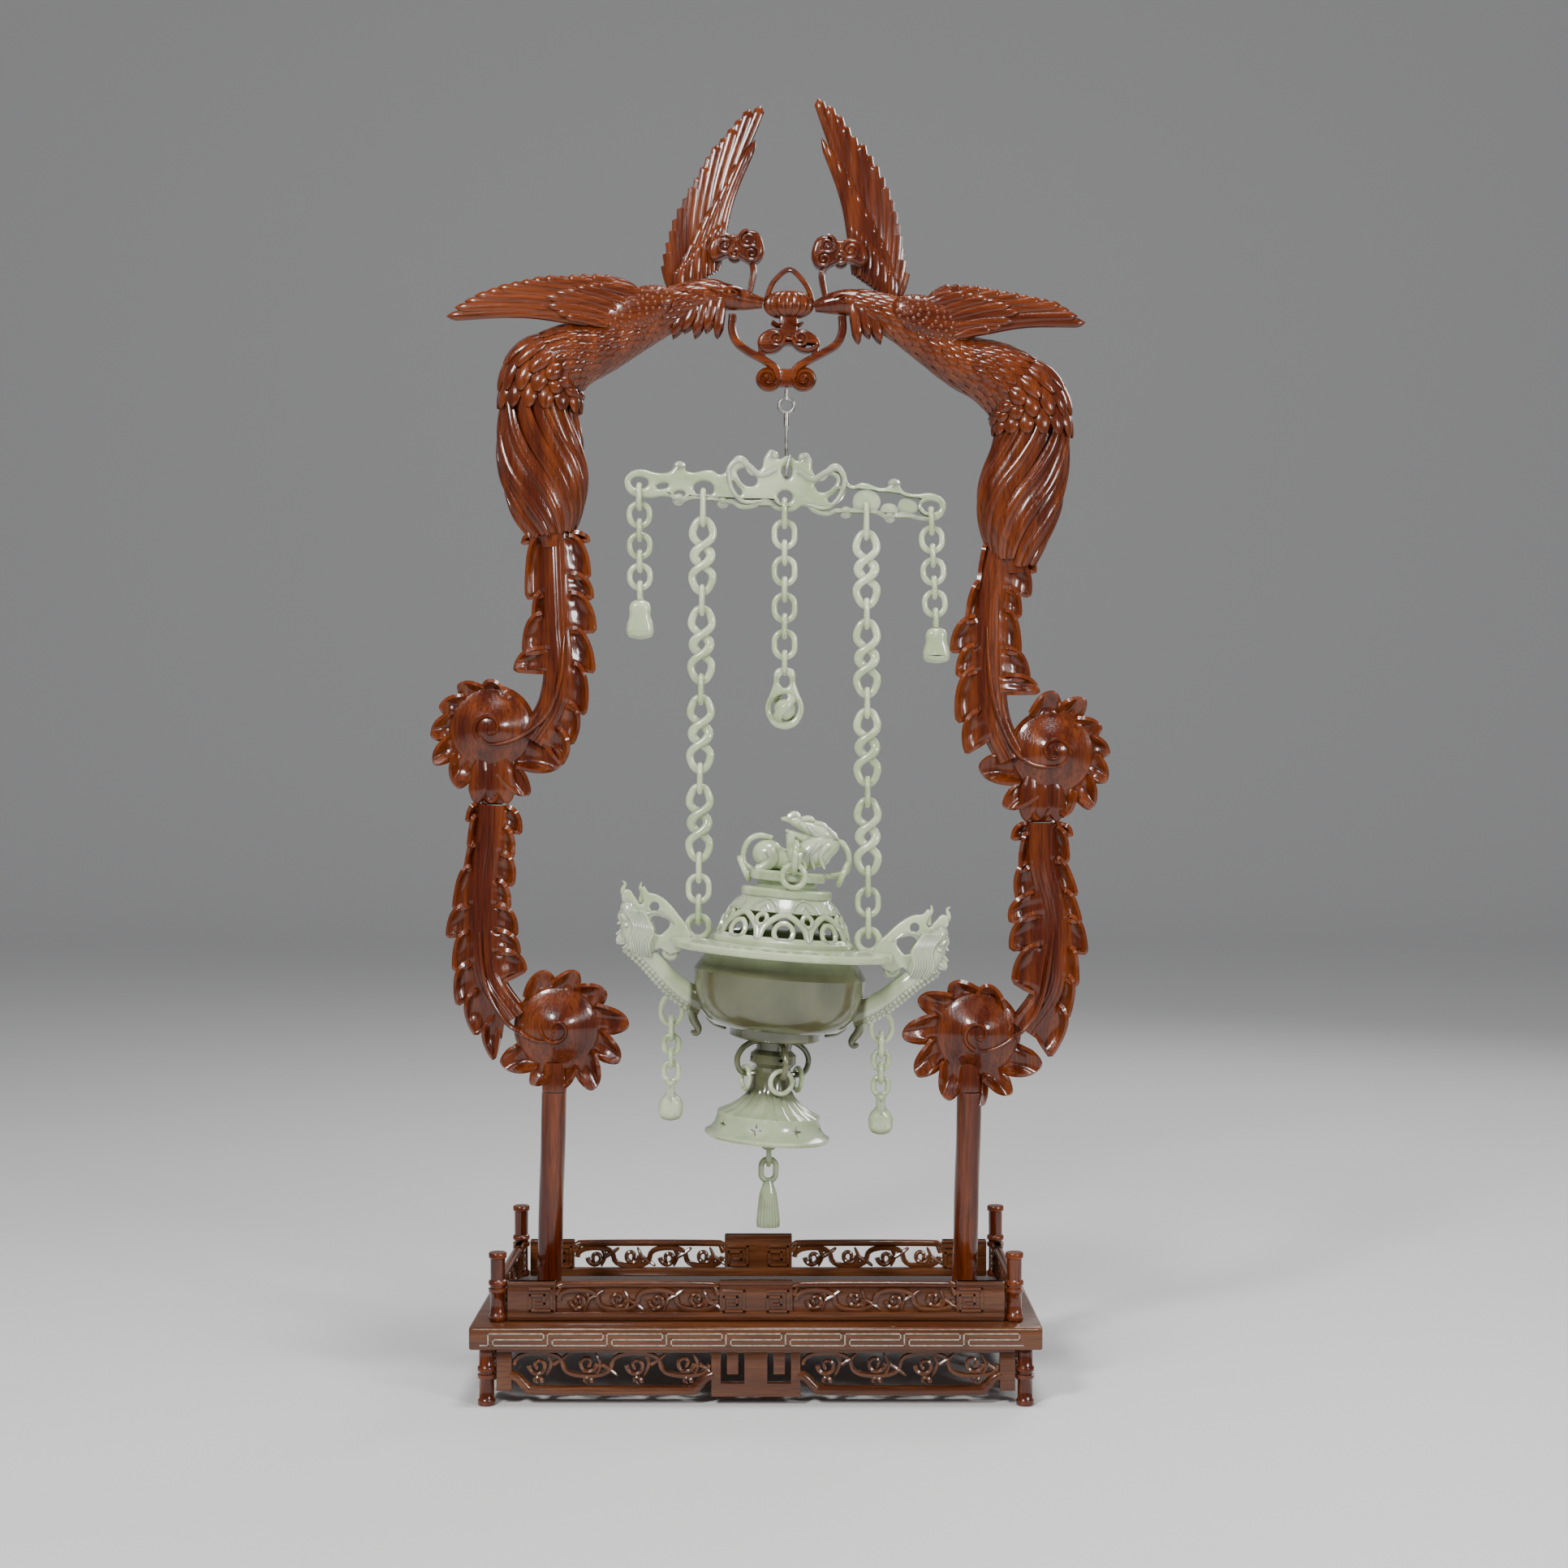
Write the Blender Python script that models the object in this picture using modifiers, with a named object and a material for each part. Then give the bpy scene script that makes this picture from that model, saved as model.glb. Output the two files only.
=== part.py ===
"""A carved jade hanging censer with its chains, on a carved wood stand of two phoenixes.

Left and right are as seen from the front, which faces -Y. Free forms are drawn in
millimetres on the front plane, with x from the middle of the stand and z from the floor.
"""

import math

import bmesh
import bpy
from mathutils import Matrix, Vector

MM = 0.001
TAU = 2 * math.pi

# Touching pieces keep this gap.
GAP = 0.3 * MM

# Faces that meet at less than this become one.
FLAT_ENOUGH = math.radians(3)

# Base board and what stands on it or under it.
BOARD_WIDTH = 294 * MM
BOARD_DEPTH = 140 * MM
BOARD_HEIGHT = 11.7 * MM
BOARD_EDGE = 1.2 * MM
FOOT_HEIGHT = 30 * MM
FOOT_RADIUS = 3.9 * MM
FOOT_FLARE = 4.9 * MM
FOOT_INSET_X = 8.2 * MM
FOOT_INSET_Y = 9 * MM
APRON_THICKNESS = 5 * MM
APRON_RAIL = 4.5 * MM
APRON_FLOOR_GAP = 5 * MM
APRON_BLOCK = 10 * MM
APRON_CENTRE_BLOCK = 46 * MM
GALLERY_HEIGHT = 20.5 * MM
GALLERY_THICKNESS = 4 * MM
GALLERY_RAIL = 3.2 * MM
GALLERY_BLOCK = 25 * MM
GALLERY_CENTRE_BLOCK = 38 * MM
RAIL_POST_INSET = 13 * MM
RAIL_POST_INSET_Y = 16 * MM
RAIL_POST_RADIUS = 3.7 * MM
RAIL_POST_HEIGHT = 35.5 * MM
BACK_POST_EXTRA = 4.5 * MM

# Round posts that carry the carved sides.
POST_RADIUS = 6.8 * MM
POST_SIDES = 10
POST_TOP = 153 * MM
POST_INSET_LEFT = 34 * MM
POST_INSET_RIGHT = 35 * MM
POST_LEAN = 3 * MM

# The carved sides are drawn for this board, and stretch with a wider or narrower one.
DRAWN_BOARD_WIDTH = 294 * MM
STRETCH_START = 40 * MM
STRETCH_END = 85 * MM

# Carved plumes.
PLUME_HALF_WIDTH = 10.5 * MM
PLUME_TOOTH = 7 * MM
PLUME_CROWN = 6 * MM
PLUME_BACK = 4 * MM
BOSS_RADIUS = 22 * MM
BOSS_LOBE = 11 * MM
BOSS_CROWN = 13 * MM
BOSS_LOBES = 10
LOWER_BOSS_TURN = math.pi / BOSS_LOBES

# Phoenix wings.
WING_THICKNESS = 6.5 * MM
FRONT_WING_OUT = 11 * MM
BACK_WING_BACK = 7 * MM

# Jade.
YOKE_THICKNESS = 6 * MM
YOKE_TILT = math.radians(4.7)
YOKE_CENTRE = (15.5 * MM, 481 * MM)
LINK_WIRE = 3.0 * MM
LINK_WIDTH = 12.5 * MM
LINK_TOUCH = 0.25 * MM
HOOK_WIRE = 2.1 * MM

CENSER_TILT = math.radians(4.6)
RIM_CENTRE = (13.6 * MM, 233 * MM)
RIM_RADIUS = 60.3 * MM
RIM_THICKNESS = 4.6 * MM
BOWL_RADIUS = 46.3 * MM
BOWL_DEPTH = 41 * MM
BOWL_WALL = 3.4 * MM
MOUTH_RADIUS = 36 * MM
FOOT_RING_RADIUS = 34 * MM
CENSER_HEIGHT = 105 * MM
CENSER_SIDES = 14
STEM_RADIUS = 9.5 * MM
LID_RADIUS = 38.2 * MM
LID_HEIGHT = 44 * MM
LID_WALL = 2.4 * MM
LID_SIDES = 12
HANDLE_THICKNESS = 6 * MM
RING_RADIUS = 6.2 * MM
RING_WIRE = 2.6 * MM
RING_SIDES = 6

BOARD_TOP = FOOT_HEIGHT + BOARD_HEIGHT
SPREAD = (BOARD_WIDTH - DRAWN_BOARD_WIDTH) / 2
POST_LEFT_X = -BOARD_WIDTH / 2 + POST_INSET_LEFT
POST_RIGHT_X = BOARD_WIDTH / 2 - POST_INSET_RIGHT


def clear_scene():
    for obj in list(bpy.data.objects):
        bpy.data.objects.remove(obj, do_unlink=True)


def make_collection(name):
    collection = bpy.data.collections.new(name)
    bpy.context.scene.collection.children.link(collection)
    return collection


def make_material(name, colour, roughness, metallic):
    material = bpy.data.materials.new(name)
    material.use_nodes = True
    shader = material.node_tree.nodes["Principled BSDF"]
    shader.inputs["Base Color"].default_value = (*colour, 1.0)
    shader.inputs["Roughness"].default_value = roughness
    shader.inputs["Metallic"].default_value = metallic
    return material


clear_scene()
PARTS = make_collection("jade_hanging_censer")
HELPERS = make_collection("helpers")
HELPERS.hide_render = True

# Name, colour, roughness and metal of each material.
WOOD = ("carved_wood", (0.23, 0.06, 0.018), 0.28, 0.0)
JADE = ("pale_jade", (0.62, 0.66, 0.52), 0.18, 0.0)
STEEL = ("dull_steel", (0.5, 0.49, 0.46), 0.35, 1.0)


def plane(points):
    """Front-plane points in millimetres, in metres."""
    return [(x * MM, z * MM) for x, z in points]


def object_of(name, mesh, collection=HELPERS):
    obj = bpy.data.objects.new(name, mesh)
    collection.objects.link(obj)
    return obj


def finish_mesh(bm, name):
    bmesh.ops.remove_doubles(bm, verts=bm.verts, dist=0.01 * MM)
    bmesh.ops.triangulate(bm, faces=bm.faces)
    bmesh.ops.recalc_face_normals(bm, faces=bm.faces)
    mesh = bpy.data.meshes.new(name)
    bm.to_mesh(mesh)
    bm.free()
    return mesh


def skin(rings, closed=False):
    """A solid through rings of points, capped at both ends unless it closes on itself."""
    bm = bmesh.new()
    loops = [[bm.verts.new(p) for p in ring] for ring in rings]
    pairs = list(zip(loops, loops[1:]))
    if closed:
        pairs.append((loops[-1], loops[0]))
    for low, high in pairs:
        count = len(low)
        for i in range(count):
            j = (i + 1) % count
            bm.faces.new((low[i], low[j], high[j], high[i]))
    if not closed:
        bm.faces.new(loops[0])
        bm.faces.new(list(reversed(loops[-1])))
    return object_of("skin", finish_mesh(bm, "skin"))


def turned(profile, sides):
    """A solid turned about Z. The profile runs down its outer side, from axis to axis or closed."""
    bm = bmesh.new()
    points = [bm.verts.new((radius, 0, height)) for radius, height in profile]
    for low, high in zip(points, points[1:]):
        bm.edges.new((low, high))
    if profile[0][0] > 0 or profile[-1][0] > 0:
        bm.edges.new((points[-1], points[0]))
    mesh = bpy.data.meshes.new("profile")
    bm.to_mesh(mesh)
    bm.free()
    obj = object_of("profile", mesh)
    screw = obj.modifiers.new("turn", "SCREW")
    screw.axis = "Z"
    screw.steps = sides
    screw.render_steps = sides
    screw.use_merge_vertices = True
    screw.merge_threshold = 0.01 * MM
    bpy.context.view_layer.update()
    graph = bpy.context.evaluated_depsgraph_get()
    made = bpy.data.meshes.new_from_object(obj.evaluated_get(graph))
    bpy.data.objects.remove(obj, do_unlink=True)
    bm = bmesh.new()
    bm.from_mesh(made)
    bpy.data.meshes.remove(made)
    return object_of("turned", finish_mesh(bm, "turned"))


def smooth_path(points, steps):
    """Points on a Catmull-Rom curve through the given ones."""
    path = []
    last = len(points) - 1
    for i in range(last):
        p0 = Vector(points[max(i - 1, 0)])
        p1 = Vector(points[i])
        p2 = Vector(points[i + 1])
        p3 = Vector(points[min(i + 2, last)])
        for step in range(steps):
            t = step / steps
            path.append(
                0.5
                * (
                    2 * p1
                    + (p2 - p0) * t
                    + (2 * p0 - 5 * p1 + 4 * p2 - p3) * t * t
                    + (3 * p1 - p0 - 3 * p2 + p3) * t**3
                )
            )
    path.append(Vector(points[last]))
    return path


def mesh_of_curve(curve, rotation):
    """The curve object as a welded mesh object, its place applied."""
    obj = bpy.data.objects.new("curve", curve)
    HELPERS.objects.link(obj)
    bpy.context.view_layer.update()
    graph = bpy.context.evaluated_depsgraph_get()
    mesh = bpy.data.meshes.new_from_object(obj.evaluated_get(graph))
    bpy.data.objects.remove(obj, do_unlink=True)
    mesh.transform(rotation)
    bm = bmesh.new()
    bm.from_mesh(mesh)
    bpy.data.meshes.remove(mesh)
    return object_of("curve_mesh", finish_mesh(bm, "curve_mesh"))


UPRIGHT = Matrix.Rotation(math.pi / 2, 4, "X")


def plate(outline, holes, thickness, y=0.0, rounding=0):
    """An upright plate. rounding is the curve steps between points, 0 for straight edges."""
    curve = bpy.data.curves.new("plate", "CURVE")
    curve.dimensions = "2D"
    curve.fill_mode = "BOTH"
    curve.extrude = thickness / 2
    for loop in [outline, *holes]:
        if rounding:
            spline = curve.splines.new("BEZIER")
            spline.bezier_points.add(len(loop) - 1)
            for point, (x, z) in zip(spline.bezier_points, loop):
                point.co = (x, z, 0)
                point.handle_left_type = "AUTO"
                point.handle_right_type = "AUTO"
            spline.resolution_u = rounding
        else:
            spline = curve.splines.new("POLY")
            spline.points.add(len(loop) - 1)
            for point, (x, z) in zip(spline.points, loop):
                point.co = (x, z, 0, 1)
        spline.use_cyclic_u = True
    return mesh_of_curve(curve, Matrix.Translation((0, y, 0)) @ UPRIGHT)


def tube(points, width, resolution=1, cyclic=False, taper=None):
    """A round tube through points in metres. resolution 0 has 4 sides, 1 has 6."""
    curve = bpy.data.curves.new("tube", "CURVE")
    curve.dimensions = "3D"
    curve.bevel_depth = width / 2
    curve.bevel_resolution = resolution
    curve.use_fill_caps = True
    spline = curve.splines.new("POLY")
    spline.points.add(len(points) - 1)
    for i, (point, place) in enumerate(zip(spline.points, points)):
        point.co = (*place, 1)
        point.radius = taper[i] if taper else 1.0
    spline.use_cyclic_u = cyclic
    return mesh_of_curve(curve, Matrix.Identity(4))


def wire_loop(points, wire, normal):
    """A closed loop of square wire, set on edge, through flat points. normal faces its plane."""
    spots = [Vector(p) for p in points]
    normal = Vector(normal).normalized()
    rings = []
    for i, spot in enumerate(spots):
        before = (spot - spots[i - 1]).normalized()
        after = (spots[(i + 1) % len(spots)] - spot).normalized()
        across = (before.cross(normal) + after.cross(normal)).normalized()
        reach = wire / 2 / max(across.dot(before.cross(normal)), 0.5)
        face = normal * wire * 0.6
        rings.append([spot + across * reach, spot + face, spot - across * reach, spot - face])
    return skin(rings, closed=True)


def oval(cx, cz, rx, rz, count, turn=0.0):
    """Points of an oval on the front plane, for an outline or a hole."""
    points = []
    for k in range(count):
        angle = TAU * k / count
        x = rx * math.cos(angle)
        z = rz * math.sin(angle)
        points.append(
            (
                cx + x * math.cos(turn) - z * math.sin(turn),
                cz + x * math.sin(turn) + z * math.cos(turn),
            )
        )
    return points


def fuse(name, pieces, material):
    """One body from overlapping pieces, as a named part."""
    first = pieces[0]
    others = pieces[1:]
    if others:
        group = bpy.data.collections.new("fuse")
        for piece in others:
            group.objects.link(piece)
        union = first.modifiers.new("union", "BOOLEAN")
        union.operation = "UNION"
        union.solver = "EXACT"
        union.operand_type = "COLLECTION"
        union.collection = group
        bpy.context.view_layer.update()
        graph = bpy.context.evaluated_depsgraph_get()
        mesh = bpy.data.meshes.new_from_object(first.evaluated_get(graph))
        bpy.data.collections.remove(group)
    else:
        mesh = first.data.copy()
    for piece in pieces:
        bpy.data.objects.remove(piece, do_unlink=True)
    bm = bmesh.new()
    bm.from_mesh(mesh)
    bmesh.ops.dissolve_limit(bm, angle_limit=FLAT_ENOUGH, verts=bm.verts, edges=bm.edges)
    bmesh.ops.triangulate(bm, faces=bm.faces)
    bm.to_mesh(mesh)
    bm.free()
    mesh.name = name
    mesh.materials.clear()
    mesh.materials.append(make_material(name + "_" + material[0], *material[1:]))
    mesh.shade_smooth()
    mesh.set_sharp_from_angle(angle=math.radians(35))
    return object_of(name, mesh, PARTS)


def cut(target, cutter):
    """The target with the cutter's shape taken away."""
    cutter.display_type = "WIRE"
    cutter.hide_render = True
    boolean = target.modifiers.new("cut", "BOOLEAN")
    boolean.operation = "DIFFERENCE"
    boolean.solver = "EXACT"
    boolean.object = cutter
    bpy.context.view_layer.update()
    graph = bpy.context.evaluated_depsgraph_get()
    mesh = bpy.data.meshes.new_from_object(target.evaluated_get(graph))
    bpy.data.objects.remove(target, do_unlink=True)
    bpy.data.objects.remove(cutter, do_unlink=True)
    return object_of("cut", mesh)


def box(low, high):
    size = Vector(high) - Vector(low)
    middle = (Vector(high) + Vector(low)) / 2
    bm = bmesh.new()
    bmesh.ops.create_cube(bm, size=1.0)
    bmesh.ops.scale(bm, vec=size, verts=bm.verts)
    bmesh.ops.translate(bm, vec=middle, verts=bm.verts)
    return object_of("box", finish_mesh(bm, "box"))


def moved(piece, matrix):
    piece.data.transform(matrix)
    return piece


# Base.


def build_board():
    board = box(
        (-BOARD_WIDTH / 2, -BOARD_DEPTH / 2, FOOT_HEIGHT),
        (BOARD_WIDTH / 2, BOARD_DEPTH / 2, BOARD_TOP),
    )
    bm = bmesh.new()
    bm.from_mesh(board.data)
    bmesh.ops.dissolve_limit(bm, angle_limit=0.01, verts=bm.verts, edges=bm.edges)
    bmesh.ops.bevel(bm, geom=bm.edges, offset=BOARD_EDGE, segments=1, affect="EDGES")
    bm.to_mesh(board.data)
    bm.free()
    fuse("top_board", [board], WOOD)


def bamboo(x, y, low, high, radius, flare, joint_height, cap):
    """A jointed bamboo stick standing at x, y. cap is how far its top widens."""
    middle = low + joint_height
    profile = [
        (0, high),
        (radius + cap, high),
        (radius, high - 4 * MM),
        (radius, middle + 1.6 * MM),
        (flare, middle),
        (radius, middle - 1.6 * MM),
        (radius, low + 0.17 * (high - low)),
        (flare, low),
        (0, low),
    ]
    return moved(turned(profile, 6), Matrix.Translation((x, y, 0)))


def foot_places():
    x = BOARD_WIDTH / 2 - FOOT_INSET_X
    y = BOARD_DEPTH / 2 - FOOT_INSET_Y
    return {
        "front_left": (-x, -y),
        "front_right": (x, -y),
        "back_left": (-x, y),
        "back_right": (x, y),
    }


def rail_post_places():
    x = BOARD_WIDTH / 2 - RAIL_POST_INSET
    y = BOARD_DEPTH / 2 - RAIL_POST_INSET_Y
    return {
        "front_left": (-x, -y),
        "front_right": (x, -y),
        "back_left": (-x, y),
        "back_right": (x, y),
    }


def build_feet_and_rail_posts():
    for place, (x, y) in foot_places().items():
        foot = bamboo(x, y, 0, FOOT_HEIGHT - GAP, FOOT_RADIUS, FOOT_FLARE, 0.57 * FOOT_HEIGHT, 0)
        fuse("foot_" + place, [foot], WOOD)
    for place, (x, y) in rail_post_places().items():
        extra = BACK_POST_EXTRA if y > 0 else 0
        top = BOARD_TOP + RAIL_POST_HEIGHT + extra
        post = bamboo(
            x, y, BOARD_TOP + GAP, top, RAIL_POST_RADIUS, FOOT_FLARE, 17.3 * MM + extra, 1 * MM
        )
        fuse("rail_post_" + place, [post], WOOD)


def vine_holes(x0, x1, low, high, count, vine):
    """Openings left by a vine that waves between two rails, by turns above and below it."""
    holes = []
    step = (x1 - x0) / count
    reach = (high - low) - vine
    for k in range(count):
        left = x0 + k * step + vine / 2
        right = left + step - vine
        inset = (right - left) * 0.3
        if k % 2:
            bow = [(right, low + vine / 4), (right - inset, low + reach)]
            bow += [(left + inset, low + reach), (left, low + vine / 4)]
        else:
            bow = [(left, high - vine / 4), (left + inset, high - reach)]
            bow += [(right - inset, high - reach), (right, high - vine / 4)]
        holes.append(bow)
    return holes


def apron_plate(half, centre_block, vines):
    """An apron under the board, drawn along X: curved rails between blocks."""
    low = APRON_FLOOR_GAP
    high = FOOT_HEIGHT - GAP
    rail_end = half - APRON_BLOCK
    rise = 9 * MM
    sweep = 12 * MM
    outline = [(-half, high), (-half, low), (-rail_end, low), (-rail_end, low + rise)]
    stops = [(-rail_end, -centre_block / 2), (centre_block / 2, rail_end)]
    if not centre_block:
        stops = [(-rail_end, rail_end)]
    holes = []
    for start, end in stops:
        outline += [(start + sweep * 0.6, low + rise * 0.3), (start + sweep, low)]
        outline += [(end - sweep, low), (end - sweep * 0.6, low + rise * 0.3)]
        outline += [(end, low + rise)]
        holes += vine_holes(
            start + 6 * MM, end - 6 * MM, low + APRON_RAIL + 3 * MM, high - 3 * MM, vines, 3 * MM
        )
        if centre_block and start < 0:
            outline += [(end, low - 1.5 * MM), (-end, low - 1.5 * MM), (-end, low + rise)]
    outline += [(rail_end, low), (half, low), (half, high)]
    return outline, holes


def build_aprons():
    x = BOARD_WIDTH / 2 - FOOT_INSET_X
    y = BOARD_DEPTH / 2 - FOOT_INSET_Y
    turn = Matrix.Rotation(math.pi / 2, 4, "Z")
    half = x - FOOT_FLARE - GAP
    for name, place in (("front", -y), ("back", y)):
        outline, holes = apron_plate(half, APRON_CENTRE_BLOCK, 3)
        apron = plate(outline, holes, APRON_THICKNESS, place)
        fuse("apron_" + name, [apron], WOOD)
    half = y - FOOT_FLARE - GAP
    for name, place in (("left", -x), ("right", x)):
        outline, holes = apron_plate(half, 0, 3)
        apron = plate(outline, holes, APRON_THICKNESS)
        moved(apron, Matrix.Translation((place, 0, 0)) @ turn)
        fuse("apron_" + name, [apron], WOOD)


def gallery_plate(half, centre_block, block, vines, centre_rise):
    """A fence on the board, drawn along X: square blocks with scrolling panels between."""
    low = BOARD_TOP + GAP
    high = low + GALLERY_HEIGHT
    dip = 1.5 * MM
    outline = [(-half, low), (half, low), (half, high), (half - block, high)]
    outline += [(half - block, high - dip)]
    holes = []
    stops = [(-half + block, -centre_block / 2), (centre_block / 2, half - block)]
    if centre_block:
        outline += [(centre_block / 2, high - dip), (centre_block / 2, high + centre_rise)]
        outline += [(-centre_block / 2, high + centre_rise), (-centre_block / 2, high - dip)]
    else:
        stops = [(-half + block, half - block)]
    outline += [(-half + block, high - dip), (-half + block, high), (-half, high)]
    for start, end in stops:
        holes += vine_holes(
            start + 2 * MM,
            end - 2 * MM,
            low + 2 * GALLERY_RAIL,
            high - dip - GALLERY_RAIL * 0.7,
            vines,
            2.4 * MM,
        )
    return outline, holes


def build_galleries():
    x = BOARD_WIDTH / 2 - RAIL_POST_INSET
    y = BOARD_DEPTH / 2 - RAIL_POST_INSET_Y
    turn = Matrix.Rotation(math.pi / 2, 4, "Z")
    half = x - FOOT_FLARE - GAP
    for name, place, rise in (("front", -y, 0.8 * MM), ("back", y, 3.5 * MM)):
        outline, holes = gallery_plate(half, GALLERY_CENTRE_BLOCK, GALLERY_BLOCK, 3, rise)
        fuse("gallery_" + name, [plate(outline, holes, GALLERY_THICKNESS, place)], WOOD)
    half = y - FOOT_FLARE - GAP
    for name, place in (("left", -x), ("right", x)):
        outline, holes = gallery_plate(half, 0, GALLERY_BLOCK / 2, 3, 0)
        side = plate(outline, holes, GALLERY_THICKNESS)
        moved(side, Matrix.Translation((place, 0, 0)) @ turn)
        fuse("gallery_" + name, [side], WOOD)


def build_posts():
    for name, foot_x in (("left", POST_LEFT_X), ("right", POST_RIGHT_X)):
        head_x = foot_x + POST_LEAN
        rings = []
        for x, z in ((foot_x, BOARD_TOP + GAP), (head_x, POST_TOP)):
            rings.append(
                [
                    (
                        x + POST_RADIUS * math.cos(TAU * k / POST_SIDES),
                        POST_RADIUS * math.sin(TAU * k / POST_SIDES),
                        z,
                    )
                    for k in range(POST_SIDES)
                ]
            )
        fuse("post_" + name, [skin(rings)], WOOD)


# Carved sides.


def stretched(pieces):
    """The carved side moved out or in with its post, its middle kept in place."""
    for piece in pieces:
        for vertex in piece.data.vertices:
            away = vertex.co.x - YOKE_CENTRE[0]
            share = (abs(away) - STRETCH_START) / (STRETCH_END - STRETCH_START)
            vertex.co.x += math.copysign(SPREAD, away) * min(max(share, 0), 1)
    return pieces


def frames_along(path):
    """(point, direction, sideways) on the front plane at each point of a path."""
    frames = []
    for i, point in enumerate(path):
        before = path[max(i - 1, 0)]
        after = path[min(i + 1, len(path) - 1)]
        along = (after - before).normalized()
        frames.append((point, along, Vector((-along.y, along.x))))
    return frames


def leaf_band(points, teeth, width=PLUME_HALF_WIDTH, tooth=PLUME_TOOTH):
    """A plume band with swept leaf tips on both edges, thick along its middle."""
    path = smooth_path(plane(points), 12)
    lengths = [0.0]
    for a, b in zip(path, path[1:]):
        lengths.append(lengths[-1] + (b - a).length)
    frames = frames_along(path)
    rings = []
    shares = ((0.0, 0.0), (0.85, 1.0))
    for k in range(teeth):
        for share, out in shares:
            target = (k + share) / teeth * lengths[-1]
            i = min(range(len(lengths)), key=lambda n: abs(lengths[n] - target))
            point, along, side = frames[i]
            reach = width + tooth * out
            ripple = (0.4 - out) * 3 * MM
            left = point + side * reach
            right = point - side * reach
            rings.append(
                [
                    (left.x, ripple, left.y),
                    (point.x, -PLUME_CROWN, point.y),
                    (right.x, ripple, right.y),
                    (point.x, PLUME_BACK, point.y),
                ]
            )
    return skin(rings)


def boss(centre, start_angle):
    """The round end of a plume: a dome within a ring of leaf lobes."""
    cx, cz = plane([centre])[0]
    count = 2 * BOSS_LOBES
    levels = (
        (0.3, -BOSS_CROWN, 0.0),
        (0.97, -0.25 * BOSS_CROWN, 0.0),
        (1.0, 0.0, 1.0),
        (0.5, PLUME_BACK + 1 * MM, 0.0),
    )
    rings = []
    for share, y, lobed in levels:
        ring = []
        for k in range(count):
            angle = start_angle + TAU * k / count
            high = 1.0 if k % 2 else 0.15
            radius = BOSS_RADIUS * share + BOSS_LOBE * high * lobed
            ring.append((cx + radius * math.cos(angle), y, cz + radius * math.sin(angle)))
        rings.append(ring)
    return skin(rings)


def feathered(tips, other_edge, notch):
    """A wing outline: stepped feather tips along one edge, a smooth other edge."""
    outline = []
    for i, (x, z) in enumerate(tips):
        outline.append((x, z))
        if i + 1 < len(tips):
            nx, nz = tips[i + 1]
            outline.append((nx + notch[0] + 0.15 * (x - nx), nz + notch[1] + 0.15 * (z - nz)))
    return plane(outline + other_edge)


def bird_body(sections, sides):
    """Round sections along the bird, as (x, z, half height, half depth, y)."""
    path = [Vector((x, z)) for x, z, *_ in sections]
    rings = []
    for (point, along, side), (_, _, tall, deep, y) in zip(frames_along(path), sections):
        ring = []
        for k in range(sides):
            angle = TAU * (k + 0.5) / sides
            reach = side * tall * math.cos(angle)
            ring.append(
                (
                    (point.x + reach.x) * MM,
                    (y + deep * math.sin(angle)) * MM,
                    (point.y + reach.y) * MM,
                )
            )
        rings.append(ring)
    return skin(rings)


LEFT_BODY = [
    (2, 580.5, 1.6, 2.0, 0),
    (-7, 582, 4.6, 4.0, 0),
    (-17, 584, 6.6, 6.5, 0),
    (-30, 584, 8.6, 8.0, 0),
    (-48, 577, 11, 9.5, 0),
    (-66, 567, 12, 11, 0),
    (-84, 558, 14.5, 13, 0),
    (-102, 551, 18, 15, 0),
    (-115, 540, 21.5, 15, 0),
    (-118, 522, 20.5, 13.5, 0),
    (-118, 503, 22, 12.5, 0),
    (-115, 484, 21.5, 12.5, 0),
    (-113, 466, 17.5, 11, 0),
    (-111, 448, 8, 8, 0),
]
RIGHT_BODY = [
    (31.5, 578.5, 1.6, 2.0, 0),
    (39, 580, 4.6, 4.0, 0),
    (49, 581, 6.4, 6.5, 0),
    (61, 578, 8.6, 8.0, 0),
    (78, 571, 11, 9.5, 0),
    (94, 560, 12, 11, 0),
    (111, 549, 14, 13, 0),
    (130, 541, 17.5, 15, 0),
    (145, 528, 20.5, 15, 0),
    (149, 511, 19.5, 13.5, 0),
    (147, 494, 20.5, 12.5, 0),
    (142, 474, 21.5, 12.5, 0),
    (140, 454, 17, 11, 0),
    (140, 434, 8, 8, 0),
]

LEFT_UPRIGHT_TIPS = [
    (2, 690), (-2.5, 689), (-7, 685), (-12, 679), (-18, 672), (-23, 666.5), (-29, 655.5),
    (-34, 647), (-39, 638), (-43.5, 629), (-46, 620), (-48.5, 612), (-50, 603),
]
LEFT_UPRIGHT_EDGE = [
    (-51, 590), (-44, 578), (-26, 582), (-20, 600), (-14, 619), (-15, 631), (-10, 648), (0, 670),
]
LEFT_LEVEL_TIPS = [
    (-83, 592), (-95, 592.5), (-106, 591.5), (-118, 591.5), (-127, 589.5), (-135, 588),
    (-142, 586), (-149, 583.5), (-155, 581), (-160, 577.5), (-164, 575), (-167, 572.5),
]
LEFT_LEVEL_EDGE = [
    (-168, 566.5), (-155, 571), (-140, 574), (-125, 573.5), (-108, 569), (-92, 562.5),
    (-82, 560.5), (-73, 562), (-66, 570), (-56, 577), (-48, 586), (-68, 589.5),
]
RIGHT_UPRIGHT_TIPS = [
    (33, 694), (38, 690.5), (43, 686), (48, 678), (52, 673), (57, 668.5), (61.5, 661),
    (65.5, 654), (70, 644), (73.5, 633), (76, 622), (78, 610), (80.5, 599),
]
RIGHT_UPRIGHT_EDGE = [
    (83, 588), (78, 574), (60, 576), (57, 594), (48, 618), (47.5, 634), (43, 657), (31, 688),
]
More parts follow.
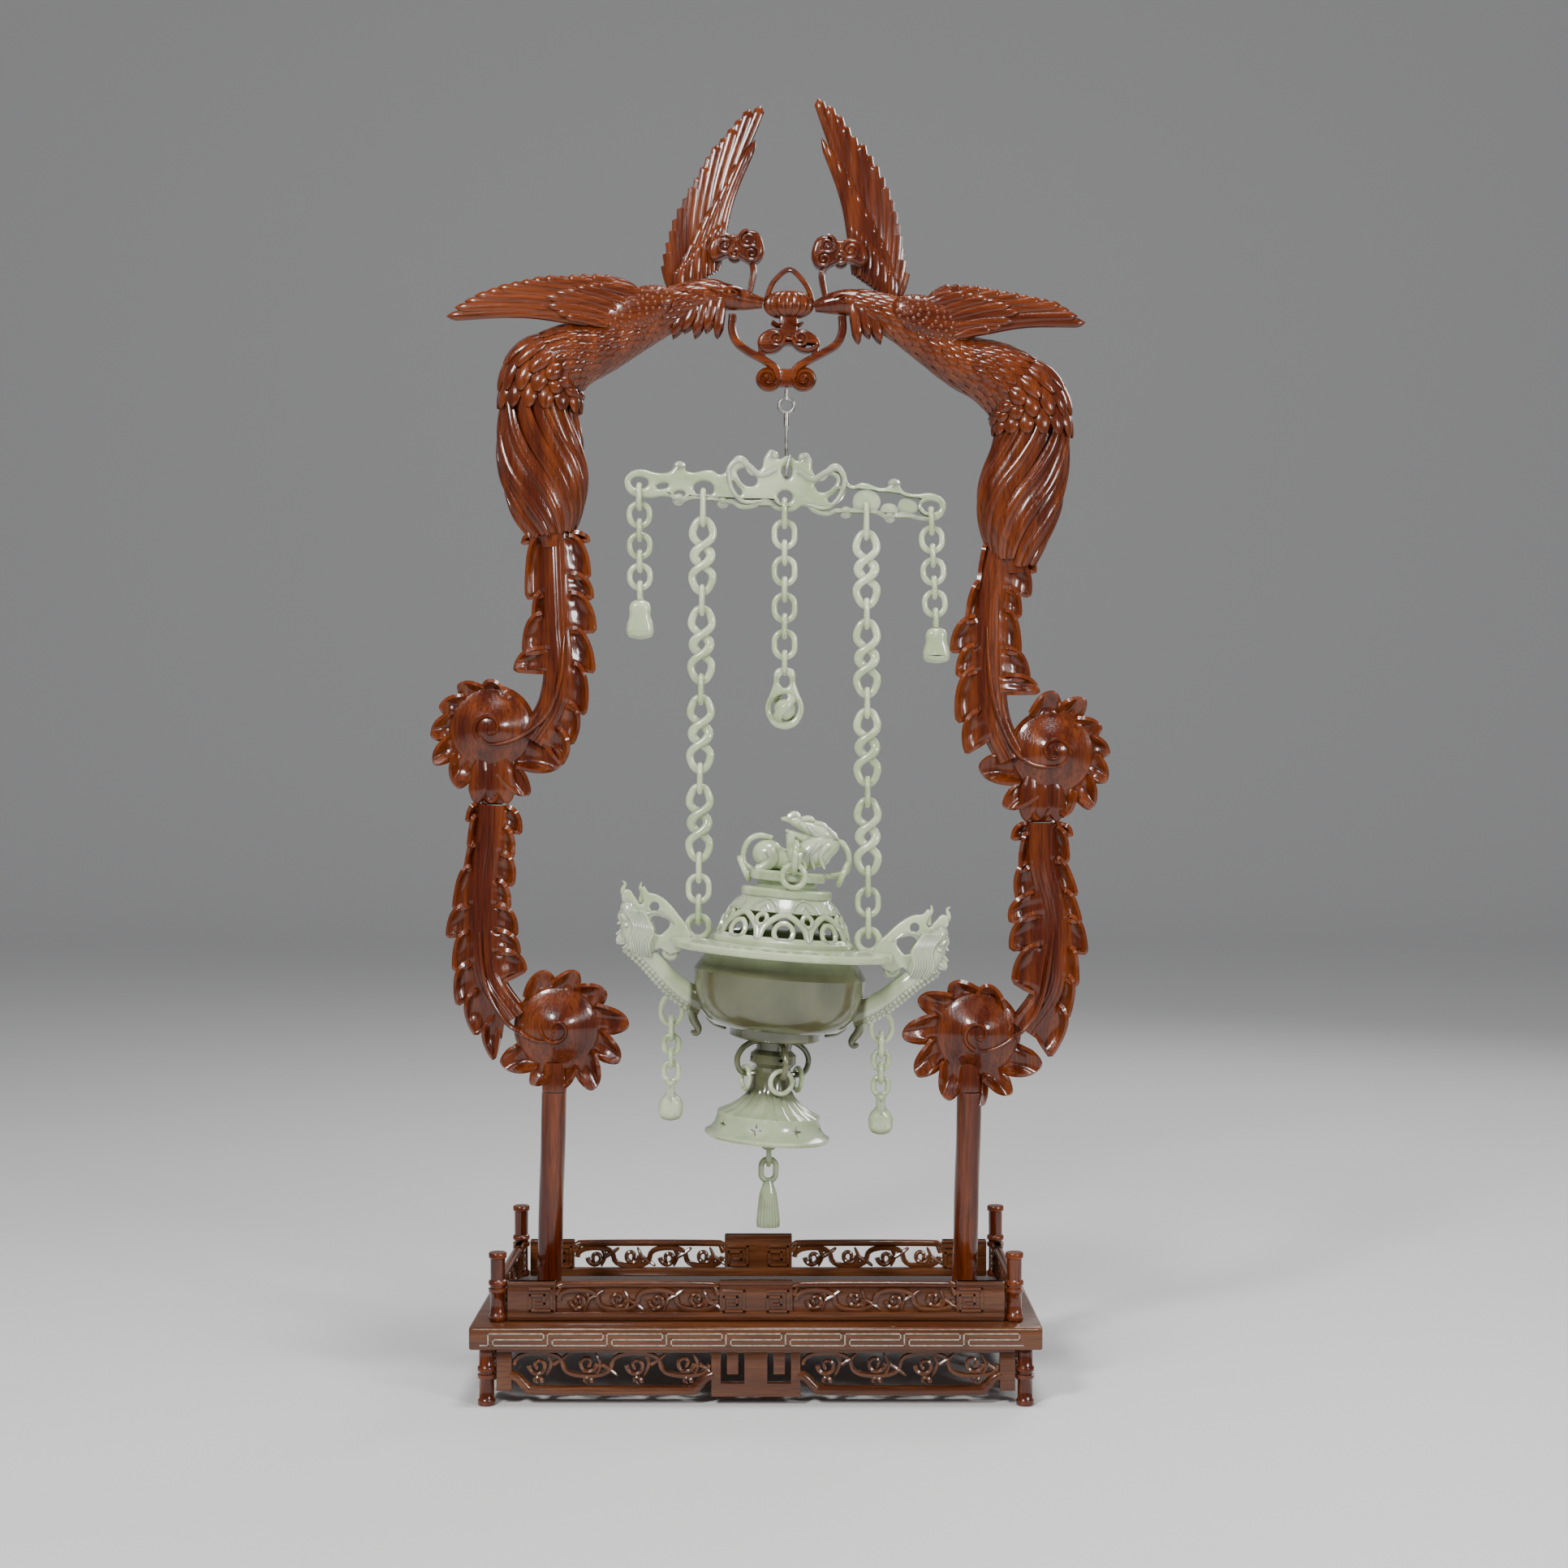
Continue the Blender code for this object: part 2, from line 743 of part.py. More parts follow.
RIGHT_LEVEL_TIPS = [
    (104, 587), (114, 587), (124, 585.5), (134, 583.5), (143, 582), (152, 580), (162, 578),
    (169, 575), (176.5, 571),
]
RIGHT_LEVEL_EDGE = [
    (177.5, 560.5), (165, 563), (150, 562.5), (135, 560), (122, 556.5), (110, 554.5),
    (103, 557), (96, 566), (86, 574), (80, 583), (92, 586),
]

LEFT_UPPER_BAND = [(-110, 456), (-109, 430), (-108, 405), (-107, 385), (-111, 362), (-122, 344)]
LEFT_UPPER_BOSS = (-144, 350)
RIGHT_UPPER_BAND = [(132, 448), (127, 422), (126, 400), (126, 380), (129, 354), (138, 334)]
RIGHT_UPPER_BOSS = (160, 337)
LEFT_LOWER_BAND = [(-147, 308.5), (-147, 290), (-150, 265), (-150, 240), (-146, 214), (-132, 193)]
LEFT_LOWER_BOSS = (-108, 188)
RIGHT_LOWER_BAND = [(154, 299), (154, 277), (160, 252), (161, 232), (158, 208), (144, 187)]
RIGHT_LOWER_BOSS = (119, 185)

# Half the width of the stub by which each upper plume stands on the lower one.
STUB_HALF = 8


def build_phoenix(side):
    left = side == "left"
    sections = LEFT_BODY if left else RIGHT_BODY
    upright_tips = LEFT_UPRIGHT_TIPS if left else RIGHT_UPRIGHT_TIPS
    upright_edge = LEFT_UPRIGHT_EDGE if left else RIGHT_UPRIGHT_EDGE
    level_tips = LEFT_LEVEL_TIPS if left else RIGHT_LEVEL_TIPS
    level_edge = LEFT_LEVEL_EDGE if left else RIGHT_LEVEL_EDGE
    band = LEFT_UPPER_BAND if left else RIGHT_UPPER_BAND
    round_end = LEFT_UPPER_BOSS if left else RIGHT_UPPER_BOSS
    sign = -1 if left else 1
    x0 = -3.5 if left else 36.5
    z0 = 0 if left else -3

    body = bird_body(sections, 8)
    hole_x, hole_z = (-99, 521) if left else (134, 502)
    hole = plate(plane(oval(hole_x, hole_z, 3.6, 7, 6, sign * 0.2)), [], 60 * MM)
    body = cut(body, hole)

    upright = plate(
        feathered(upright_tips, upright_edge, (-sign * 1.0, -3.2)),
        [],
        WING_THICKNESS,
        BACK_WING_BACK,
    )
    level = plate(
        feathered(level_tips, level_edge, (-sign * 3.0, -1.6)), [], WING_THICKNESS, -FRONT_WING_OUT
    )
    crest_lobes = [
        (-21, 2), (-23, 9), (-17, 16), (-8, 15.5), (2, 18), (6.5, 12), (6, 3), (1, 0), (-6, 3),
        (-13, 4),
    ]
    crest = plate(
        plane([(x0 - sign * x, 601.5 + z0 + z) for x, z in crest_lobes]), [], 14 * MM
    )
    stem = tube(
        [((x0 + sign * dx) * MM, 0, (z0 + z) * MM) for dx, z in ((0, 604), (-0.5, 596), (1, 584))],
        3.2 * MM,
    )
    collar_points = [
        (10, 10), (14, -9), (18, -1), (24, -12), (29, -3), (35, -13), (39, -4), (47, -12),
        (47, 3), (30, 12),
    ]
    collar = plate(
        plane([(x0 + sign * (x + 8), 576 + z0 + z) for x, z in collar_points]), [], 22 * MM
    )
    pieces = [body, upright, level, crest, stem, collar]
    pieces.append(leaf_band(band, 9))
    pieces.append(boss(round_end, 0.4 if left else 0.1))
    foot_x, foot_z = (LEFT_LOWER_BAND if left else RIGHT_LOWER_BAND)[0]
    stub_low = ((foot_x - STUB_HALF) * MM, -3 * MM, foot_z * MM + GAP)
    stub_high = ((foot_x + STUB_HALF) * MM, 4 * MM, (round_end[1] - 12) * MM)
    pieces.append(box(stub_low, stub_high))
    fuse("phoenix_" + side, stretched(pieces), WOOD)


def build_lower_plume(side):
    left = side == "left"
    band = leaf_band(LEFT_LOWER_BAND if left else RIGHT_LOWER_BAND, 9)
    centre = LEFT_LOWER_BOSS if left else RIGHT_LOWER_BOSS
    end = boss(centre, 0.1 if left else LOWER_BOSS_TURN)
    head_x = (POST_LEFT_X if left else POST_RIGHT_X) + POST_LEAN
    seat = box(
        (head_x - POST_RADIUS, -POST_RADIUS * 0.8, POST_TOP + GAP),
        (head_x + POST_RADIUS, POST_RADIUS * 0.8, POST_TOP + 16 * MM),
    )
    fuse("lower_plume_" + side, [*stretched([band, end]), seat], WOOD)


def build_centre_ornament():
    melon_sections = [
        (3.5, 580.5, 3, 3, 0), (8, 580, 6, 6, 0), (17, 580.5, 7.4, 7.4, 0), (26, 580, 6, 6, 0),
        (30.5, 580, 3, 3, 0),
    ]
    melon = bird_body(melon_sections, 6)
    handle = tube(
        [(x * MM, 0, z * MM) for x, z in ((5, 583), (8.5, 592), (17.5, 598.5), (26, 591), (29.5, 582))],
        2.6 * MM,
        0,
    )
    pieces = [melon, handle]
    pieces.append(box((8 * MM, -4 * MM, 560 * MM), (25 * MM, 4 * MM, 575 * MM)))
    scroll = [(0, 560), (5, 566), (12, 566), (17, 562), (22, 566), (28, 565), (34, 558), (30, 554),
              (23, 554), (17, 558), (10, 553), (3, 554)]
    pieces.append(plate(plane(scroll), [], 9 * MM))
    left_arm = [(-13.8, 572), (-13, 563), (-6, 556), (12, 545), (17, 539)]
    right_arm = [(46, 570), (46, 562), (40, 555.5), (21, 546), (15.5, 539)]
    for arm in (left_arm, right_arm):
        pieces.append(tube([(x * MM, 0, z * MM) for x, z in arm], 5.4 * MM, 0))
    for x, z in ((6, 539), (26, 539)):
        pieces.append(plate(plane(oval(x, z, 7.5, 6.8, 7)), [], 9 * MM))
    pieces.append(box((9 * MM, -3 * MM, 534.5 * MM), (22 * MM, 3 * MM, 543 * MM)))
    pieces.append(box((0.5 * MM, -2.5 * MM, 552 * MM), (4.5 * MM, 2.5 * MM, 559 * MM)))
    pieces.append(box((29.5 * MM, -2.5 * MM, 551 * MM), (33.5 * MM, 2.5 * MM, 559 * MM)))
    fuse("centre_ornament", pieces, WOOD)


# Jade yoke and chains.

YOKE_TOP_EDGE = [
    (0, 17), (-5.7, 14.6), (-9.1, 19.4), (-12.6, 15.5), (-14.6, 8), (-19.4, 7.4),
    (-21.6, 12.4), (-26.4, 14.9), (-30.8, 11.2), (-35.2, 3.8), (-41, 5.6), (-53.6, 3.8),
    (-58.6, 8), (-63.4, 3.0), (-69, 1.8), (-80.2, 2.9), (-86, -0.4),
]
YOKE_LOWER_EDGE = [
    (-87.3, -5.1), (-83.6, -10.8), (-75, -12.1), (-62, -10.6), (-57.4, -13.8), (-51, -11),
    (-37, -10.6), (-33.2, -13.4), (-30, -11.4), (-23.6, -13.8), (-15.4, -12.4),
    (-10.4, -9.4), (-5.2, -12.6), (0, -13.3),
]
YOKE_SIDE_HOLES = [
    [(-84, -4.2), (-79.2, -1), (-74.4, -4.2), (-79.2, -7.5)],
    [(-49.7, -4.6), (-47.5, -1.2), (-41, -1.0), (-38.8, -4.2), (-40.2, -7.5), (-48, -7.5)],
    [(-29.6, 0.4), (-26, -1.8), (-23.6, -6), (-27.4, -5.4)],
    [(-26.2, 7.4), (-16, 3.4), (-17.5, -1), (-25.2, 1.6)],
]
YOKE_CHAIN_HOLES = {"short": (-79.2, -7.4), "long": (-44.3, -7.5), "centre": (0, -9)}


def yoke_place(x, z):
    """From the yoke's own level frame, in millimetres, to the front plane in metres."""
    c = math.cos(YOKE_TILT)
    s = math.sin(YOKE_TILT)
    return (YOKE_CENTRE[0] + (x * c + z * s) * MM, YOKE_CENTRE[1] + (z * c - x * s) * MM)


def build_yoke():
    left = YOKE_TOP_EDGE + YOKE_LOWER_EDGE
    right = [(-x, z) for x, z in reversed(left[1:-1])]
    outline = [yoke_place(x, z) for x, z in left + right]
    holes = []
    for hole in YOKE_SIDE_HOLES:
        holes.append([yoke_place(x, z) for x, z in hole])
        holes.append([yoke_place(-x, z) for x, z in hole])
    holes.append([yoke_place(x, z) for x, z in oval(0, 7.8, 2.6, 3.9, 6)])
    holes.append([yoke_place(x, z) for x, z in oval(0, -5.4, 4, 3.6, 6)])
    fuse("yoke", [plate(outline, holes, YOKE_THICKNESS)], JADE)


def link(top, bottom, width, wire, turned_on):
    """One chain link hanging from top to bottom, both given as (x, z) at its outer ends."""
    x0, z0 = top
    x1, z1 = bottom
    length = math.hypot(x1 - x0, z1 - z0)
    half = length / 2 - wire / 2
    side = width / 2 - wire / 2
    shape = [(side, half), (side, -half), (-side, -half), (-side, half)]
    if not turned_on:
        flat = 0.55 * side
        shape = [(flat, half), (side, 0), (flat, -half), (-flat, -half), (-side, 0), (-flat, half)]
    lean = math.atan2(x0 - x1, z0 - z1)
    points = []
    for across, up in shape:
        x = 0.0 if turned_on else across
        y = across if turned_on else 0.0
        points.append(
            (
                (x0 + x1) / 2 + x * math.cos(lean) + up * math.sin(lean),
                y,
                (z0 + z1) / 2 - x * math.sin(lean) + up * math.cos(lean),
            )
        )
    face = (math.cos(lean), 0, -math.sin(lean)) if turned_on else (0, 1, 0)
    return wire_loop(points, wire, face)


def twisted_link(top, bottom, width):
    """A flat link with two long holes and a waist between, like a twist."""
    x0, z0 = top
    x1, z1 = bottom
    length = math.hypot(x1 - x0, z1 - z0)
    half = length / 2
    w = width / 2
    quarter = [(0.45, 1.0), (1.0, 0.62), (0.75, 0.0)]
    right = [(w * x, half * z) for x, z in quarter]
    right += [(w * x, -half * z) for x, z in reversed(quarter[:-1])]
    outline = right + [(-x, z) for x, z in reversed(right)]
    holes = []
    for sign in (-1, 1):
        holes.append(oval(0, sign * 0.57 * half, 0.3 * half, 0.55 * w, 4, math.pi / 2))
    lean = math.atan2(x0 - x1, z0 - z1)
    cx = (x0 + x1) / 2
    cz = (z0 + z1) / 2

    def place(x, z):
        return (
            cx + x * math.cos(lean) + z * math.sin(lean),
            cz - x * math.sin(lean) + z * math.cos(lean),
        )

    return plate(
        [place(x, z) for x, z in outline],
        [[place(x, z) for x, z in hole] for hole in holes],
        LINK_WIRE * 1.1,
    )


KINDS = {
    "link": (17.5 * MM, LINK_WIDTH),
    "long": (21.5 * MM, LINK_WIDTH),
    "oval": (17 * MM, 14 * MM),
    "twist": (42.5 * MM, 14 * MM),
    "small": (14.5 * MM, 11 * MM),
}


def hang(kinds, top, bottom, start_turned=True):
    """Links of a straight chain whose outer ends are at top and bottom."""
    lengths = [KINDS[kind][0] for kind in kinds]
    shared = 2 * LINK_WIRE - LINK_TOUCH
    natural = sum(lengths) - shared * (len(kinds) - 1)
    reach = math.hypot(top[0] - bottom[0], top[1] - bottom[1])
    stretch = (reach + shared * (len(kinds) - 1)) / (natural + shared * (len(kinds) - 1))
    pieces = []
    at = 0.0
    turned_on = start_turned

    def along(distance):
        share = distance / reach
        return (
            top[0] + (bottom[0] - top[0]) * share,
            top[1] + (bottom[1] - top[1]) * share,
        )

    for kind, length in zip(kinds, lengths):
        end = at + length * stretch
        width = KINDS[kind][1]
        if kind == "twist":
            pieces.append(twisted_link(along(at), along(end), width))
        else:
            pieces.append(link(along(at), along(end), width, LINK_WIRE, turned_on))
        turned_on = not turned_on
        at = end - shared
    return pieces


def pendant(x, top, bottom, width):
    """A smooth bell-shaped pendant that ends a short chain."""
    height = top - bottom
    profile = [
        (0, top),
        (0.16 * width, top),
        (0.38 * width, bottom + 0.75 * height),
        (0.5 * width, bottom + 0.35 * height),
        (0.36 * width, bottom),
        (0, bottom),
    ]
    return moved(turned(profile, 7), Matrix.Translation((x, 0, 0)))


def yoke_hole_top(name, right=False):
    """The outer top of a link that rides in one of the yoke's holes."""
    x, z = YOKE_CHAIN_HOLES[name]
    x, z = yoke_place(-x if right else x, z)
    return x, z + GAP + LINK_WIRE + 0.2 * MM


HANDLE_RING = (-32 * MM, 242.5 * MM)
HANDLE_RING_HOLE = 4.2 * MM
LOWER_RING = (-46.5 * MM, 197.5 * MM)


def tilted_mirror(x, z):
    """The point on the censer's other side."""
    c = math.cos(2 * CENSER_TILT)
    s = math.sin(2 * CENSER_TILT)
    dx = x - RIM_CENTRE[0]
    dz = z - RIM_CENTRE[1]
    return (RIM_CENTRE[0] - dx * c + dz * s, RIM_CENTRE[1] + dx * s + dz * c)


def build_chains():
    for side in ("left", "right"):
        right = side == "right"
        top = yoke_hole_top("long", right)
        ring = tilted_mirror(*HANDLE_RING) if right else HANDLE_RING
        bottom = (ring[0], ring[1] + HANDLE_RING_HOLE - GAP - LINK_WIRE - 0.2 * MM)
        kinds = ["long"] + ["twist", "link"] * 4 + ["oval", "link"]
        fuse("long_chain_" + side, hang(kinds, top, bottom), JADE)

        top = yoke_hole_top("short", right)
        end = (97 if right else -63.5) * MM
        low = (386 if right else 399) * MM
        cap = (404 if right else 419) * MM
        pieces = hang(
            ["link", "oval", "small", "oval", "small", "oval", "small"], top, (end, cap - 1.5 * MM)
        )
        pieces.append(pendant(end, cap, low, 14.5 * MM))
        fuse("short_chain_" + side, pieces, JADE)

        ring = tilted_mirror(*LOWER_RING) if right else LOWER_RING
        top = (ring[0], ring[1] - 5.3 * MM + GAP + LINK_WIRE)
        end = ring[0] - 0.4 * MM
        cap = (159 if not right else 151.5) * MM
        low = cap - 21 * MM
        pieces = hang(["link", "small", "small", "small"], top, (end, cap - 1.5 * MM))
        pieces.append(pendant(end, cap, low, 13.5 * MM))
        fuse("lower_chain_" + side, pieces, JADE)

    top = yoke_hole_top("centre")
    x = 14.8 * MM
    high = 383 * MM
    low = 350.5 * MM
    pieces = hang(
        ["link", "oval", "small", "oval", "small", "oval", "small", "oval", "small"],
        top,
        (x, high - 1.5 * MM - LINK_WIRE),
    )
    shackle = [(-0.3, 1), (0.3, 1), (0.75, 0.65), (1, 0), (0.85, -0.65), (0.5, -1)]
    shackle += [(-0.5, -1), (-0.85, -0.65), (-1, 0), (-0.75, 0.65)]
    half_width = 10.4 * MM
    half_height = (high - low) / 2
    middle = (high + low) / 2
    outline = [(x + half_width * a, middle + half_height * b) for a, b in shackle]
    hole = [(x + 0.62 * half_width * a, middle + half_height * (0.72 * b - 0.02)) for a, b in shackle]
    pieces.append(plate(outline, [hole], 7 * MM))
    fuse("centre_chain", pieces, JADE)
    bm = bmesh.new()
    bmesh.ops.create_icosphere(bm, subdivisions=1, radius=4.6 * MM)
    bmesh.ops.translate(bm, vec=(x, 0, low + 0.26 * half_height + 5.6 * MM), verts=bm.verts)
    fuse("caged_ball", [object_of("ball", finish_mesh(bm, "ball"))], JADE)


def build_hook():
    x, z = yoke_place(0, 4)
    seat = z + GAP + HOOK_WIRE / 2 + 0.3 * MM
    back = YOKE_THICKNESS / 2 + GAP + HOOK_WIRE / 2 + 0.4 * MM
    eye = 525 * MM
    wire = [
        (x, 0, eye + 1 * MM),
        (x, 0, 512 * MM),
        (x, back, 500 * MM),
        (x, back, seat + 2.2 * MM),
        (x, back * 0.55, seat),
        (x, -back * 0.55, seat),
        (x, -back, seat + 2.4 * MM),
        (x + 2 * MM, -back, seat + 11 * MM),
    ]
    pieces = [tube(wire, HOOK_WIRE, 0)]
    ring = [
        (x + 2.6 * MM * math.cos(TAU * k / 6), 0, eye + 4.4 * MM * math.sin(TAU * k / 6))
        for k in range(6)
    ]
    pieces.append(wire_loop(ring, HOOK_WIRE, (0, 1, 0)))
    pieces.append(box((x - 1.2 * MM, -1.2 * MM, 528.5 * MM), (x + 1.2 * MM, 1.2 * MM, 534 * MM)))
    fuse("hook", pieces, STEEL)


# Censer.

CENSER_PLACE = (
    Matrix.Translation((RIM_CENTRE[0], 0, RIM_CENTRE[1]))
    @ Matrix.Rotation(CENSER_TILT, 4, "Y")
)


def handle_pieces(right):
    """A dragon-head handle: pierced head and crest with the chain ring, scaly neck, curl."""

    def place(points):
        points = plane(points)
        return [tilted_mirror(*p) for p in points] if right else points

    head = [
        (-28, 236), (-24.6, 242), (-27.5, 248), (-33, 250), (-39, 248.5), (-46, 256),
        (-54, 260.5), (-59.5, 262.5), (-62.5, 267), (-63.5, 255), (-67, 261), (-73, 267.5),
        (-74.5, 259), (-73, 254), (-76.5, 249), (-74.5, 243), (-76, 239), (-77.5, 233),
        (-70, 233), (-64, 229), (-58, 226), (-53, 232), (-50, 229), (-46, 227), (-40, 232),
    ]
    crest_holes = [
        [(-57.5, 247), (-53, 249), (-47, 245.5), (-49, 240), (-55, 239)],
        oval(-55.5, 253.6, 2.4, 2.6, 5),
    ]
    ring_hole = oval(HANDLE_RING[0] / MM, HANDLE_RING[1] / MM, 4.2, 4.2, 6, math.pi / 6)
    pieces = [
        plate(
            place(head),
            [place(hole) for hole in crest_holes] + [place(ring_hole)],
            HANDLE_THICKNESS,
        )
    ]
    neck = place([(-66, 234), (-57, 224), (-47, 213), (-38, 206), (-26, 201)])
    pieces.append(tube([(x, 0, z) for x, z in neck], 12 * MM, 1, taper=[1.3, 1.0, 1.0, 1.1, 1.2]))
    curl = place([(-36, 204), (-35, 194), (-31, 186)])
    pieces.append(tube([(x, 0, z) for x, z in curl], 6.5 * MM, 0, taper=[1.2, 1.0, 0.7]))
    cx, cz = LOWER_RING
    cheek = place([(cx / MM + 5.8 * math.cos(TAU * k / 6), cz / MM + 8 * math.sin(TAU * k / 6))
                   for k in range(6)])
    pieces.append(wire_loop([(x, 0, z) for x, z in cheek], LINK_WIRE, (0, 1, 0)))
    return pieces


def build_censer():
    rim = RIM_THICKNESS
    depth = BOWL_DEPTH + rim
    height = CENSER_HEIGHT
    outer = [
        (MOUTH_RADIUS, 0),
        (RIM_RADIUS, 0),
        (RIM_RADIUS, -rim),
        (BOWL_RADIUS * 0.9, -rim),
        (BOWL_RADIUS, -rim - 0.25 * BOWL_DEPTH),
        (BOWL_RADIUS * 0.9, -rim - 0.62 * BOWL_DEPTH),
        (BOWL_RADIUS * 0.54, -depth),
        (BOWL_RADIUS * 0.54, -depth - 5 * MM),
        (STEM_RADIUS, -depth - 5.5 * MM),
        (STEM_RADIUS + 3 * MM, -depth - 14 * MM),
        (STEM_RADIUS, -depth - 23 * MM),
        (STEM_RADIUS + 1 * MM, -height + 27 * MM),
        (FOOT_RING_RADIUS * 0.8, -height + 15 * MM),
        (FOOT_RING_RADIUS, -height + 2.5 * MM),
        (FOOT_RING_RADIUS - 0.6 * MM, -height),
        (FOOT_RING_RADIUS - BOWL_WALL, -height),
        (FOOT_RING_RADIUS * 0.8 - BOWL_WALL, -height + 12 * MM),
        (STEM_RADIUS * 0.7, -height + 24 * MM),
        (0, -height + 25 * MM),
    ]
    inner = [
        (0, -depth + BOWL_WALL),
        (BOWL_RADIUS * 0.5, -depth + BOWL_WALL + 1 * MM),
        (BOWL_RADIUS * 0.9 - BOWL_WALL, -rim - 0.6 * BOWL_DEPTH),
        (BOWL_RADIUS - BOWL_WALL, -rim - 0.25 * BOWL_DEPTH),
        (MOUTH_RADIUS, -rim),
    ]
    bowl = moved(turned(outer + inner, CENSER_SIDES), CENSER_PLACE)
    pieces = [bowl]
    for right in (False, True):
        pieces += handle_pieces(right)
    for angle in stem_angles():
        pieces.append(moved(stem_bracket(), CENSER_PLACE @ Matrix.Rotation(angle, 4, "Z")))
    eye = [
        (EYE_RADIUS * math.cos(TAU * k / 6), 0, EYE_HEIGHT + EYE_RADIUS * math.sin(TAU * k / 6))
        for k in range(6)
    ]
    pieces.append(moved(wire_loop(eye, EYE_WIRE, (0, 1, 0)), CENSER_PLACE))
    fuse("censer_bowl", pieces, JADE)


EYE_RADIUS = 3.8 * MM
EYE_WIRE = 2 * MM
EYE_HEIGHT = -CENSER_HEIGHT + 22.6 * MM


def stem_angles():
    return [math.radians(20 + 90 * k) for k in range(4)]


BRACKET_LOW = -70 * MM
BRACKET_OUT = 20.5 * MM
BRACKET_WIRE = 3.2 * MM


def stem_bracket():
    """One of the curled arms round the stem, drawn along +X."""
    points = [
        (STEM_RADIUS - 1 * MM, 0, -53 * MM),
        (BRACKET_OUT, 0, -58 * MM),
        (BRACKET_OUT, 0, BRACKET_LOW + 3.5 * MM),
        (BRACKET_OUT - 3.5 * MM, 0, BRACKET_LOW),
        (STEM_RADIUS - 1 * MM, 0, BRACKET_LOW),
    ]
    return tube(points, BRACKET_WIRE, 0)


def ring_at(centre, face, radius=RING_RADIUS, wire=RING_WIRE):
    """A loose ring. face is the direction its hole looks along."""
    turn = Vector(face).to_track_quat("Z", "Y").to_matrix().to_4x4()
    points = []
    for k in range(RING_SIDES):
        angle = TAU * (k + 0.5) / RING_SIDES
        spot = turn @ Vector((radius * math.cos(angle), radius * math.sin(angle), 0))
        points.append(tuple(spot + Vector(centre)))
    return wire_loop(points, wire, face)


def build_stem_rings():
    names = ("right", "back", "left", "front")
    for name, angle in zip(names, stem_angles()):
        hang_by = RING_RADIUS - RING_WIRE / 2 - BRACKET_WIRE / 2 - 1.6 * GAP
        centre = (BRACKET_OUT - 5.4 * MM, 0, BRACKET_LOW - hang_by)
        ring = ring_at(centre, (1, 0, 0))
        fuse("stem_ring_" + name, [moved(ring, CENSER_PLACE @ Matrix.Rotation(angle, 4, "Z"))], JADE)


def build_tassel():
    hang_by = EYE_RADIUS * 0.86 - EYE_WIRE / 2 - LINK_WIRE - 1.5 * GAP
    x, _, z = CENSER_PLACE @ Vector((0, 0, EYE_HEIGHT - hang_by))
    end = 5.9 * MM
    cap = 105 * MM
    low = 80 * MM
    pieces = hang(["long", "small", "small", "small"], (x, z), (end, cap - 1.5 * MM))
    profile = [(0, cap), (2 * MM, cap), (4.6 * MM, 98 * MM), (6.2 * MM, low + 3 * MM)]
    profile += [(5.8 * MM, low), (0, low)]
    pieces.append(moved(turned(profile, 8), Matrix.Translation((end, 0, 0))))
    fuse("tassel_chain", pieces, JADE)


def dome_lattice():
    """The pierced wall of the lid: an open surface with windows, given its thickness."""
    sides = LID_SIDES
    rows = [(0.965, 3), (0.93, 7.5), (0.8, 20), (0.66, 27), (0.58, 31)]
    bm = bmesh.new()
    loops = []
    for share, height in rows:
        loop = []
        for k in range(sides):
            angle = TAU * k / sides
            radius = share * LID_RADIUS
            spot = (radius * math.cos(angle), radius * math.sin(angle), height * MM)
            loop.append(bm.verts.new(spot))
        loops.append(loop)
    for row, (low, high) in enumerate(zip(loops, loops[1:])):
        for k in range(sides):
            j = (k + 1) % sides
            if row != 1 or k % 2:
                bm.faces.new((low[k], low[j], high[j], high[k]))
    mesh = bpy.data.meshes.new("dome")
    bm.to_mesh(mesh)
    bm.free()
    shell = object_of("dome", mesh)
    solid = shell.modifiers.new("wall", "SOLIDIFY")
    solid.thickness = LID_WALL
    solid.offset = -1
    bpy.context.view_layer.update()
    graph = bpy.context.evaluated_depsgraph_get()
    made = bpy.data.meshes.new_from_object(shell.evaluated_get(graph))
    bpy.data.objects.remove(shell, do_unlink=True)
    return object_of("dome_wall", made)


def lid_loop(points):
    return tube([(x * MM, y * MM, z * MM) for x, y, z in points], 3.2 * MM, 0)


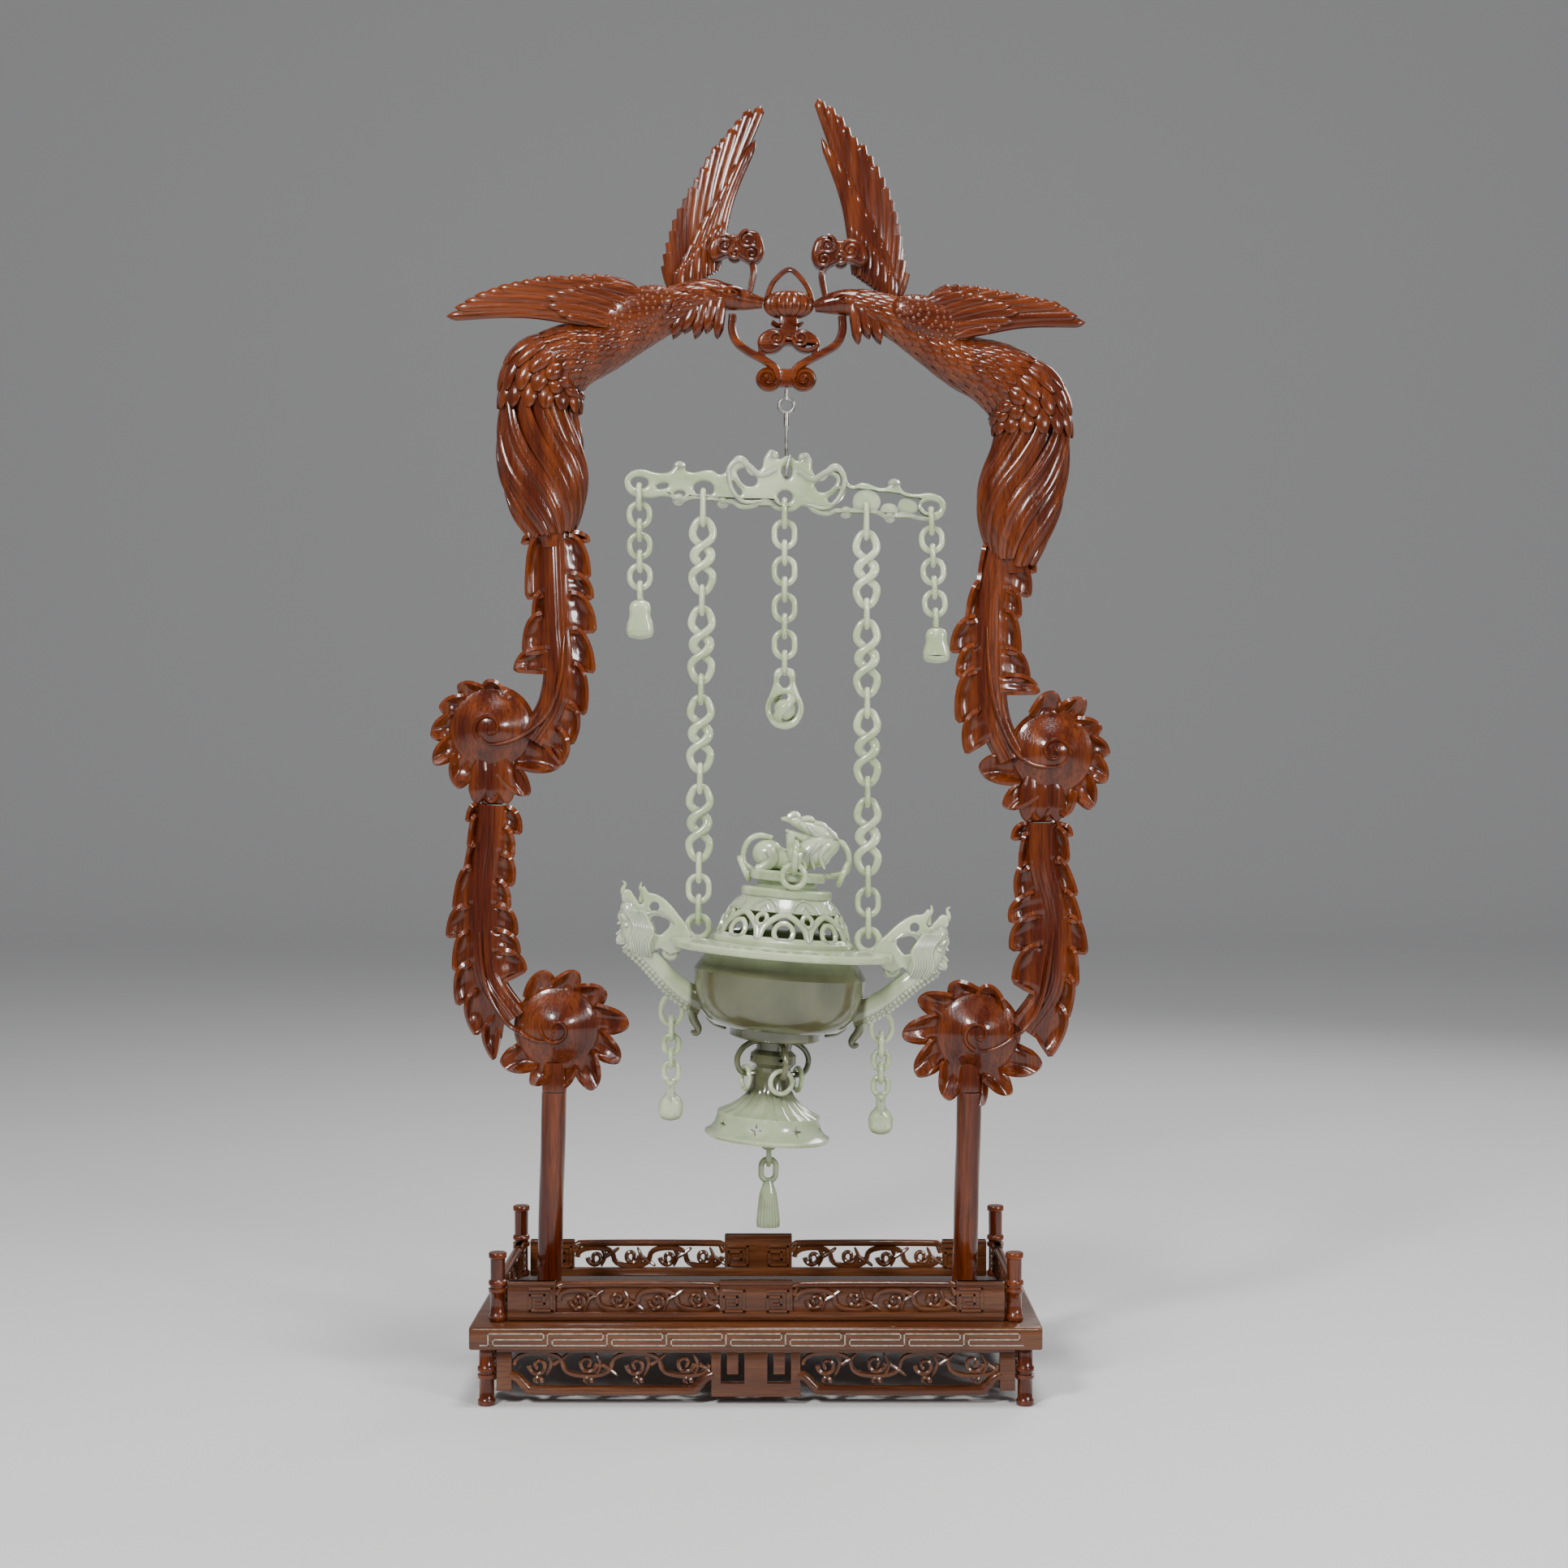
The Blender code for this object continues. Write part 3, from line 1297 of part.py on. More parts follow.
def build_lid():
    base = [
        (LID_RADIUS - 4.5 * MM, 4.6 * MM),
        (LID_RADIUS - 1.5 * MM, 4.6 * MM),
        (LID_RADIUS, 3.2 * MM),
        (LID_RADIUS, GAP),
        (LID_RADIUS - 4.5 * MM, GAP),
    ]
    top = [
        (0, LID_HEIGHT),
        (20.5 * MM, LID_HEIGHT),
        (20.5 * MM, 39 * MM),
        (16 * MM, 38.5 * MM),
        (16 * MM, 35 * MM),
        (24.6 * MM, 34.5 * MM),
        (24.6 * MM, 30 * MM),
        (22 * MM, 28.5 * MM),
        (0, 28.5 * MM),
    ]
    pieces = [turned(base, LID_SIDES), dome_lattice(), turned(top, LID_SIDES)]
    beast = [
        (-18, 57, 5, 6, 0), (-12, 54, 10, 9.5, 0), (-3, 52, 10.5, 10, 0), (5, 52, 10, 9.5, 0),
        (13, 56, 12.5, 9.5, 0), (20, 58, 12, 8.5, 0), (27, 60, 6, 5, 0),
    ]
    pieces.append(bird_body(beast, 6))
    head = [(-2, 72, 2, 2.5, 0), (5, 71, 4.5, 5, 0), (13, 68, 6.5, 6.5, 0), (22, 64, 6, 5.5, 0),
            (27, 60, 3, 3.5, 0)]
    pieces.append(bird_body(head, 6))
    pieces.append(lid_loop([(-14, 0, 61), (-24, 0, 60), (-25.5, 0, 49), (-16, 0, 42)]))
    pieces.append(lid_loop([(22, 0, 62), (32.5, 0, 59), (32.5, 0, 49), (16, 0, 42)]))
    for y in (-1, 1):
        pieces.append(
            lid_loop([(3, y * 7, 59), (3, y * 25, 57), (3, y * 26, 48), (3, y * 17, 42.5)])
        )
    fuse("lid", [moved(piece, CENSER_PLACE) for piece in pieces], JADE)


def build_lid_rings():
    places = {
        "left": ((-24.2, 0, 44.2), (1, 0, -0.4)),
        "right": ((28, 0, 45.2), (1, 0, 0)),
        "front": ((3, -22.6, 43.7), (0, 1, 0)),
        "back": ((3, 22.6, 43.7), (0, 1, 0)),
    }
    for name, (centre, face) in places.items():
        ring = ring_at([c * MM for c in centre], face)
        fuse("lid_ring_" + name, [moved(ring, CENSER_PLACE)], JADE)


def settle_on_origin():
    """Puts the middle of the underside of the whole on the origin."""
    corners = [v.co for obj in PARTS.objects for v in obj.data.vertices]
    middle_x = (min(c.x for c in corners) + max(c.x for c in corners)) / 2
    middle_y = (min(c.y for c in corners) + max(c.y for c in corners)) / 2
    floor = min(c.z for c in corners)
    for obj in PARTS.objects:
        obj.data.transform(Matrix.Translation((-middle_x, -middle_y, -floor)))


build_board()
build_feet_and_rail_posts()
build_aprons()
build_galleries()
build_posts()
for name in ("left", "right"):
    build_lower_plume(name)
    build_phoenix(name)
build_centre_ornament()
build_hook()
build_yoke()
build_chains()
build_censer()
build_stem_rings()
build_tassel()
build_lid()
build_lid_rings()
settle_on_origin()
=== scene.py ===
"""Looks of a carved jade hanging censer on its wood stand of two phoenixes.

Shapes are drawn in millimetres: x from the middle of the base board, y towards the back,
z from the table. The front faces -Y.
"""

import math

import bpy
import numpy as np
from mathutils import Matrix, Vector


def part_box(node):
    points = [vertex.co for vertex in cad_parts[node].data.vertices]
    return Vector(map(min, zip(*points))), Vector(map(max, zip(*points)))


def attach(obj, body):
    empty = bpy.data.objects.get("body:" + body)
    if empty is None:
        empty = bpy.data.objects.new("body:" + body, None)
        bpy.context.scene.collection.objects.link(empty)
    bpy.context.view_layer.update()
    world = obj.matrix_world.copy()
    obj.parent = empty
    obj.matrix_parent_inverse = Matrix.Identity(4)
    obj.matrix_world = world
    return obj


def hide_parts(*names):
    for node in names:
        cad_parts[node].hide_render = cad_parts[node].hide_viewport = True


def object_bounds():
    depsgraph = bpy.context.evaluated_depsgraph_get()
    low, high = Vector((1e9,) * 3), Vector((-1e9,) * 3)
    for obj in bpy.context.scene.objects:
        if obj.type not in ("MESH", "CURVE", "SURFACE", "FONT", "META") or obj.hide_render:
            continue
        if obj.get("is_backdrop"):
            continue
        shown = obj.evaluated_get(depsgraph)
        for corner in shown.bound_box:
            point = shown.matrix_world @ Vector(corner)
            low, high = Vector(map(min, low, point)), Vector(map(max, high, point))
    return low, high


bl_info = {
    "name": "Jade hanging censer",
    "version": (1, 0, 0),
    "blender": (4, 5, 0),
    "location": "View3D > Sidebar > Censer",
    "description": "Carves the jade censer, its chains and its wood stand over the packed solids",
    "category": "Object",
}

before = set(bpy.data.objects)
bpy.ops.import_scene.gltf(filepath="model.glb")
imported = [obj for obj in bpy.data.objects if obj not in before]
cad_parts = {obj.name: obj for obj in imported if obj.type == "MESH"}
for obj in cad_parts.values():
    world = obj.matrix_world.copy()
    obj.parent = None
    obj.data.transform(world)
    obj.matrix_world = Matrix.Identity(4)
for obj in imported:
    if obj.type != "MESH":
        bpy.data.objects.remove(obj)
PACKED_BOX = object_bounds()

MM = 0.001
TAU = 2 * math.pi
BODY = "root"

BOARD_LOW, BOARD_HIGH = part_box("top_board")
MIDDLE_X = (BOARD_LOW.x + BOARD_HIGH.x) / 2 / MM

# Sizes that more than one piece uses, in millimetres.
POST_RADIUS = 6.8
FENCE_HEIGHT = 20.3
FRET_LINE = 0.6
EDGE_LINE = 0.3
BAND_HALF = 8.0
DOME_RADIUS = 21.5
LINK_WIRE = 3.0
LINK_TOUCH = 0.25
CLEAR = 0.3
SLACK = 0.2
HOOK_HALF = 1.05
FOOT_EYE = -105 + 22.6
BRACKET_REACH = 20.5
BRACKET_LOW = -70
BRACKET_TURN = 20

BUMP_DEPTH = 0.4 * MM


# Small tools.


def settle(points):
    """Drawing millimetres as metres in the frame."""
    points = np.array(points, float)
    points[..., 0] += MIDDLE_X
    return points * MM


def shaped(across, along, place):
    """A grid primitive whose points go where place(u, v) says, in drawing millimetres."""
    bpy.ops.object.select_all(action="DESELECT")
    bpy.ops.mesh.primitive_grid_add(x_subdivisions=across, y_subdivisions=along, size=1)
    obj = bpy.context.object
    number = np.arange((across + 1) * (along + 1))
    u = (number % (across + 1)) / across
    v = (number // (across + 1)) / along
    spots = settle(np.stack(np.broadcast_arrays(*place(u, v)), axis=-1))
    obj.data.vertices.foreach_set("co", spots.astype(np.float32).ravel())
    return obj


def unit(vectors):
    """The vectors brought to length 1."""
    length = np.linalg.norm(vectors, axis=-1, keepdims=True)
    return vectors / np.maximum(length, 1e-9)


def smooth(points, count, axes=3):
    """count + 1 evenly spaced points along a smooth curve through the given ones."""
    given = np.array(points, float)
    ends = np.vstack([2 * given[0] - given[1], given, 2 * given[-1] - given[-2]])
    t = np.linspace(0, 1, 16, endpoint=False)[:, None]
    fine = []
    for i in range(1, len(ends) - 2):
        p0, p1, p2, p3 = ends[i - 1 : i + 3]
        curve = 2 * p1 + (p2 - p0) * t + (2 * p0 - 5 * p1 + 4 * p2 - p3) * t**2
        fine.append(0.5 * (curve + (3 * p1 - p0 - 3 * p2 + p3) * t**3))
    fine = np.vstack([*fine, given[-1:]])
    steps = np.linalg.norm(np.diff(fine[:, :axes], axis=0), axis=1)
    reach = np.concatenate([[0], np.cumsum(steps)])
    even = np.linspace(0, reach[-1], count + 1)
    return np.stack([np.interp(even, reach, fine[:, k]) for k in range(fine.shape[1])], axis=1)


def frames_of(path, facing, closed):
    """Sideways and outward directions along a path."""
    if closed:
        run = unit(np.roll(path, -1, axis=0) - np.roll(path, 1, axis=0))
    else:
        run = unit(np.gradient(path, axis=0))
    facing = np.broadcast_to(np.array(facing, float), path.shape)
    side = unit(np.cross(run, facing))
    return side, unit(np.cross(side, run))


def swept(path, wide, deep, facing=(0, -1, 0), around=10, groove=0.0, closed=False, flute=None):
    """A rod along a path. wide and deep are half sizes, deep being towards facing."""
    path = np.asarray(path, float)
    count = len(path)
    wide = np.broadcast_to(np.asarray(wide, float), (count,))
    deep = np.broadcast_to(np.asarray(deep, float), (count,))
    side, out = frames_of(path, facing, closed)
    if closed:
        order = np.append(np.arange(count), 0)
        size = np.ones(count + 1)
    else:
        order = np.concatenate([[0], np.arange(count), [count - 1]])
        size = np.concatenate([[0], np.ones(count), [0]])
    rows = len(order)

    def place(u, v):
        row = np.rint(v * (rows - 1)).astype(int)
        k = order[row]
        turn = TAU * u
        sink = 1 - groove * np.exp(-((np.cos(turn) / 0.22) ** 2)) * (np.sin(turn) > 0)
        if flute:
            sink = sink - flute[1] * (0.5 + 0.5 * np.cos(math.pi * flute[0] * np.cos(turn)))
        across = (np.cos(turn) * wide[k] * size[row])[:, None]
        forward = (np.sin(turn) * deep[k] * size[row] * sink)[:, None]
        return (path[k] + side[k] * across + out[k] * forward).T

    return shaped(around, rows - 1, place)


def at_depth(points, y):
    """Front-plane (x, z) points as points in space at depth y."""
    points = np.asarray(points, float)
    depth = np.broadcast_to(np.asarray(y, float), (len(points),))
    return np.stack([points[:, 0], depth, points[:, 1]], axis=1)


def flat_path(points, count, y=0.0):
    """A smooth front-plane path through (x, z) points, at depth y."""
    return at_depth(smooth(points, count), y)


def blade(points, width, thick, y=0.0, count=18, groove=0.35, tip=0.75):
    """A long feather with a groove down its front, rounded from the share tip to its end."""
    path = flat_path(points, count, y)
    t = np.linspace(0, 1, len(path))
    ease = np.sqrt(np.clip((1 - t) / (1 - tip), 0, 1))
    start = 0.55 + 0.45 * np.clip(t / 0.3, 0, 1)
    size = np.maximum(ease * start, 0.04)
    return swept(path, width * size, thick * np.maximum(size, 0.3), groove=groove)


def spiral(cx, cz, radius, turns, start, y, inner, count, hand):
    """A front-plane path that winds in from radius to its middle."""
    t = np.linspace(0, 1, count + 1)
    angle = start + hand * TAU * turns * t
    r = radius * (1 - (1 - inner) * t)
    return np.stack([cx + r * np.cos(angle), np.full_like(t, y), cz + r * np.sin(angle)], axis=1)


def turned(profile, sides, place):
    """A shape turned about an upright axis from (radius, height) points, top to bottom."""
    profile = np.array(profile, float)
    rows = len(profile) - 1

    def spots(u, v):
        row = np.rint(v * rows).astype(int)
        r = profile[row, 0]
        return place(r * np.cos(TAU * u), r * np.sin(TAU * u), profile[row, 1])

    return shaped(sides, rows, spots)


def standing(x, y, z, deep=1.0):
    """Stands a turned shape at a spot, its depth scaled by deep."""
    return lambda px, py, pz: (px + x, py * deep + y, pz + z)


def lying(x, y, z):
    """Lays a turned shape at a spot, its axis running front to back."""
    return lambda px, py, pz: (px + x, pz + y, py + z)


def block(low, high, rounding, turn=0.0):
    """A squared block between two corners, its edges rounded, turned about the middle."""
    low, high = np.array(low, float), np.array(high, float)
    bpy.ops.object.select_all(action="DESELECT")
    bpy.ops.mesh.primitive_cube_add(size=1)
    obj = bpy.context.object
    middle = (low + high) / 2 * MM
    grow = Matrix.Diagonal((*((high - low) * MM), 1))
    centre = Matrix.Translation((MIDDLE_X * MM, 0, 0)) @ Matrix.Rotation(turn, 4, "Z")
    obj.data.transform(centre @ Matrix.Translation(middle) @ grow)
    if rounding:
        bevel = obj.modifiers.new("edge", "BEVEL")
        bevel.width = rounding * MM
        bevel.segments = 2
        apply_modifiers(obj)
    return obj


def joined(name, pieces):
    """One object of the pieces, its seams and poles merged and its faces turned outwards."""
    bpy.ops.object.select_all(action="DESELECT")
    for piece in pieces:
        piece.select_set(True)
    bpy.context.view_layer.objects.active = pieces[0]
    if len(pieces) > 1:
        bpy.ops.object.join()
    obj = bpy.context.view_layer.objects.active
    obj.name = name
    obj.data.name = name
    bpy.ops.object.mode_set(mode="EDIT")
    bpy.ops.mesh.select_all(action="SELECT")
    bpy.ops.mesh.remove_doubles(threshold=0.002 * MM)
    bpy.ops.mesh.normals_make_consistent(inside=False)
    bpy.ops.object.mode_set(mode="OBJECT")
    return obj


def only(obj):
    """Selects one object and makes it the active one."""
    bpy.ops.object.select_all(action="DESELECT")
    obj.select_set(True)
    bpy.context.view_layer.objects.active = obj


def apply_modifiers(obj):
    """Applies an object's modifiers in their order."""
    only(obj)
    for modifier in list(obj.modifiers):
        bpy.ops.object.modifier_apply(modifier=modifier.name)


def flat_shape(outline, holes, half_thick, rounding, resolution=3):
    """An upright plate cut from a curve, its edges rounded, as a mesh."""
    curve = bpy.data.curves.new("plate", "CURVE")
    curve.dimensions = "2D"
    curve.fill_mode = "BOTH"
    curve.extrude = max(half_thick - rounding, 0.01) * MM
    curve.bevel_depth = rounding * MM
    curve.bevel_resolution = 3
    curve.offset = -rounding * MM
    for loop in [outline, *holes]:
        spline = curve.splines.new("BEZIER")
        spline.bezier_points.add(len(loop) - 1)
        for point, (x, z) in zip(spline.bezier_points, loop):
            point.co = ((x + MIDDLE_X) * MM, z * MM, 0)
            point.handle_left_type = "AUTO"
            point.handle_right_type = "AUTO"
        spline.resolution_u = resolution
        spline.use_cyclic_u = True
    obj = bpy.data.objects.new("plate", curve)
    bpy.context.scene.collection.objects.link(obj)
    only(obj)
    bpy.ops.object.convert(target="MESH")
    obj = bpy.context.object
    obj.data.transform(Matrix.Rotation(math.pi / 2, 4, "X"))
    return obj


def finish(name, pieces, skin, slot, *nodes, angle=40):
    """Joins a piece, gives it its surface and its ride, and hides the solids that it stands for."""
    obj = joined(name, pieces)
    if skin:
        obj.data.materials.clear()
        obj.data.materials.append(surface(skin))
    only(obj)
    bpy.ops.object.shade_smooth_by_angle(angle=math.radians(angle))
    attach(obj, BODY)
    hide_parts(*nodes)


# Surfaces.


def feed(tree, node, inputs):
    """Gives a node's inputs their plain values, or links them to other nodes' outputs."""
    for key, value in inputs.items():
        if isinstance(value, bpy.types.NodeSocket):
            tree.links.new(value, node.inputs[key])
        else:
            node.inputs[key].default_value = value


def add_node(tree, kind, inputs, **values):
    """A new node with its settings and its inputs."""
    node = tree.nodes.new(kind)
    for key, value in values.items():
        setattr(node, key, value)
    feed(tree, node, inputs)
    return node


def noise(tree, where, scale, detail=2.0, roughness=0.5, distortion=0.0):
    """Soft cloudy noise over a place, from 0 to 1."""
    return add_node(tree, "ShaderNodeTexNoise", {
        "Vector": where, "Scale": scale, "Detail": detail, "Roughness": roughness,
        "Distortion": distortion,
    }).outputs["Fac"]


def spread(tree, value, start, stop, low=0.0, high=1.0):
    """A value that goes from low to high as the given one goes from start to stop."""
    return add_node(tree, "ShaderNodeMapRange", {
        "Value": value, "From Min": start, "From Max": stop, "To Min": low, "To Max": high,
    }).outputs["Result"]


def mixed(tree, share, first, second):
    """A colour that goes from first to second with the share."""
    inputs = {"Factor": share, "A": first, "B": second}
    return add_node(tree, "ShaderNodeMix", inputs, data_type="RGBA").outputs["Result"]


def toned(tree, value, stops):
    """A colour ramp over a value. Each stop is a position and a colour."""
    ramp = add_node(tree, "ShaderNodeValToRGB", {"Fac": value})
    elements = ramp.color_ramp.elements
    elements.remove(elements[-1])
    for i, (position, tone) in enumerate(stops):
        element = elements[0] if i == 0 else elements.new(position)
        element.position = position
        element.color = (*tone, 1)
    return ramp.outputs["Color"]


def bumped(tree, height, strength):
    """The normal of a surface roughened by a height."""
    return add_node(tree, "ShaderNodeBump", {
        "Height": height, "Strength": strength, "Distance": BUMP_DEPTH,
    }).outputs["Normal"]


def blank(name):
    """A new material with its node tree, its shader and its object coordinates."""
    material = bpy.data.materials.new(name)
    material.use_nodes = True
    tree = material.node_tree
    where = add_node(tree, "ShaderNodeTexCoord", {}).outputs["Object"]
    return material, tree, tree.nodes["Principled BSDF"], where


def grain_group():
    """Wood grain, with painted shade in the carved hollows and a painted highlight on the edges:
    colour, height and roughness.
    """
    old = bpy.data.node_groups.get("wood_grain_and_painted_edges")
    if old:
        return old
    group = bpy.data.node_groups.new("wood_grain_and_painted_edges", "ShaderNodeTree")
    for way, kind, names in (
        ("INPUT", "Vector", ["Vector"]),
        ("INPUT", "Color", ["Dark", "Middle", "Light"]),
        ("INPUT", "Float", ["Edge"]),
        ("OUTPUT", "Color", ["Color"]),
        ("OUTPUT", "Float", ["Height", "Roughness"]),
    ):
        for name in names:
            group.interface.new_socket(name, in_out=way, socket_type="NodeSocket" + kind)
    start = add_node(group, "NodeGroupInput", {}).outputs
    dark, light, edge = start["Dark"], start["Light"], start["Edge"]
    broad = noise(group, start["Vector"], 1.0, 3.0)
    fine = noise(group, start["Vector"], 6.0, 4.0, 0.65)
    streaked = mixed(group, spread(group, broad, 0.38, 0.64), start["Middle"], light)
    porous = mixed(group, spread(group, fine, 0.3, 0.55, 0.3), dark, streaked)
    # Painted shade: the dark colour where Edge (pointiness) is low, in crevices and hollows.
    crevice_shaded = mixed(group, spread(group, edge, 0.4, 0.49), dark, porous)
    # Painted highlight: the light colour where Edge is high, on sharp rims and high points.
    highlighted = mixed(group, spread(group, edge, 0.53, 0.68, 0.0, 0.75), crevice_shaded, light)
    rough = spread(group, broad, 0, 1, 0.13, 0.26)
    add_node(group, "NodeGroupOutput", {"Color": highlighted, "Height": fine, "Roughness": rough})
    return group


def wood(name, along, settings, base):
    """Lacquered rosewood with its grain along an axis, browner where it is the base."""
    material, tree, shader, where = blank(name)
    grain = 130 * settings.grain
    scale = [grain * 0.06 if axis == along else grain for axis in "XYZ"]
    stretch = add_node(tree, "ShaderNodeMapping", {"Vector": where, "Scale": scale})
    group = add_node(tree, "ShaderNodeGroup", {
        "Vector": stretch.outputs["Vector"],
        "Dark": (*settings.dark, 1),
        "Middle": (*(settings.base if base else settings.middle), 1),
        "Light": (*(settings.streak if base else settings.light), 1),
        # Pointiness places the painted shade in the hollows and the painted highlight on the edges.
        "Edge": add_node(tree, "ShaderNodeNewGeometry", {}).outputs["Pointiness"],
    }, node_tree=grain_group()).outputs
    feed(tree, shader, {
        "Base Color": group["Color"],
        "Roughness": group["Roughness"],
        "Normal": bumped(tree, group["Height"], 0.6),
        "Coat Weight": 0.5,
        "Coat Roughness": 0.06,
        "Specular IOR Level": 0.25,
    })
    return material


def bowl_tone_and_shade_mask(tree, where):
    """1 on the bowl's wall, underside and stem, 0 on the rim, the foot and the handles. There the
    bowl turns a darker olive: partly the thick stone's own tone, partly painted shade.
    """
    middle = tuple(settle(hung(0, 0, 0)))
    turn = add_node(tree, "ShaderNodeMapping", {
        "Vector": where, "Location": middle, "Rotation": (0, CENSER_TILT, 0),
    }, vector_type="TEXTURE")
    part = add_node(tree, "ShaderNodeSeparateXYZ", {"Vector": turn.outputs["Vector"]}).outputs
    flat = add_node(tree, "ShaderNodeCombineXYZ", {"X": part["X"], "Y": part["Y"]})
    size = add_node(tree, "ShaderNodeVectorMath", {0: flat.outputs["Vector"]}, operation="LENGTH")
    mask = spread(tree, size.outputs["Value"], 49 * MM, 46.8 * MM)
    for start, stop in ((-5, -12), (-88, -79)):
        share = spread(tree, part["Z"], start * MM, stop * MM)
        times = add_node(tree, "ShaderNodeMath", {0: mask, 1: share}, operation="MULTIPLY")
        mask = times.outputs["Value"]
    return mask


def jade(name, pale, deep, deep_share, thick=None):
    """Waxy polished jade, clouded by a deeper tone. thick holds the two darker tones of the bowl:
    partly the thick stone's own olive, partly painted shade.
    """
    material, tree, shader, where = blank(name)
    cloud = noise(tree, where, 28.0, 5.0, distortion=0.6)
    stone = toned(tree, cloud, [(0.5 - 0.35 * deep_share, deep), (0.72 - 0.3 * deep_share, pale)])
    flecks = spread(tree, noise(tree, where, 240.0, 3.0), 0.62, 0.8, 0.0, 0.5)
    stone = mixed(tree, flecks, stone, (0.78, 0.82, 0.68, 1))
    # The bowl and stem darkened: partly the thick stone's own tone, partly painted shade.
    if thick:
        body = toned(tree, cloud, [(0.36, thick[1]), (0.66, thick[0])])
        stone = mixed(tree, bowl_tone_and_shade_mask(tree, where), stone, body)
    feed(tree, shader, {
        "Base Color": stone,
        "Roughness": spread(tree, cloud, 0, 1, 0.14, 0.3),
        "Normal": bumped(tree, cloud, 0.12),
        "Subsurface Weight": 0.5,
        "Subsurface Radius": (1.0, 1.1, 0.7),
        "Subsurface Scale": 0.006,
        "Coat Weight": 0.7,
        "Coat Roughness": 0.05,
        "IOR": 1.6,
    })
    return material


def metal(name, dark, light):
    """Dull metal, a little uneven."""
    material, tree, shader, where = blank(name)
    patches = noise(tree, where, 400.0)
    feed(tree, shader, {
        "Base Color": toned(tree, patches, [(0.35, dark), (0.65, light)]),
        "Roughness": spread(tree, patches, 0, 1, 0.25, 0.5),
        "Metallic": 1.0,
    })
    return material


def surface(name):
    """The material of that name, made the first time it is asked for."""
    known = bpy.data.materials.get(name)
    if known:
        return known
    stones = bpy.context.scene.censer_jade
    grains = {"upright_rosewood": ("Z", False), "long_rosewood": ("X", False),
              "base_rosewood": ("X", True), "side_rosewood": ("Y", True)}
    if name in grains:
        along, base = grains[name]
        return wood(name, along, bpy.context.scene.censer_wood, base)
    if name == "pale_jade":
        return jade(name, stones.pale, stones.shade, 0.25)
    if name == "bowl_jade":
        return jade(name, stones.pale, stones.shade, 0.35, (stones.bowl, stones.deep))
    if name == "russet_jade":
        return jade(name, stones.shade, stones.russet, 0.95)
    if name == "silver_inlay":
        return metal(name, (0.34, 0.3, 0.23), (0.62, 0.57, 0.48))
    return metal(name, (0.22, 0.21, 0.19), (0.5, 0.49, 0.46))


# Settings.


def length(name, description, default, low, high):
    """A setting in millimetres, kept in metres."""
    return bpy.props.FloatProperty(
        name=name, description=description, default=default * MM, min=low * MM, max=high * MM,
        unit="LENGTH", subtype="DISTANCE",
    )


def colour(name, description, default):
    """A colour setting."""
    return bpy.props.FloatVectorProperty(
        name=name, description=description, default=default, min=0, max=1, size=3, subtype="COLOR"
    )


class CENSER_PG_wood(bpy.types.PropertyGroup):
    # Dark also paints shade into the carved hollows; Light also paints a highlight on the edges.
    dark: colour("Dark", "Pores and carved hollows", (0.009, 0.0011, 0.0003))
    middle: colour("Middle", "Most of the wood", (0.072, 0.0095, 0.0016))
    light: colour("Light", "Pale streaks and worn edges", (0.17, 0.034, 0.0055))
    base: colour("Base", "Most of the wood of the base", (0.068, 0.017, 0.005))
    streak: colour("Streaks", "Pale streaks in the base", (0.15, 0.05, 0.017))
    grain: bpy.props.FloatProperty(
        name="Grain", description="How close the streaks lie", default=1.0, min=0.3, max=3.0
    )


class CENSER_PG_jade(bpy.types.PropertyGroup):
    pale: colour("Pale", "Chains, lid and rim", (0.56, 0.63, 0.42))
    shade: colour("Shade", "Clouds in the pale stone", (0.38, 0.45, 0.27))
    # Bowl and Deep darken the bowl and stem: partly the thick stone's own olive, partly painted
    # shade.
    bowl: colour("Bowl", "Thick stone of the bowl", (0.13, 0.135, 0.066))
    deep: colour("Deep", "Clouds in the thick stone", (0.07, 0.073, 0.034))
    russet: colour("Russet", "Brown stain of the tassel", (0.2, 0.12, 0.05))
    link_wire: length("Link thickness", "Thickness of a chain link", 3.0, 1.5, 4.5)


class CENSER_PG_stage(bpy.types.PropertyGroup):
    floor: colour("Floor", "Colour of the floor", (0.8, 0.8, 0.79))
    key: bpy.props.FloatProperty(
        name="Key light", description="Strength of the main light", default=21.0, min=0, max=200,
        unit="POWER",
    )


# Base.


def bamboo_profile(low, high, radius, flare, joint, cap):
    """Turned outline of a stick with a double ring at its joint, top to bottom."""
    return [
        (0, high), (radius + cap - 0.4, high), (radius + cap, high - 0.5),
        (radius + cap, high - 2.6), (radius + 0.1, high - 3.2), (radius, joint + 3.6),
        (flare - 0.4, joint + 3.1), (flare, joint + 2.6), (flare, joint + 1.0),
        (flare - 0.9, joint + 0.5), (flare - 0.9, joint - 0.5), (flare, joint - 1.0),
        (flare, joint - 2.6), (flare - 0.4, joint - 3.1), (radius, joint - 3.6),
        (radius, low + 3.6), (flare - 0.4, low + 3.1), (flare - 0.2, low + 2.6),
        (flare - 0.2, low + 0.5), (flare - 0.6, low), (0, low),
    ]


def stick(node, joint_share, cap):
    """The jointed stick in the place of a foot or a corner post."""
    low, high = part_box(node)
    x = (low.x + high.x) / 2 / MM - MIDDLE_X
    y = (low.y + high.y) / 2 / MM
    bottom = low.z / MM
    top = high.z / MM
    radius = 3.8 if cap else 3.9
    joint = bottom + joint_share * (top - bottom)
    profile = bamboo_profile(bottom, top, radius, 4.8, joint, cap)
    return turned(profile, 24, standing(x, y, 0))


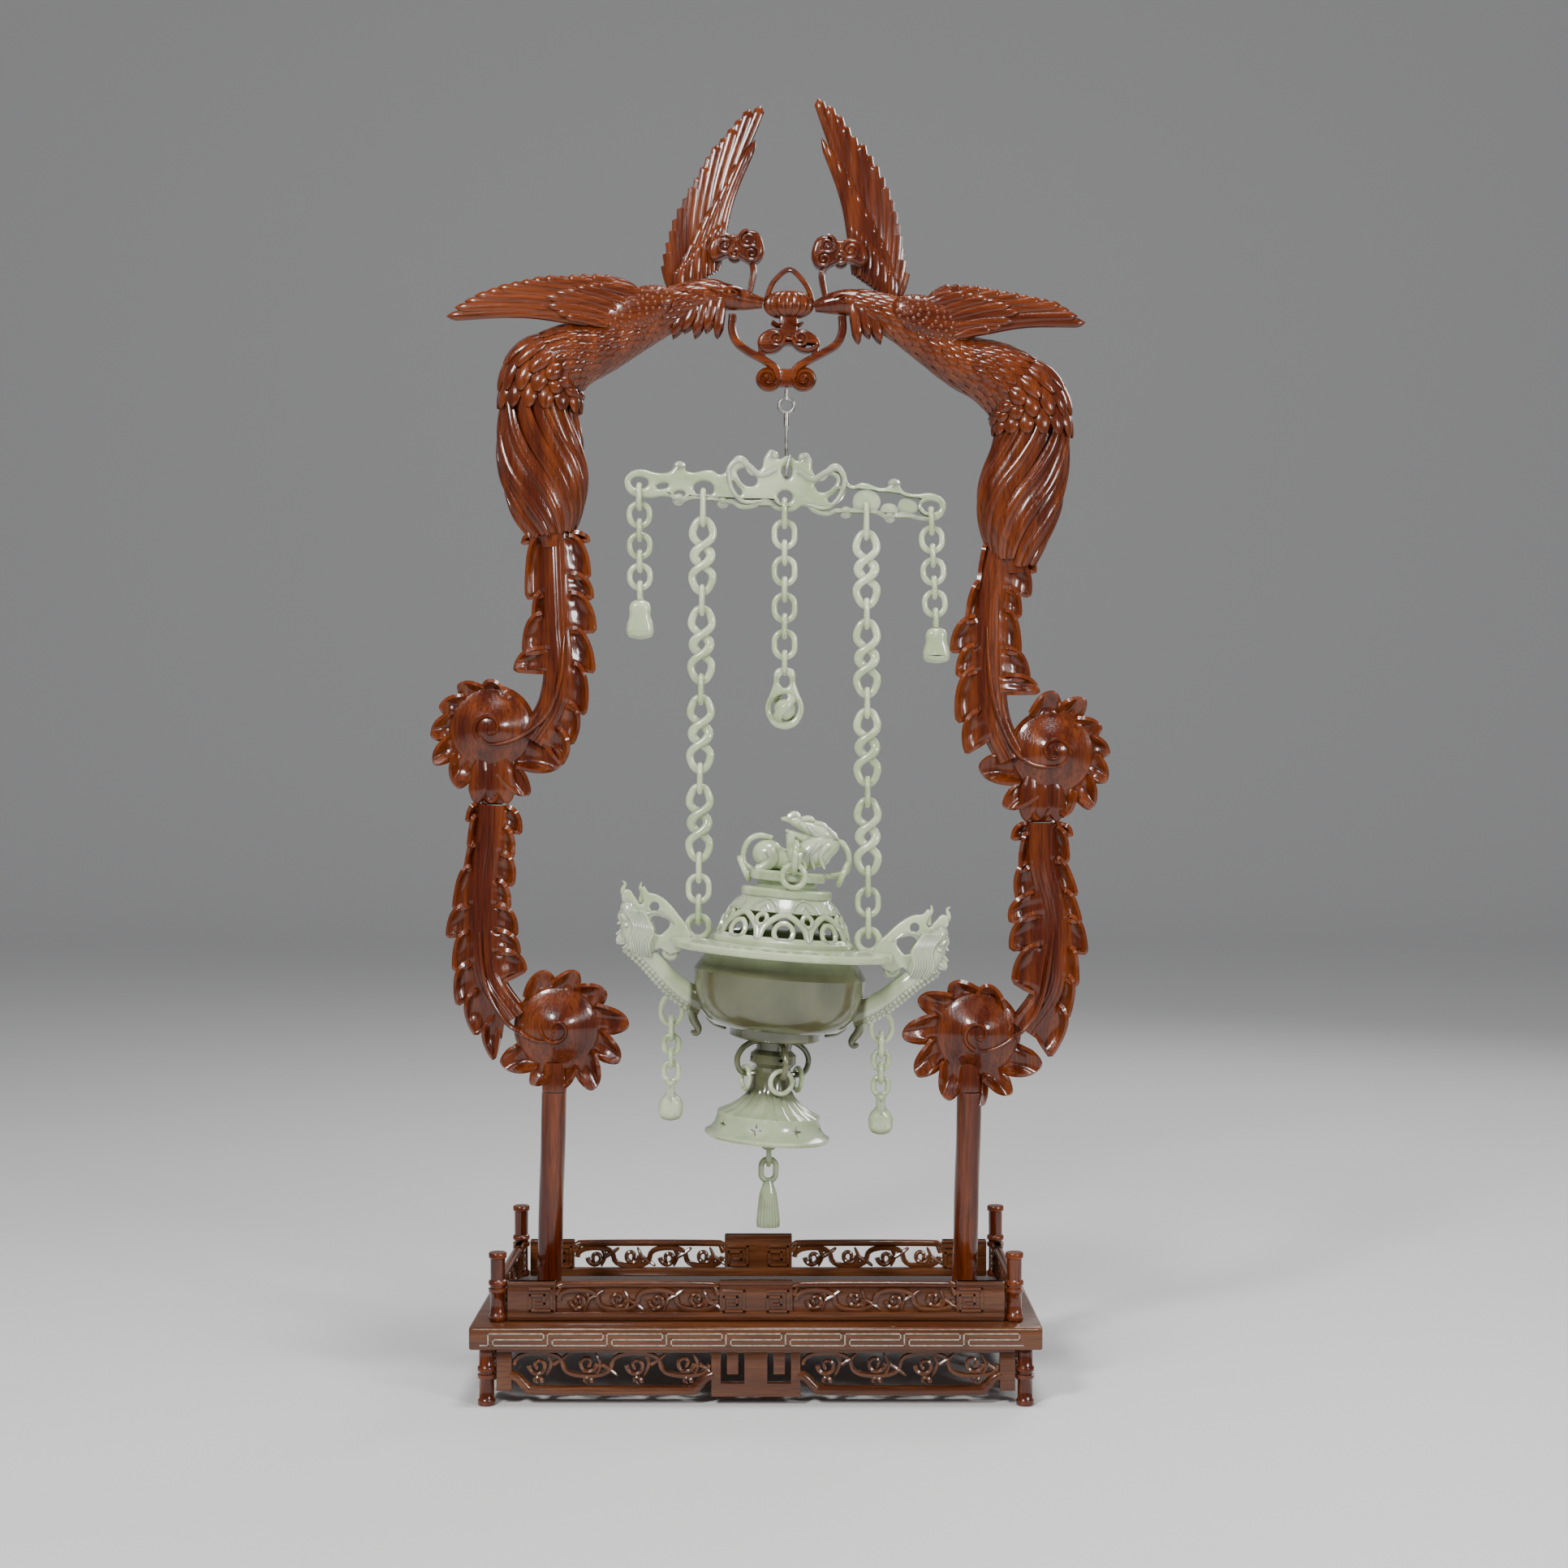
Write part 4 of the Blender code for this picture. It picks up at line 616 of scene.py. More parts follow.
class CENSER_OT_feet(bpy.types.Operator):
    """Turns the jointed feet and the corner posts"""

    bl_idname = "censer.feet"
    bl_label = "Feet and corner posts"

    def execute(self, context):
        for end in ("front_left", "front_right", "back_left", "back_right"):
            for kind, joint, cap in (("foot_", 0.57, 0), ("rail_post_", 0.5, 0.9)):
                finish("bamboo_" + kind + end, [stick(kind + end, joint, cap)],
                       "upright_rosewood", "rosewood", kind + end, angle=50)
        return {"FINISHED"}


def fret_path(half, low, high, unit_length):
    """Corners of a running key fret between -half and half."""
    units = max(1, round(2 * half / unit_length))
    step = 2 * half / units
    middle = (low + high) / 2
    points = [(-half - 4, low), (-half, low)]
    for k in range(units):
        x = -half + k * step
        points += [(x, high), (x + step - 2, high), (x + step - 2, middle)]
        points += [(x + 2.5, middle), (x + 2.5, low), (x + step, low)]
    return points


def inlay(points, width, depth_y, turn=0.0):
    """Thin flush strips along straight runs of (across, z) points on an upright face."""
    strips = []
    for (x0, z0), (x1, z1) in zip(points, points[1:]):
        half = width / 2
        low = np.array([min(x0, x1) - half, depth_y - 0.12, min(z0, z1) - half])
        high = np.array([max(x0, x1) + half, depth_y + 0.4, max(z0, z1) + half])
        strips.append(block(low, high, 0, turn))
    return strips


class CENSER_OT_board(bpy.types.Operator):
    """Saws the base board and lays the silver fret into its edges"""

    bl_idname = "censer.board"
    bl_label = "Base board"

    def execute(self, context):
        low = np.array(BOARD_LOW) / MM
        high = np.array(BOARD_HIGH) / MM
        half_x = (high[0] - low[0]) / 2
        half_y = (high[1] - low[1]) / 2
        board = block((-half_x, -half_y, low[2]), (half_x, half_y, high[2]), 1.2)
        board.data.materials.append(surface("base_rosewood"))
        rows = (low[2] + 2.6, low[2] + 8.6, 32)
        strips = inlay(fret_path(half_x - 10, *rows), FRET_LINE, -half_y)
        top = high[2] - 0.9
        for depth in (-half_y, half_y - 0.28):
            strips += inlay([(-half_x + 2.5, top), (half_x - 2.5, top)], EDGE_LINE, depth)
        for side in (-1, 1):
            turn = side * math.pi / 2
            strips += inlay(fret_path(half_y - 7, *rows), FRET_LINE, -half_x, turn)
            edge = [(-half_y + 2.5, top), (half_y - 2.5, top)]
            strips += inlay(edge, EDGE_LINE, -half_x, turn)
        for strip in strips:
            strip.data.materials.append(surface("silver_inlay"))
        finish("fret_board", [board, *strips], None, "inlaid_rosewood", "top_board", angle=50)
        return {"FINISHED"}


def rod(points, half, deep, y, count=24, end=0.5, around=8):
    """A carved tendril through front-plane points that thins a little towards its end."""
    path = flat_path(points, count, y)
    t = np.linspace(0, 1, len(path))
    size = (1 - (1 - end) * t**2) * np.sqrt(np.clip((1.02 - t) / 0.06, 0.1, 1))
    return swept(path, half * size, deep * np.maximum(size, 0.6), around=around)


def curl(cx, cz, radius, start, y, half=1.2, deep=1.8, hand=1, turns=1.3, count=26, bud=0.0):
    """A tendril that winds in to its middle, with a bud at its end."""
    path = spiral(cx, cz, radius, turns, start, y, 0.18, count, hand)
    t = np.linspace(0, 1, len(path))
    size = 1 - 0.35 * t + bud * np.exp(-(((1 - t) / 0.1) ** 2))
    return swept(path, half * size, deep * np.minimum(size, 1.1), around=8)


def vine(x0, x1, low, high, y, waves, half=1.6, deep=1.9):
    """A winding stem between two rails, with a scroll in the lap of each bend."""
    middle = (low + high) / 2
    rise = (high - low) / 2 - half * 0.7
    step = (x1 - x0) / waves
    share = np.linspace(0, waves, waves * 14 + 1)
    x = x0 + step * (share - 0.07 * np.sin(2 * TAU * share))
    stem = np.stack([x, middle + rise * np.sin(TAU * share)], axis=1)
    pieces = [swept(flat_path(stem, waves * 26, y), half, deep, around=9, groove=0.25)]
    radius = min(0.75 * rise + 0.6, step * 0.17)
    for k in range(waves):
        for part, side in ((0.25, 1), (0.75, -1)):
            cx = x0 + (k + part) * step
            start = math.pi if side > 0 else 0
            spot = middle - side * 0.1 * rise
            pieces.append(curl(cx, spot, radius, start, y, half, deep, side, 1.2, 30, 0.7))
            leaf_x = cx + 0.24 * step
            line = [(leaf_x - 4.5, middle), (leaf_x, middle + side * 0.5 * rise),
                    (leaf_x + 3.6, middle + side * rise)]
            pieces.append(rod(line, half * 0.9, deep, y, 12, 0.6))
            line = [(cx + step * 0.1, middle + side * rise * 0.8), (cx + step * 0.13, middle),
                    (cx + step * 0.08, middle - side * rise * 1.05)]
            pieces.append(rod(line, half * 0.85, deep, y, 14))
    return pieces


def square_scroll(cx, cz, size, y, thick):
    """Raised lines of a squared scroll on both faces of a block."""
    turns = [(-1, 1), (1, 1), (1, -1), (-1, -1), (-1, 0.4), (0.3, 0.4), (0.3, -0.35), (-0.4, -0.35)]
    pieces = []
    for face in (y - thick / 2, y + thick / 2):
        for (ax, az), (bx, bz) in zip(turns, turns[1:]):
            a = (cx + min(ax, bx) * size - 0.7, face - 1.0, cz + min(az, bz) * size - 0.7)
            b = (cx + max(ax, bx) * size + 0.7, face + 1.0, cz + max(az, bz) * size + 0.7)
            pieces.append(block(a, b, 0.2))
    return pieces


def side_turn(x, hand):
    """From a panel drawn along X at y = 0 to one along Y at x."""
    quarter = Matrix.Rotation(hand * math.pi / 2, 4, "Z")
    back = Matrix.Translation((-MIDDLE_X * MM, 0, 0))
    return Matrix.Translation(((x + MIDDLE_X) * MM, 0, 0)) @ quarter @ back


def panels(kind, carve):
    """The panel on each side of the base, from carve(half, y, low, high, side)."""
    for side, hand in (("front", 0), ("back", 0), ("left", -1), ("right", 1)):
        low, high = np.array(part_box(kind + "_" + side)) / MM
        middle, half = (low + high) / 2, (high - low) / 2
        if hand:
            pieces = carve(half[1], 0, low[2], high[2], side)
            for piece in pieces:
                piece.data.transform(side_turn(middle[0] - MIDDLE_X, hand))
        else:
            pieces = carve(half[0], middle[1], low[2], high[2], side)
        skin = "side_rosewood" if hand else "base_rosewood"
        finish("carved_" + kind + "_" + side, pieces, skin, "rosewood", kind + "_" + side)


def slab(x0, x1, z0, z1, y, deep, rounding=0.5):
    """An upright slab round depth y, deep millimetres to each side of it."""
    return block((x0, y - deep, z0), (x1, y + deep, z1), rounding)


def gallery(half, y, low, high, centre, corner, rise, ground):
    """A carved fence along X: blocks at its corners and middle, scrolls between its rails."""
    pieces = [slab(-half, half, low, low + 4.6, y, 2.4, 0.9)]
    stops = [(-half + corner, half - corner)]
    if centre:
        edge, top = centre / 2, high + rise
        stops = [(-half + corner, -edge), (edge, half - corner)]
        pieces.append(slab(-edge, edge, low, top, y, 2))
        pieces.append(slab(-edge, edge, top - 2, top, y, 2.6))
        for side in (-1, 1):
            pieces += square_scroll(side * centre * 0.3, (low + top) / 2, 5.2, y, 4)
    for side in (-1, 1):
        x0, x1 = sorted((side * half, side * (half - corner)))
        pieces.append(slab(x0, x1, low + 1, high, y, 2.2))
        pieces.append(slab(x0, x1, high - 1.8, high, y, 2.7))
        inner = side * (half - corner + min(7.5, corner / 2))
        pieces += square_scroll(inner, (low + high) / 2 + 1, min(5.6, corner / 2 - 1), y, 4.4)
    for x0, x1 in stops:
        bar = [(x0 + 0.5, high - 7), (x0 + 2.4, high - 3.4), (x0 + 7, high - 1.9)]
        bar += [(x1 - 7, high - 1.9), (x1 - 2.4, high - 3.4), (x1 - 0.5, high - 7)]
        pieces.append(swept(flat_path(bar, 44, y), 1.9, 2.5, around=12))
        if ground:
            pieces.append(block((x0 - 1, y - 0.4, low + 3), (x1 + 1, y + 1.4, high - 3), 0.3))
        waves = max(1, round((x1 - x0) / 42))
        pieces += vine(x0 + 1.5, x1 - 1.5, low + 4.4, high - 3.4, y - (0.6 if ground else 0), waves)
    return pieces


class CENSER_OT_galleries(bpy.types.Operator):
    """Carves the four pierced fences that stand on the board"""

    bl_idname = "censer.galleries"
    bl_label = "Galleries"

    def execute(self, context):
        def carve(half, y, low, high, side):
            if side in ("left", "right"):
                return gallery(half, y, low, low + FENCE_HEIGHT, 0, 12.5, 0, False)
            front = side == "front"
            return gallery(half, y, low, low + FENCE_HEIGHT, 38, 25, 0.4 if front else 3.2, front)

        panels("gallery", carve)
        return {"FINISHED"}


def apron(half, y, low, high, centre):
    """A pierced apron along X: scrolls over a round rail that rises to its ends."""
    pieces = [slab(-half, half, high - 2.6, high, y, 2.2)]
    stops = [(-half + 8, half - 8)]
    if centre:
        edge = centre / 2
        stops = [(-half + 8, -edge), (edge, half - 8)]
        pieces.append(slab(-edge, edge, low + 1, low + 8, y, 2.3))
        pieces.append(slab(-6, 6, low + 7, high - 2, y, 2.3))
        for side in (-1, 1):
            for near, far, bottom in ((edge - 5, edge, low + 7), (9, 15, low + 12.5)):
                x0, x1 = sorted((side * near, side * far))
                pieces.append(slab(x0, x1, bottom, high - 2, y, 2.3))
    for side in (-1, 1):
        x0, x1 = sorted((side * half, side * (half - 8)))
        pieces.append(slab(x0, x1, low + 4, high - 2, y, 2.4, 0.6))
    for x0, x1 in stops:
        bar = [(x0 - 1, low + 12), (x0 + 2.6, low + 10.5), (x0 + 8, low + 5.4), (x0 + 15, low + 4)]
        bar += [(x1 - 15, low + 4), (x1 - 8, low + 5.4), (x1 - 2.6, low + 10.5), (x1 + 1, low + 12)]
        pieces.append(swept(flat_path(bar, 56, y), 2.7, 3.0, around=14))
        waves = max(1, round((x1 - x0) / 45))
        pieces += vine(x0 + 1, x1 - 1, low + 10.5, high - 2, y, waves, 1.35, 1.7)
        for k in range(waves * 2):
            x = x0 + (x1 - x0) * (k + 0.5) / waves / 2
            pieces.append(curl(x, low + 8.8, 2.6, -0.3, y, 1.3, 1.8, 1, 0.8, 20, 0.7))
    return pieces


class CENSER_OT_aprons(bpy.types.Operator):
    """Carves the four aprons under the board"""

    bl_idname = "censer.aprons"
    bl_label = "Aprons"

    def execute(self, context):
        def carve(half, y, low, high, side):
            return apron(half, y, low, high, 46 if side in ("front", "back") else 0)

        panels("apron", carve)
        return {"FINISHED"}


def post(low, high):
    """A round post that leans a little, faintly planed."""
    foot = low[0] + POST_RADIUS - MIDDLE_X

    def place(u, v):
        z = high[2] + (low[2] - high[2]) * np.clip((v - 0.02) / 0.96, 0, 1)
        lean = 3 * (z - low[2]) / (high[2] - low[2])
        r = np.where((v > 0.01) & (v < 0.99), 6.7 + 0.12 * np.sin(5 * TAU * u + z / 9), 0)
        return foot + lean + r * np.cos(TAU * u), r * np.sin(TAU * u), z

    return shaped(28, 50, place)


class CENSER_OT_posts(bpy.types.Operator):
    """Planes the two round posts"""

    bl_idname = "censer.posts"
    bl_label = "Posts"

    def execute(self, context):
        for side in ("left", "right"):
            low, high = np.array(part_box("post_" + side)) / MM
            finish("round_post_" + side, [post(low, high)], "upright_rosewood", "rosewood",
                   "post_" + side, angle=50)
        return {"FINISHED"}


# Carved sides.


def leaf(start, tip, end, root_start, root_end, out, lift):
    """A rippled leaf of a plume that swells from its start and hooks over at its tip."""
    start, tip, end = (np.array(p, float) for p in (start, tip, end))
    root_start, root_end = np.array(root_start, float), np.array(root_end, float)
    reach = max(float(np.dot(tip - start, out)), 3.0)
    along = tip - start - out * float(np.dot(tip - start, out))
    first_pull = start + out * reach * 0.8
    second_pull = tip - along * 0.36 + out * reach * 0.1
    hollow = end + out * reach * 0.12 + unit(along[None])[0] * 0.6

    def place(u, v):
        a = np.clip(v / 0.8, 0, 1)[:, None]
        b = np.clip((v - 0.8) / 0.2, 0, 1)[:, None]
        first = (1 - a) ** 3 * start + 3 * a * (1 - a) ** 2 * first_pull
        first = first + 3 * a**2 * (1 - a) * second_pull + a**3 * tip
        second = (1 - b) ** 2 * tip + 2 * b * (1 - b) * hollow + b**2 * end
        edge = np.where((v > 0.8)[:, None], second, first)
        root = root_start + (root_end - root_start) * np.clip(v / 0.95, 0, 1)[:, None]
        spot = root + (edge - root) * u[:, None]
        depth = lift - 3.4 + 3.6 * np.sin(math.pi * u * 0.75) ** 2 - 2.6 * u**3
        depth = depth + u * (0.7 * np.cos(TAU * 2 * v) + 1.6 * (v - 0.5))
        return spot[:, 0], depth, spot[:, 1]

    return shaped(8, 16, place)


def lobe(centre, angle_a, angle_b, reach, lift, hand):
    """A broad rippled leaf of a plume's round end, between two angles round its centre."""
    root, valley = 15.0, min(reach - 6.5, 25.0)

    def place(u, v):
        angle = angle_a + (angle_b - angle_a) * v
        share = v if hand > 0 else 1 - v
        rise = np.sin(math.pi * np.clip(share, 0, 1) ** 1.6) ** 0.75
        r = root + (valley + (reach - valley) * rise - root) * u
        turn = angle + hand * 0.05 * u**3 * rise
        depth = lift - 1.6 - 2.6 * u**3 + 2.4 * np.sin(math.pi * u * 0.9) ** 2
        depth = depth + u * (0.8 * np.cos(TAU * 2 * v) + 1.2 * (share - 0.5))
        return centre[0] + r * np.cos(turn), depth, centre[1] + r * np.sin(turn)

    return shaped(8, 16, place)


def edge_leaves(band, tips, sign):
    """Leaves along one edge of a band, one for each tip."""
    path = smooth(band, 120)
    run = unit(np.gradient(path, axis=0))
    side = np.stack([-run[:, 1], run[:, 0]], axis=1) * sign
    step = np.linalg.norm(path[1] - path[0])
    pieces = []
    last = 0
    for i, tip in enumerate(tips):
        near = int(np.argmin(np.linalg.norm(path - np.array(tip), axis=1)))
        cut = int(np.clip(near - round(2 / step), last + 3, len(path) - 1))
        first = max(last - round(1.5 / step), 0)
        start = path[first] + side[first] * (BAND_HALF + 0.2)
        end = path[cut] + side[cut] * (BAND_HALF - 1.2)
        root_start = path[first] + side[first] * (BAND_HALF - 4)
        root_end = path[cut] + side[cut] * (BAND_HALF - 4)
        out = side[(first + cut) // 2]
        pieces.append(leaf(start, tip, end, root_start, root_end, out, 0.4 * (-1) ** i))
        last = cut
    return pieces


def dome_rise(share):
    """How far the round end of a plume stands out, from its middle at 0 to its edge at 1."""
    return 2.2 + 9.8 * np.cos(math.pi / 2 * np.clip(share, 0, 1)) ** 1.25


def dome(centre):
    """The round end of a plume."""
    front = [(DOME_RADIUS * s, -float(dome_rise(s))) for s in np.linspace(0, 1, 17)]
    turn = np.linspace(0, math.pi / 2, 9)
    behind = [(DOME_RADIUS * math.cos(t), 5.0 * math.sin(t)) for t in turn]
    return turned(front + behind, 48, lying(centre[0], 0, centre[1]))


def band_depth(t):
    """How far a band's front stands out, from its middle at 0 to its edge at 1."""
    return 5.0 * np.sqrt(np.clip(1 - t**2, 0, 1))


def plume(band, centre, rib, left_tips, right_tips, lobes):
    """A plume: leaves on both edges of a smooth strip that winds into a lobed dome."""
    leaves = edge_leaves(band, *left_tips) + edge_leaves(band, *right_tips)
    angles = sorted(
        (math.atan2(z - centre[1], x - centre[0]), math.hypot(x - centre[0], z - centre[1]))
        for x, z in lobes
    )
    hand = 1 if band[0][0] > centre[0] else -1
    for i, (angle, reach) in enumerate(angles):
        before = angles[i - 1][0] - (TAU if i == 0 else 0)
        after = angles[(i + 1) % len(angles)][0] + (TAU if i + 1 == len(angles) else 0)
        low = max((angle + before) / 2, angle - 0.45) - 0.03
        high = min((angle + after) / 2, angle + 0.45) + 0.03
        leaves.append(lobe(centre, low, high, reach, 0.5 * (-1) ** i, hand))
    sheet = joined("leaves", leaves)
    wall = sheet.modifiers.new("wall", "SOLIDIFY")
    wall.thickness = 2.2 * MM
    wall.offset = 0
    apply_modifiers(sheet)
    path = flat_path(band, 90, -0.8)
    strip = swept(path, BAND_HALF, 5.0, around=64, flute=(9, 0.09))
    backing = swept(flat_path(band, 60, 1.4), BAND_HALF + 0.6, 2.8, around=24)
    plate = [(0, -1.0), (22.5, -1.0), (24, 0.6), (22.5, 3.2), (0, 4.4)]
    disc = turned(plate, 48, lying(centre[0], 0, centre[1]))
    ball = dome(centre)
    rib_path = smooth(rib, 60)
    far = np.linalg.norm(rib_path - np.array(centre), axis=1) / DOME_RADIUS
    whole = smooth(band, 200)
    near = np.min(np.linalg.norm(rib_path[:, None] - whole[None], axis=2), axis=1) / BAND_HALF
    y = np.minimum(-dome_rise(far), -0.8 - band_depth(near) * 0.95)
    t = np.linspace(0, 1, len(rib_path))
    size = np.sin(math.pi * np.clip(t * 0.9 + 0.08, 0, 1)) ** 0.5
    ridge = swept(at_depth(rib_path, y), 1.5 * size, 2.3 * size, around=12)
    inner = spiral(centre[0], centre[1], 8.5, 1.2, math.atan2(
        rib[-1][1] - centre[1], rib[-1][0] - centre[0]), 0, 0.1, 40, -hand)
    near = np.hypot(inner[:, 0] - centre[0], inner[:, 2] - centre[1]) / DOME_RADIUS
    inner[:, 1] = -dome_rise(near)
    t = np.linspace(0, 1, len(inner))
    coil = swept(inner, 1.3 * (1 - 0.4 * t), 1.9 * (1 - 0.4 * t), around=10)
    return [sheet, strip, backing, disc, ball, ridge, coil]


PLUMES = {
    "left_upper": dict(
        band=[(-110, 456), (-109, 430), (-108, 405), (-107, 385), (-111, 362), (-122, 344)],
        centre=(-144, 350),
        rib=[(-104, 400), (-106, 378), (-112, 360), (-121, 350), (-133, 343), (-144, 341.5),
             (-149, 346)],
        left_tips=([(-127, 450), (-124.5, 420), (-121, 408), (-126, 390), (-131, 381)], -1),
        right_tips=([(-91, 451), (-90.5, 431), (-89, 420), (-87.5, 402), (-88, 380), (-93, 357),
                     (-100, 341), (-106, 330)], 1),
        lobes=[(-158, 376), (-142, 376), (-168, 368), (-176.5, 350), (-177, 335), (-169, 323),
               (-146, 309.4), (-130, 311), (-111, 322)],
    ),
    "right_upper": dict(
        band=[(132, 448), (127, 422), (126, 400), (126, 380), (129, 354), (138, 334)],
        centre=(160, 337),
        rib=[(124, 405), (125, 385), (128, 365), (135, 345), (143, 334), (152, 329.5), (163, 330),
             (169, 336)],
        left_tips=([(119, 425), (113, 407), (105, 391), (108, 378), (108, 353), (113, 336)], -1),
        right_tips=([(150, 434), (147, 421), (142, 410), (142, 390), (147, 376), (152, 369)], 1),
        lobes=[(158, 370), (170, 369), (184, 354), (190, 342), (191, 327), (184, 309), (170, 303),
               (156, 299), (138, 304), (124, 318)],
    ),
    "left_lower": dict(
        band=[(-143.5, 308.5), (-145, 290), (-148, 266), (-148.5, 240), (-145.5, 214),
              (-132, 193)],
        centre=(-108, 188),
        rib=[(-150, 240), (-148, 218), (-143, 203), (-134, 190), (-122, 182.5), (-112, 182),
             (-109, 188)],
        left_tips=([(-157, 300), (-156, 286), (-158, 273), (-164, 252), (-167.5, 237), (-164, 219),
                    (-162, 200), (-152, 184), (-142, 170)], -1),
        right_tips=([(-128, 293), (-132, 280), (-132, 265), (-134, 252), (-130, 238),
                     (-128.5, 228), (-125, 219)], 1),
        lobes=[(-119, 218), (-103, 220), (-87, 213), (-70, 194), (-72, 176), (-84, 158),
               (-103, 155), (-118, 156), (-131, 160)],
    ),
    "right_lower": dict(
        band=[(154, 299), (154, 277), (160, 252), (161, 232), (158, 208), (144, 187)],
        centre=(119, 185),
        rib=[(160, 240), (156, 213), (150, 195), (140, 184), (130, 178), (121, 176.5), (118, 181)],
        left_tips=([(138, 290), (142, 272), (141, 256), (137, 245), (137, 230), (138, 213)], -1),
        right_tips=([(170, 292), (168, 278), (173, 260), (175, 245), (178, 228), (173, 211),
                     (168, 193), (158, 172)], 1),
        lobes=[(129, 210), (109, 214), (91, 209), (79, 190), (83, 168), (98, 152), (117, 146),
               (132, 150), (147, 158)],
    ),
}


class CENSER_OT_lower_plumes(bpy.types.Operator):
    """Carves the two lower plumes that stand on the posts"""

    bl_idname = "censer.lower_plumes"
    bl_label = "Lower plumes"

    def execute(self, context):
        for side in ("left", "right"):
            pieces = plume(**PLUMES[side + "_lower"])
            _, high = np.array(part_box("post_" + side)) / MM
            x = high[0] - POST_RADIUS - MIDDLE_X
            seat = [(0, 169), (5.8, 169), (6.2, 160), (6.8, 155), (6.6, 153.4), (0, 153.4)]
            pieces.append(turned(seat, 24, standing(x, 0, 0, 0.8)))
            finish("carved_lower_plume_" + side, pieces, "upright_rosewood", "rosewood",
                   "lower_plume_" + side)
        return {"FINISHED"}


def round_body(sections, count=80):
    """Places along a body: x, y, z, its sideways direction, half height and half depth."""
    path = smooth(sections, count, 2)
    run = unit(np.gradient(path[:, :2], axis=0))
    side = np.stack([-run[:, 1], run[:, 0]], axis=1)
    zero = np.zeros(len(path))
    return np.stack(
        [path[:, 0], zero, path[:, 1], side[:, 0], side[:, 1], path[:, 2], path[:, 3]], axis=1
    )


def on_body(body, share, angle, lift=0.0):
    """Points and outward directions on a body. Angle -90 degrees looks to the front."""
    share = np.asarray(share, float)
    angle = np.asarray(angle, float)
    k = share * (len(body) - 1)
    row = [np.interp(k, np.arange(len(body)), body[:, c]) for c in range(7)]
    c, s = np.cos(angle), np.sin(angle)
    tall, deep = row[5] + lift, row[6] + lift
    spot = np.stack([row[0] + row[3] * tall * c, row[1] + deep * s, row[2] + row[4] * tall * c], -1)
    out = unit(np.stack([row[3] * c / row[5], s / row[6], row[4] * c / row[5]], -1))
    return spot, out


def body_skin(body, around=40):
    """The closed skin of a body."""
    rows = len(body) + 1

    def place(u, v):
        k = np.clip(np.rint(v * rows) - 1, 0, len(body) - 1) / (len(body) - 1)
        cap = np.where((v <= 0) | (v >= 1), 0.0, 1.0)
        spot, _ = on_body(body, k, TAU * u)
        centre, _ = on_body(body, k, np.full_like(u, math.pi / 2))
        back, _ = on_body(body, k, np.full_like(u, -math.pi / 2))
        middle = (centre + back) / 2
        return (middle + (spot - middle) * cap[:, None]).T

    return shaped(around, rows, place)


def petal(body, share, angle, long_share, wide, thick, around=8, steps=8):
    """A rounded feather that lies on a body and points down it."""
    t = np.linspace(0, 1, steps + 1)
    spot, out = on_body(body, share + long_share * t, np.full_like(t, angle), -0.4)
    spot = spot + out * (thick * 1.1 * t**1.5)[:, None]
    size = np.sin(math.pi * (0.12 + 0.83 * t)) ** 0.65
    return swept(spot, wide * size, thick * size, facing=out, around=around)


def strand(body, share_a, share_b, angle, twist, wide, thick, lift):
    """A strand of a lock that winds down a body."""
    t = np.linspace(0, 1, 31)
    spot, out = on_body(body, share_a + (share_b - share_a) * t, angle + twist * t, -0.6 + lift)
    size = np.sin(math.pi * (0.06 + 0.9 * t)) ** 0.4
    return swept(spot, wide * size, thick * size, facing=out, around=9)


def fan(roots, tips, feathers, bow, y0, y1, half, thick, count=30, end=0.94):
    """Long feathers side by side, from a row of roots to tips that step along an edge."""
    pieces = []
    for i, tip in enumerate(smooth(tips, feathers - 1)):
        t = i / (feathers - 1)
        root = np.array(roots[0]) * (1 - t) + np.array(roots[1]) * t
        chord = tip - root
        normal = np.array([-chord[1], chord[0]])
        middle = (root + tip) / 2 + normal * bow
        depth = np.linspace(y0 + (y1 - y0) * t, y0 + (y1 - y0) * t - 0.8, count + 1)
        depth = depth + 0.35 * (-1) ** i
        pieces.append(blade([root, middle, tip], half, thick, depth, count, 0.3, end))
    return pieces


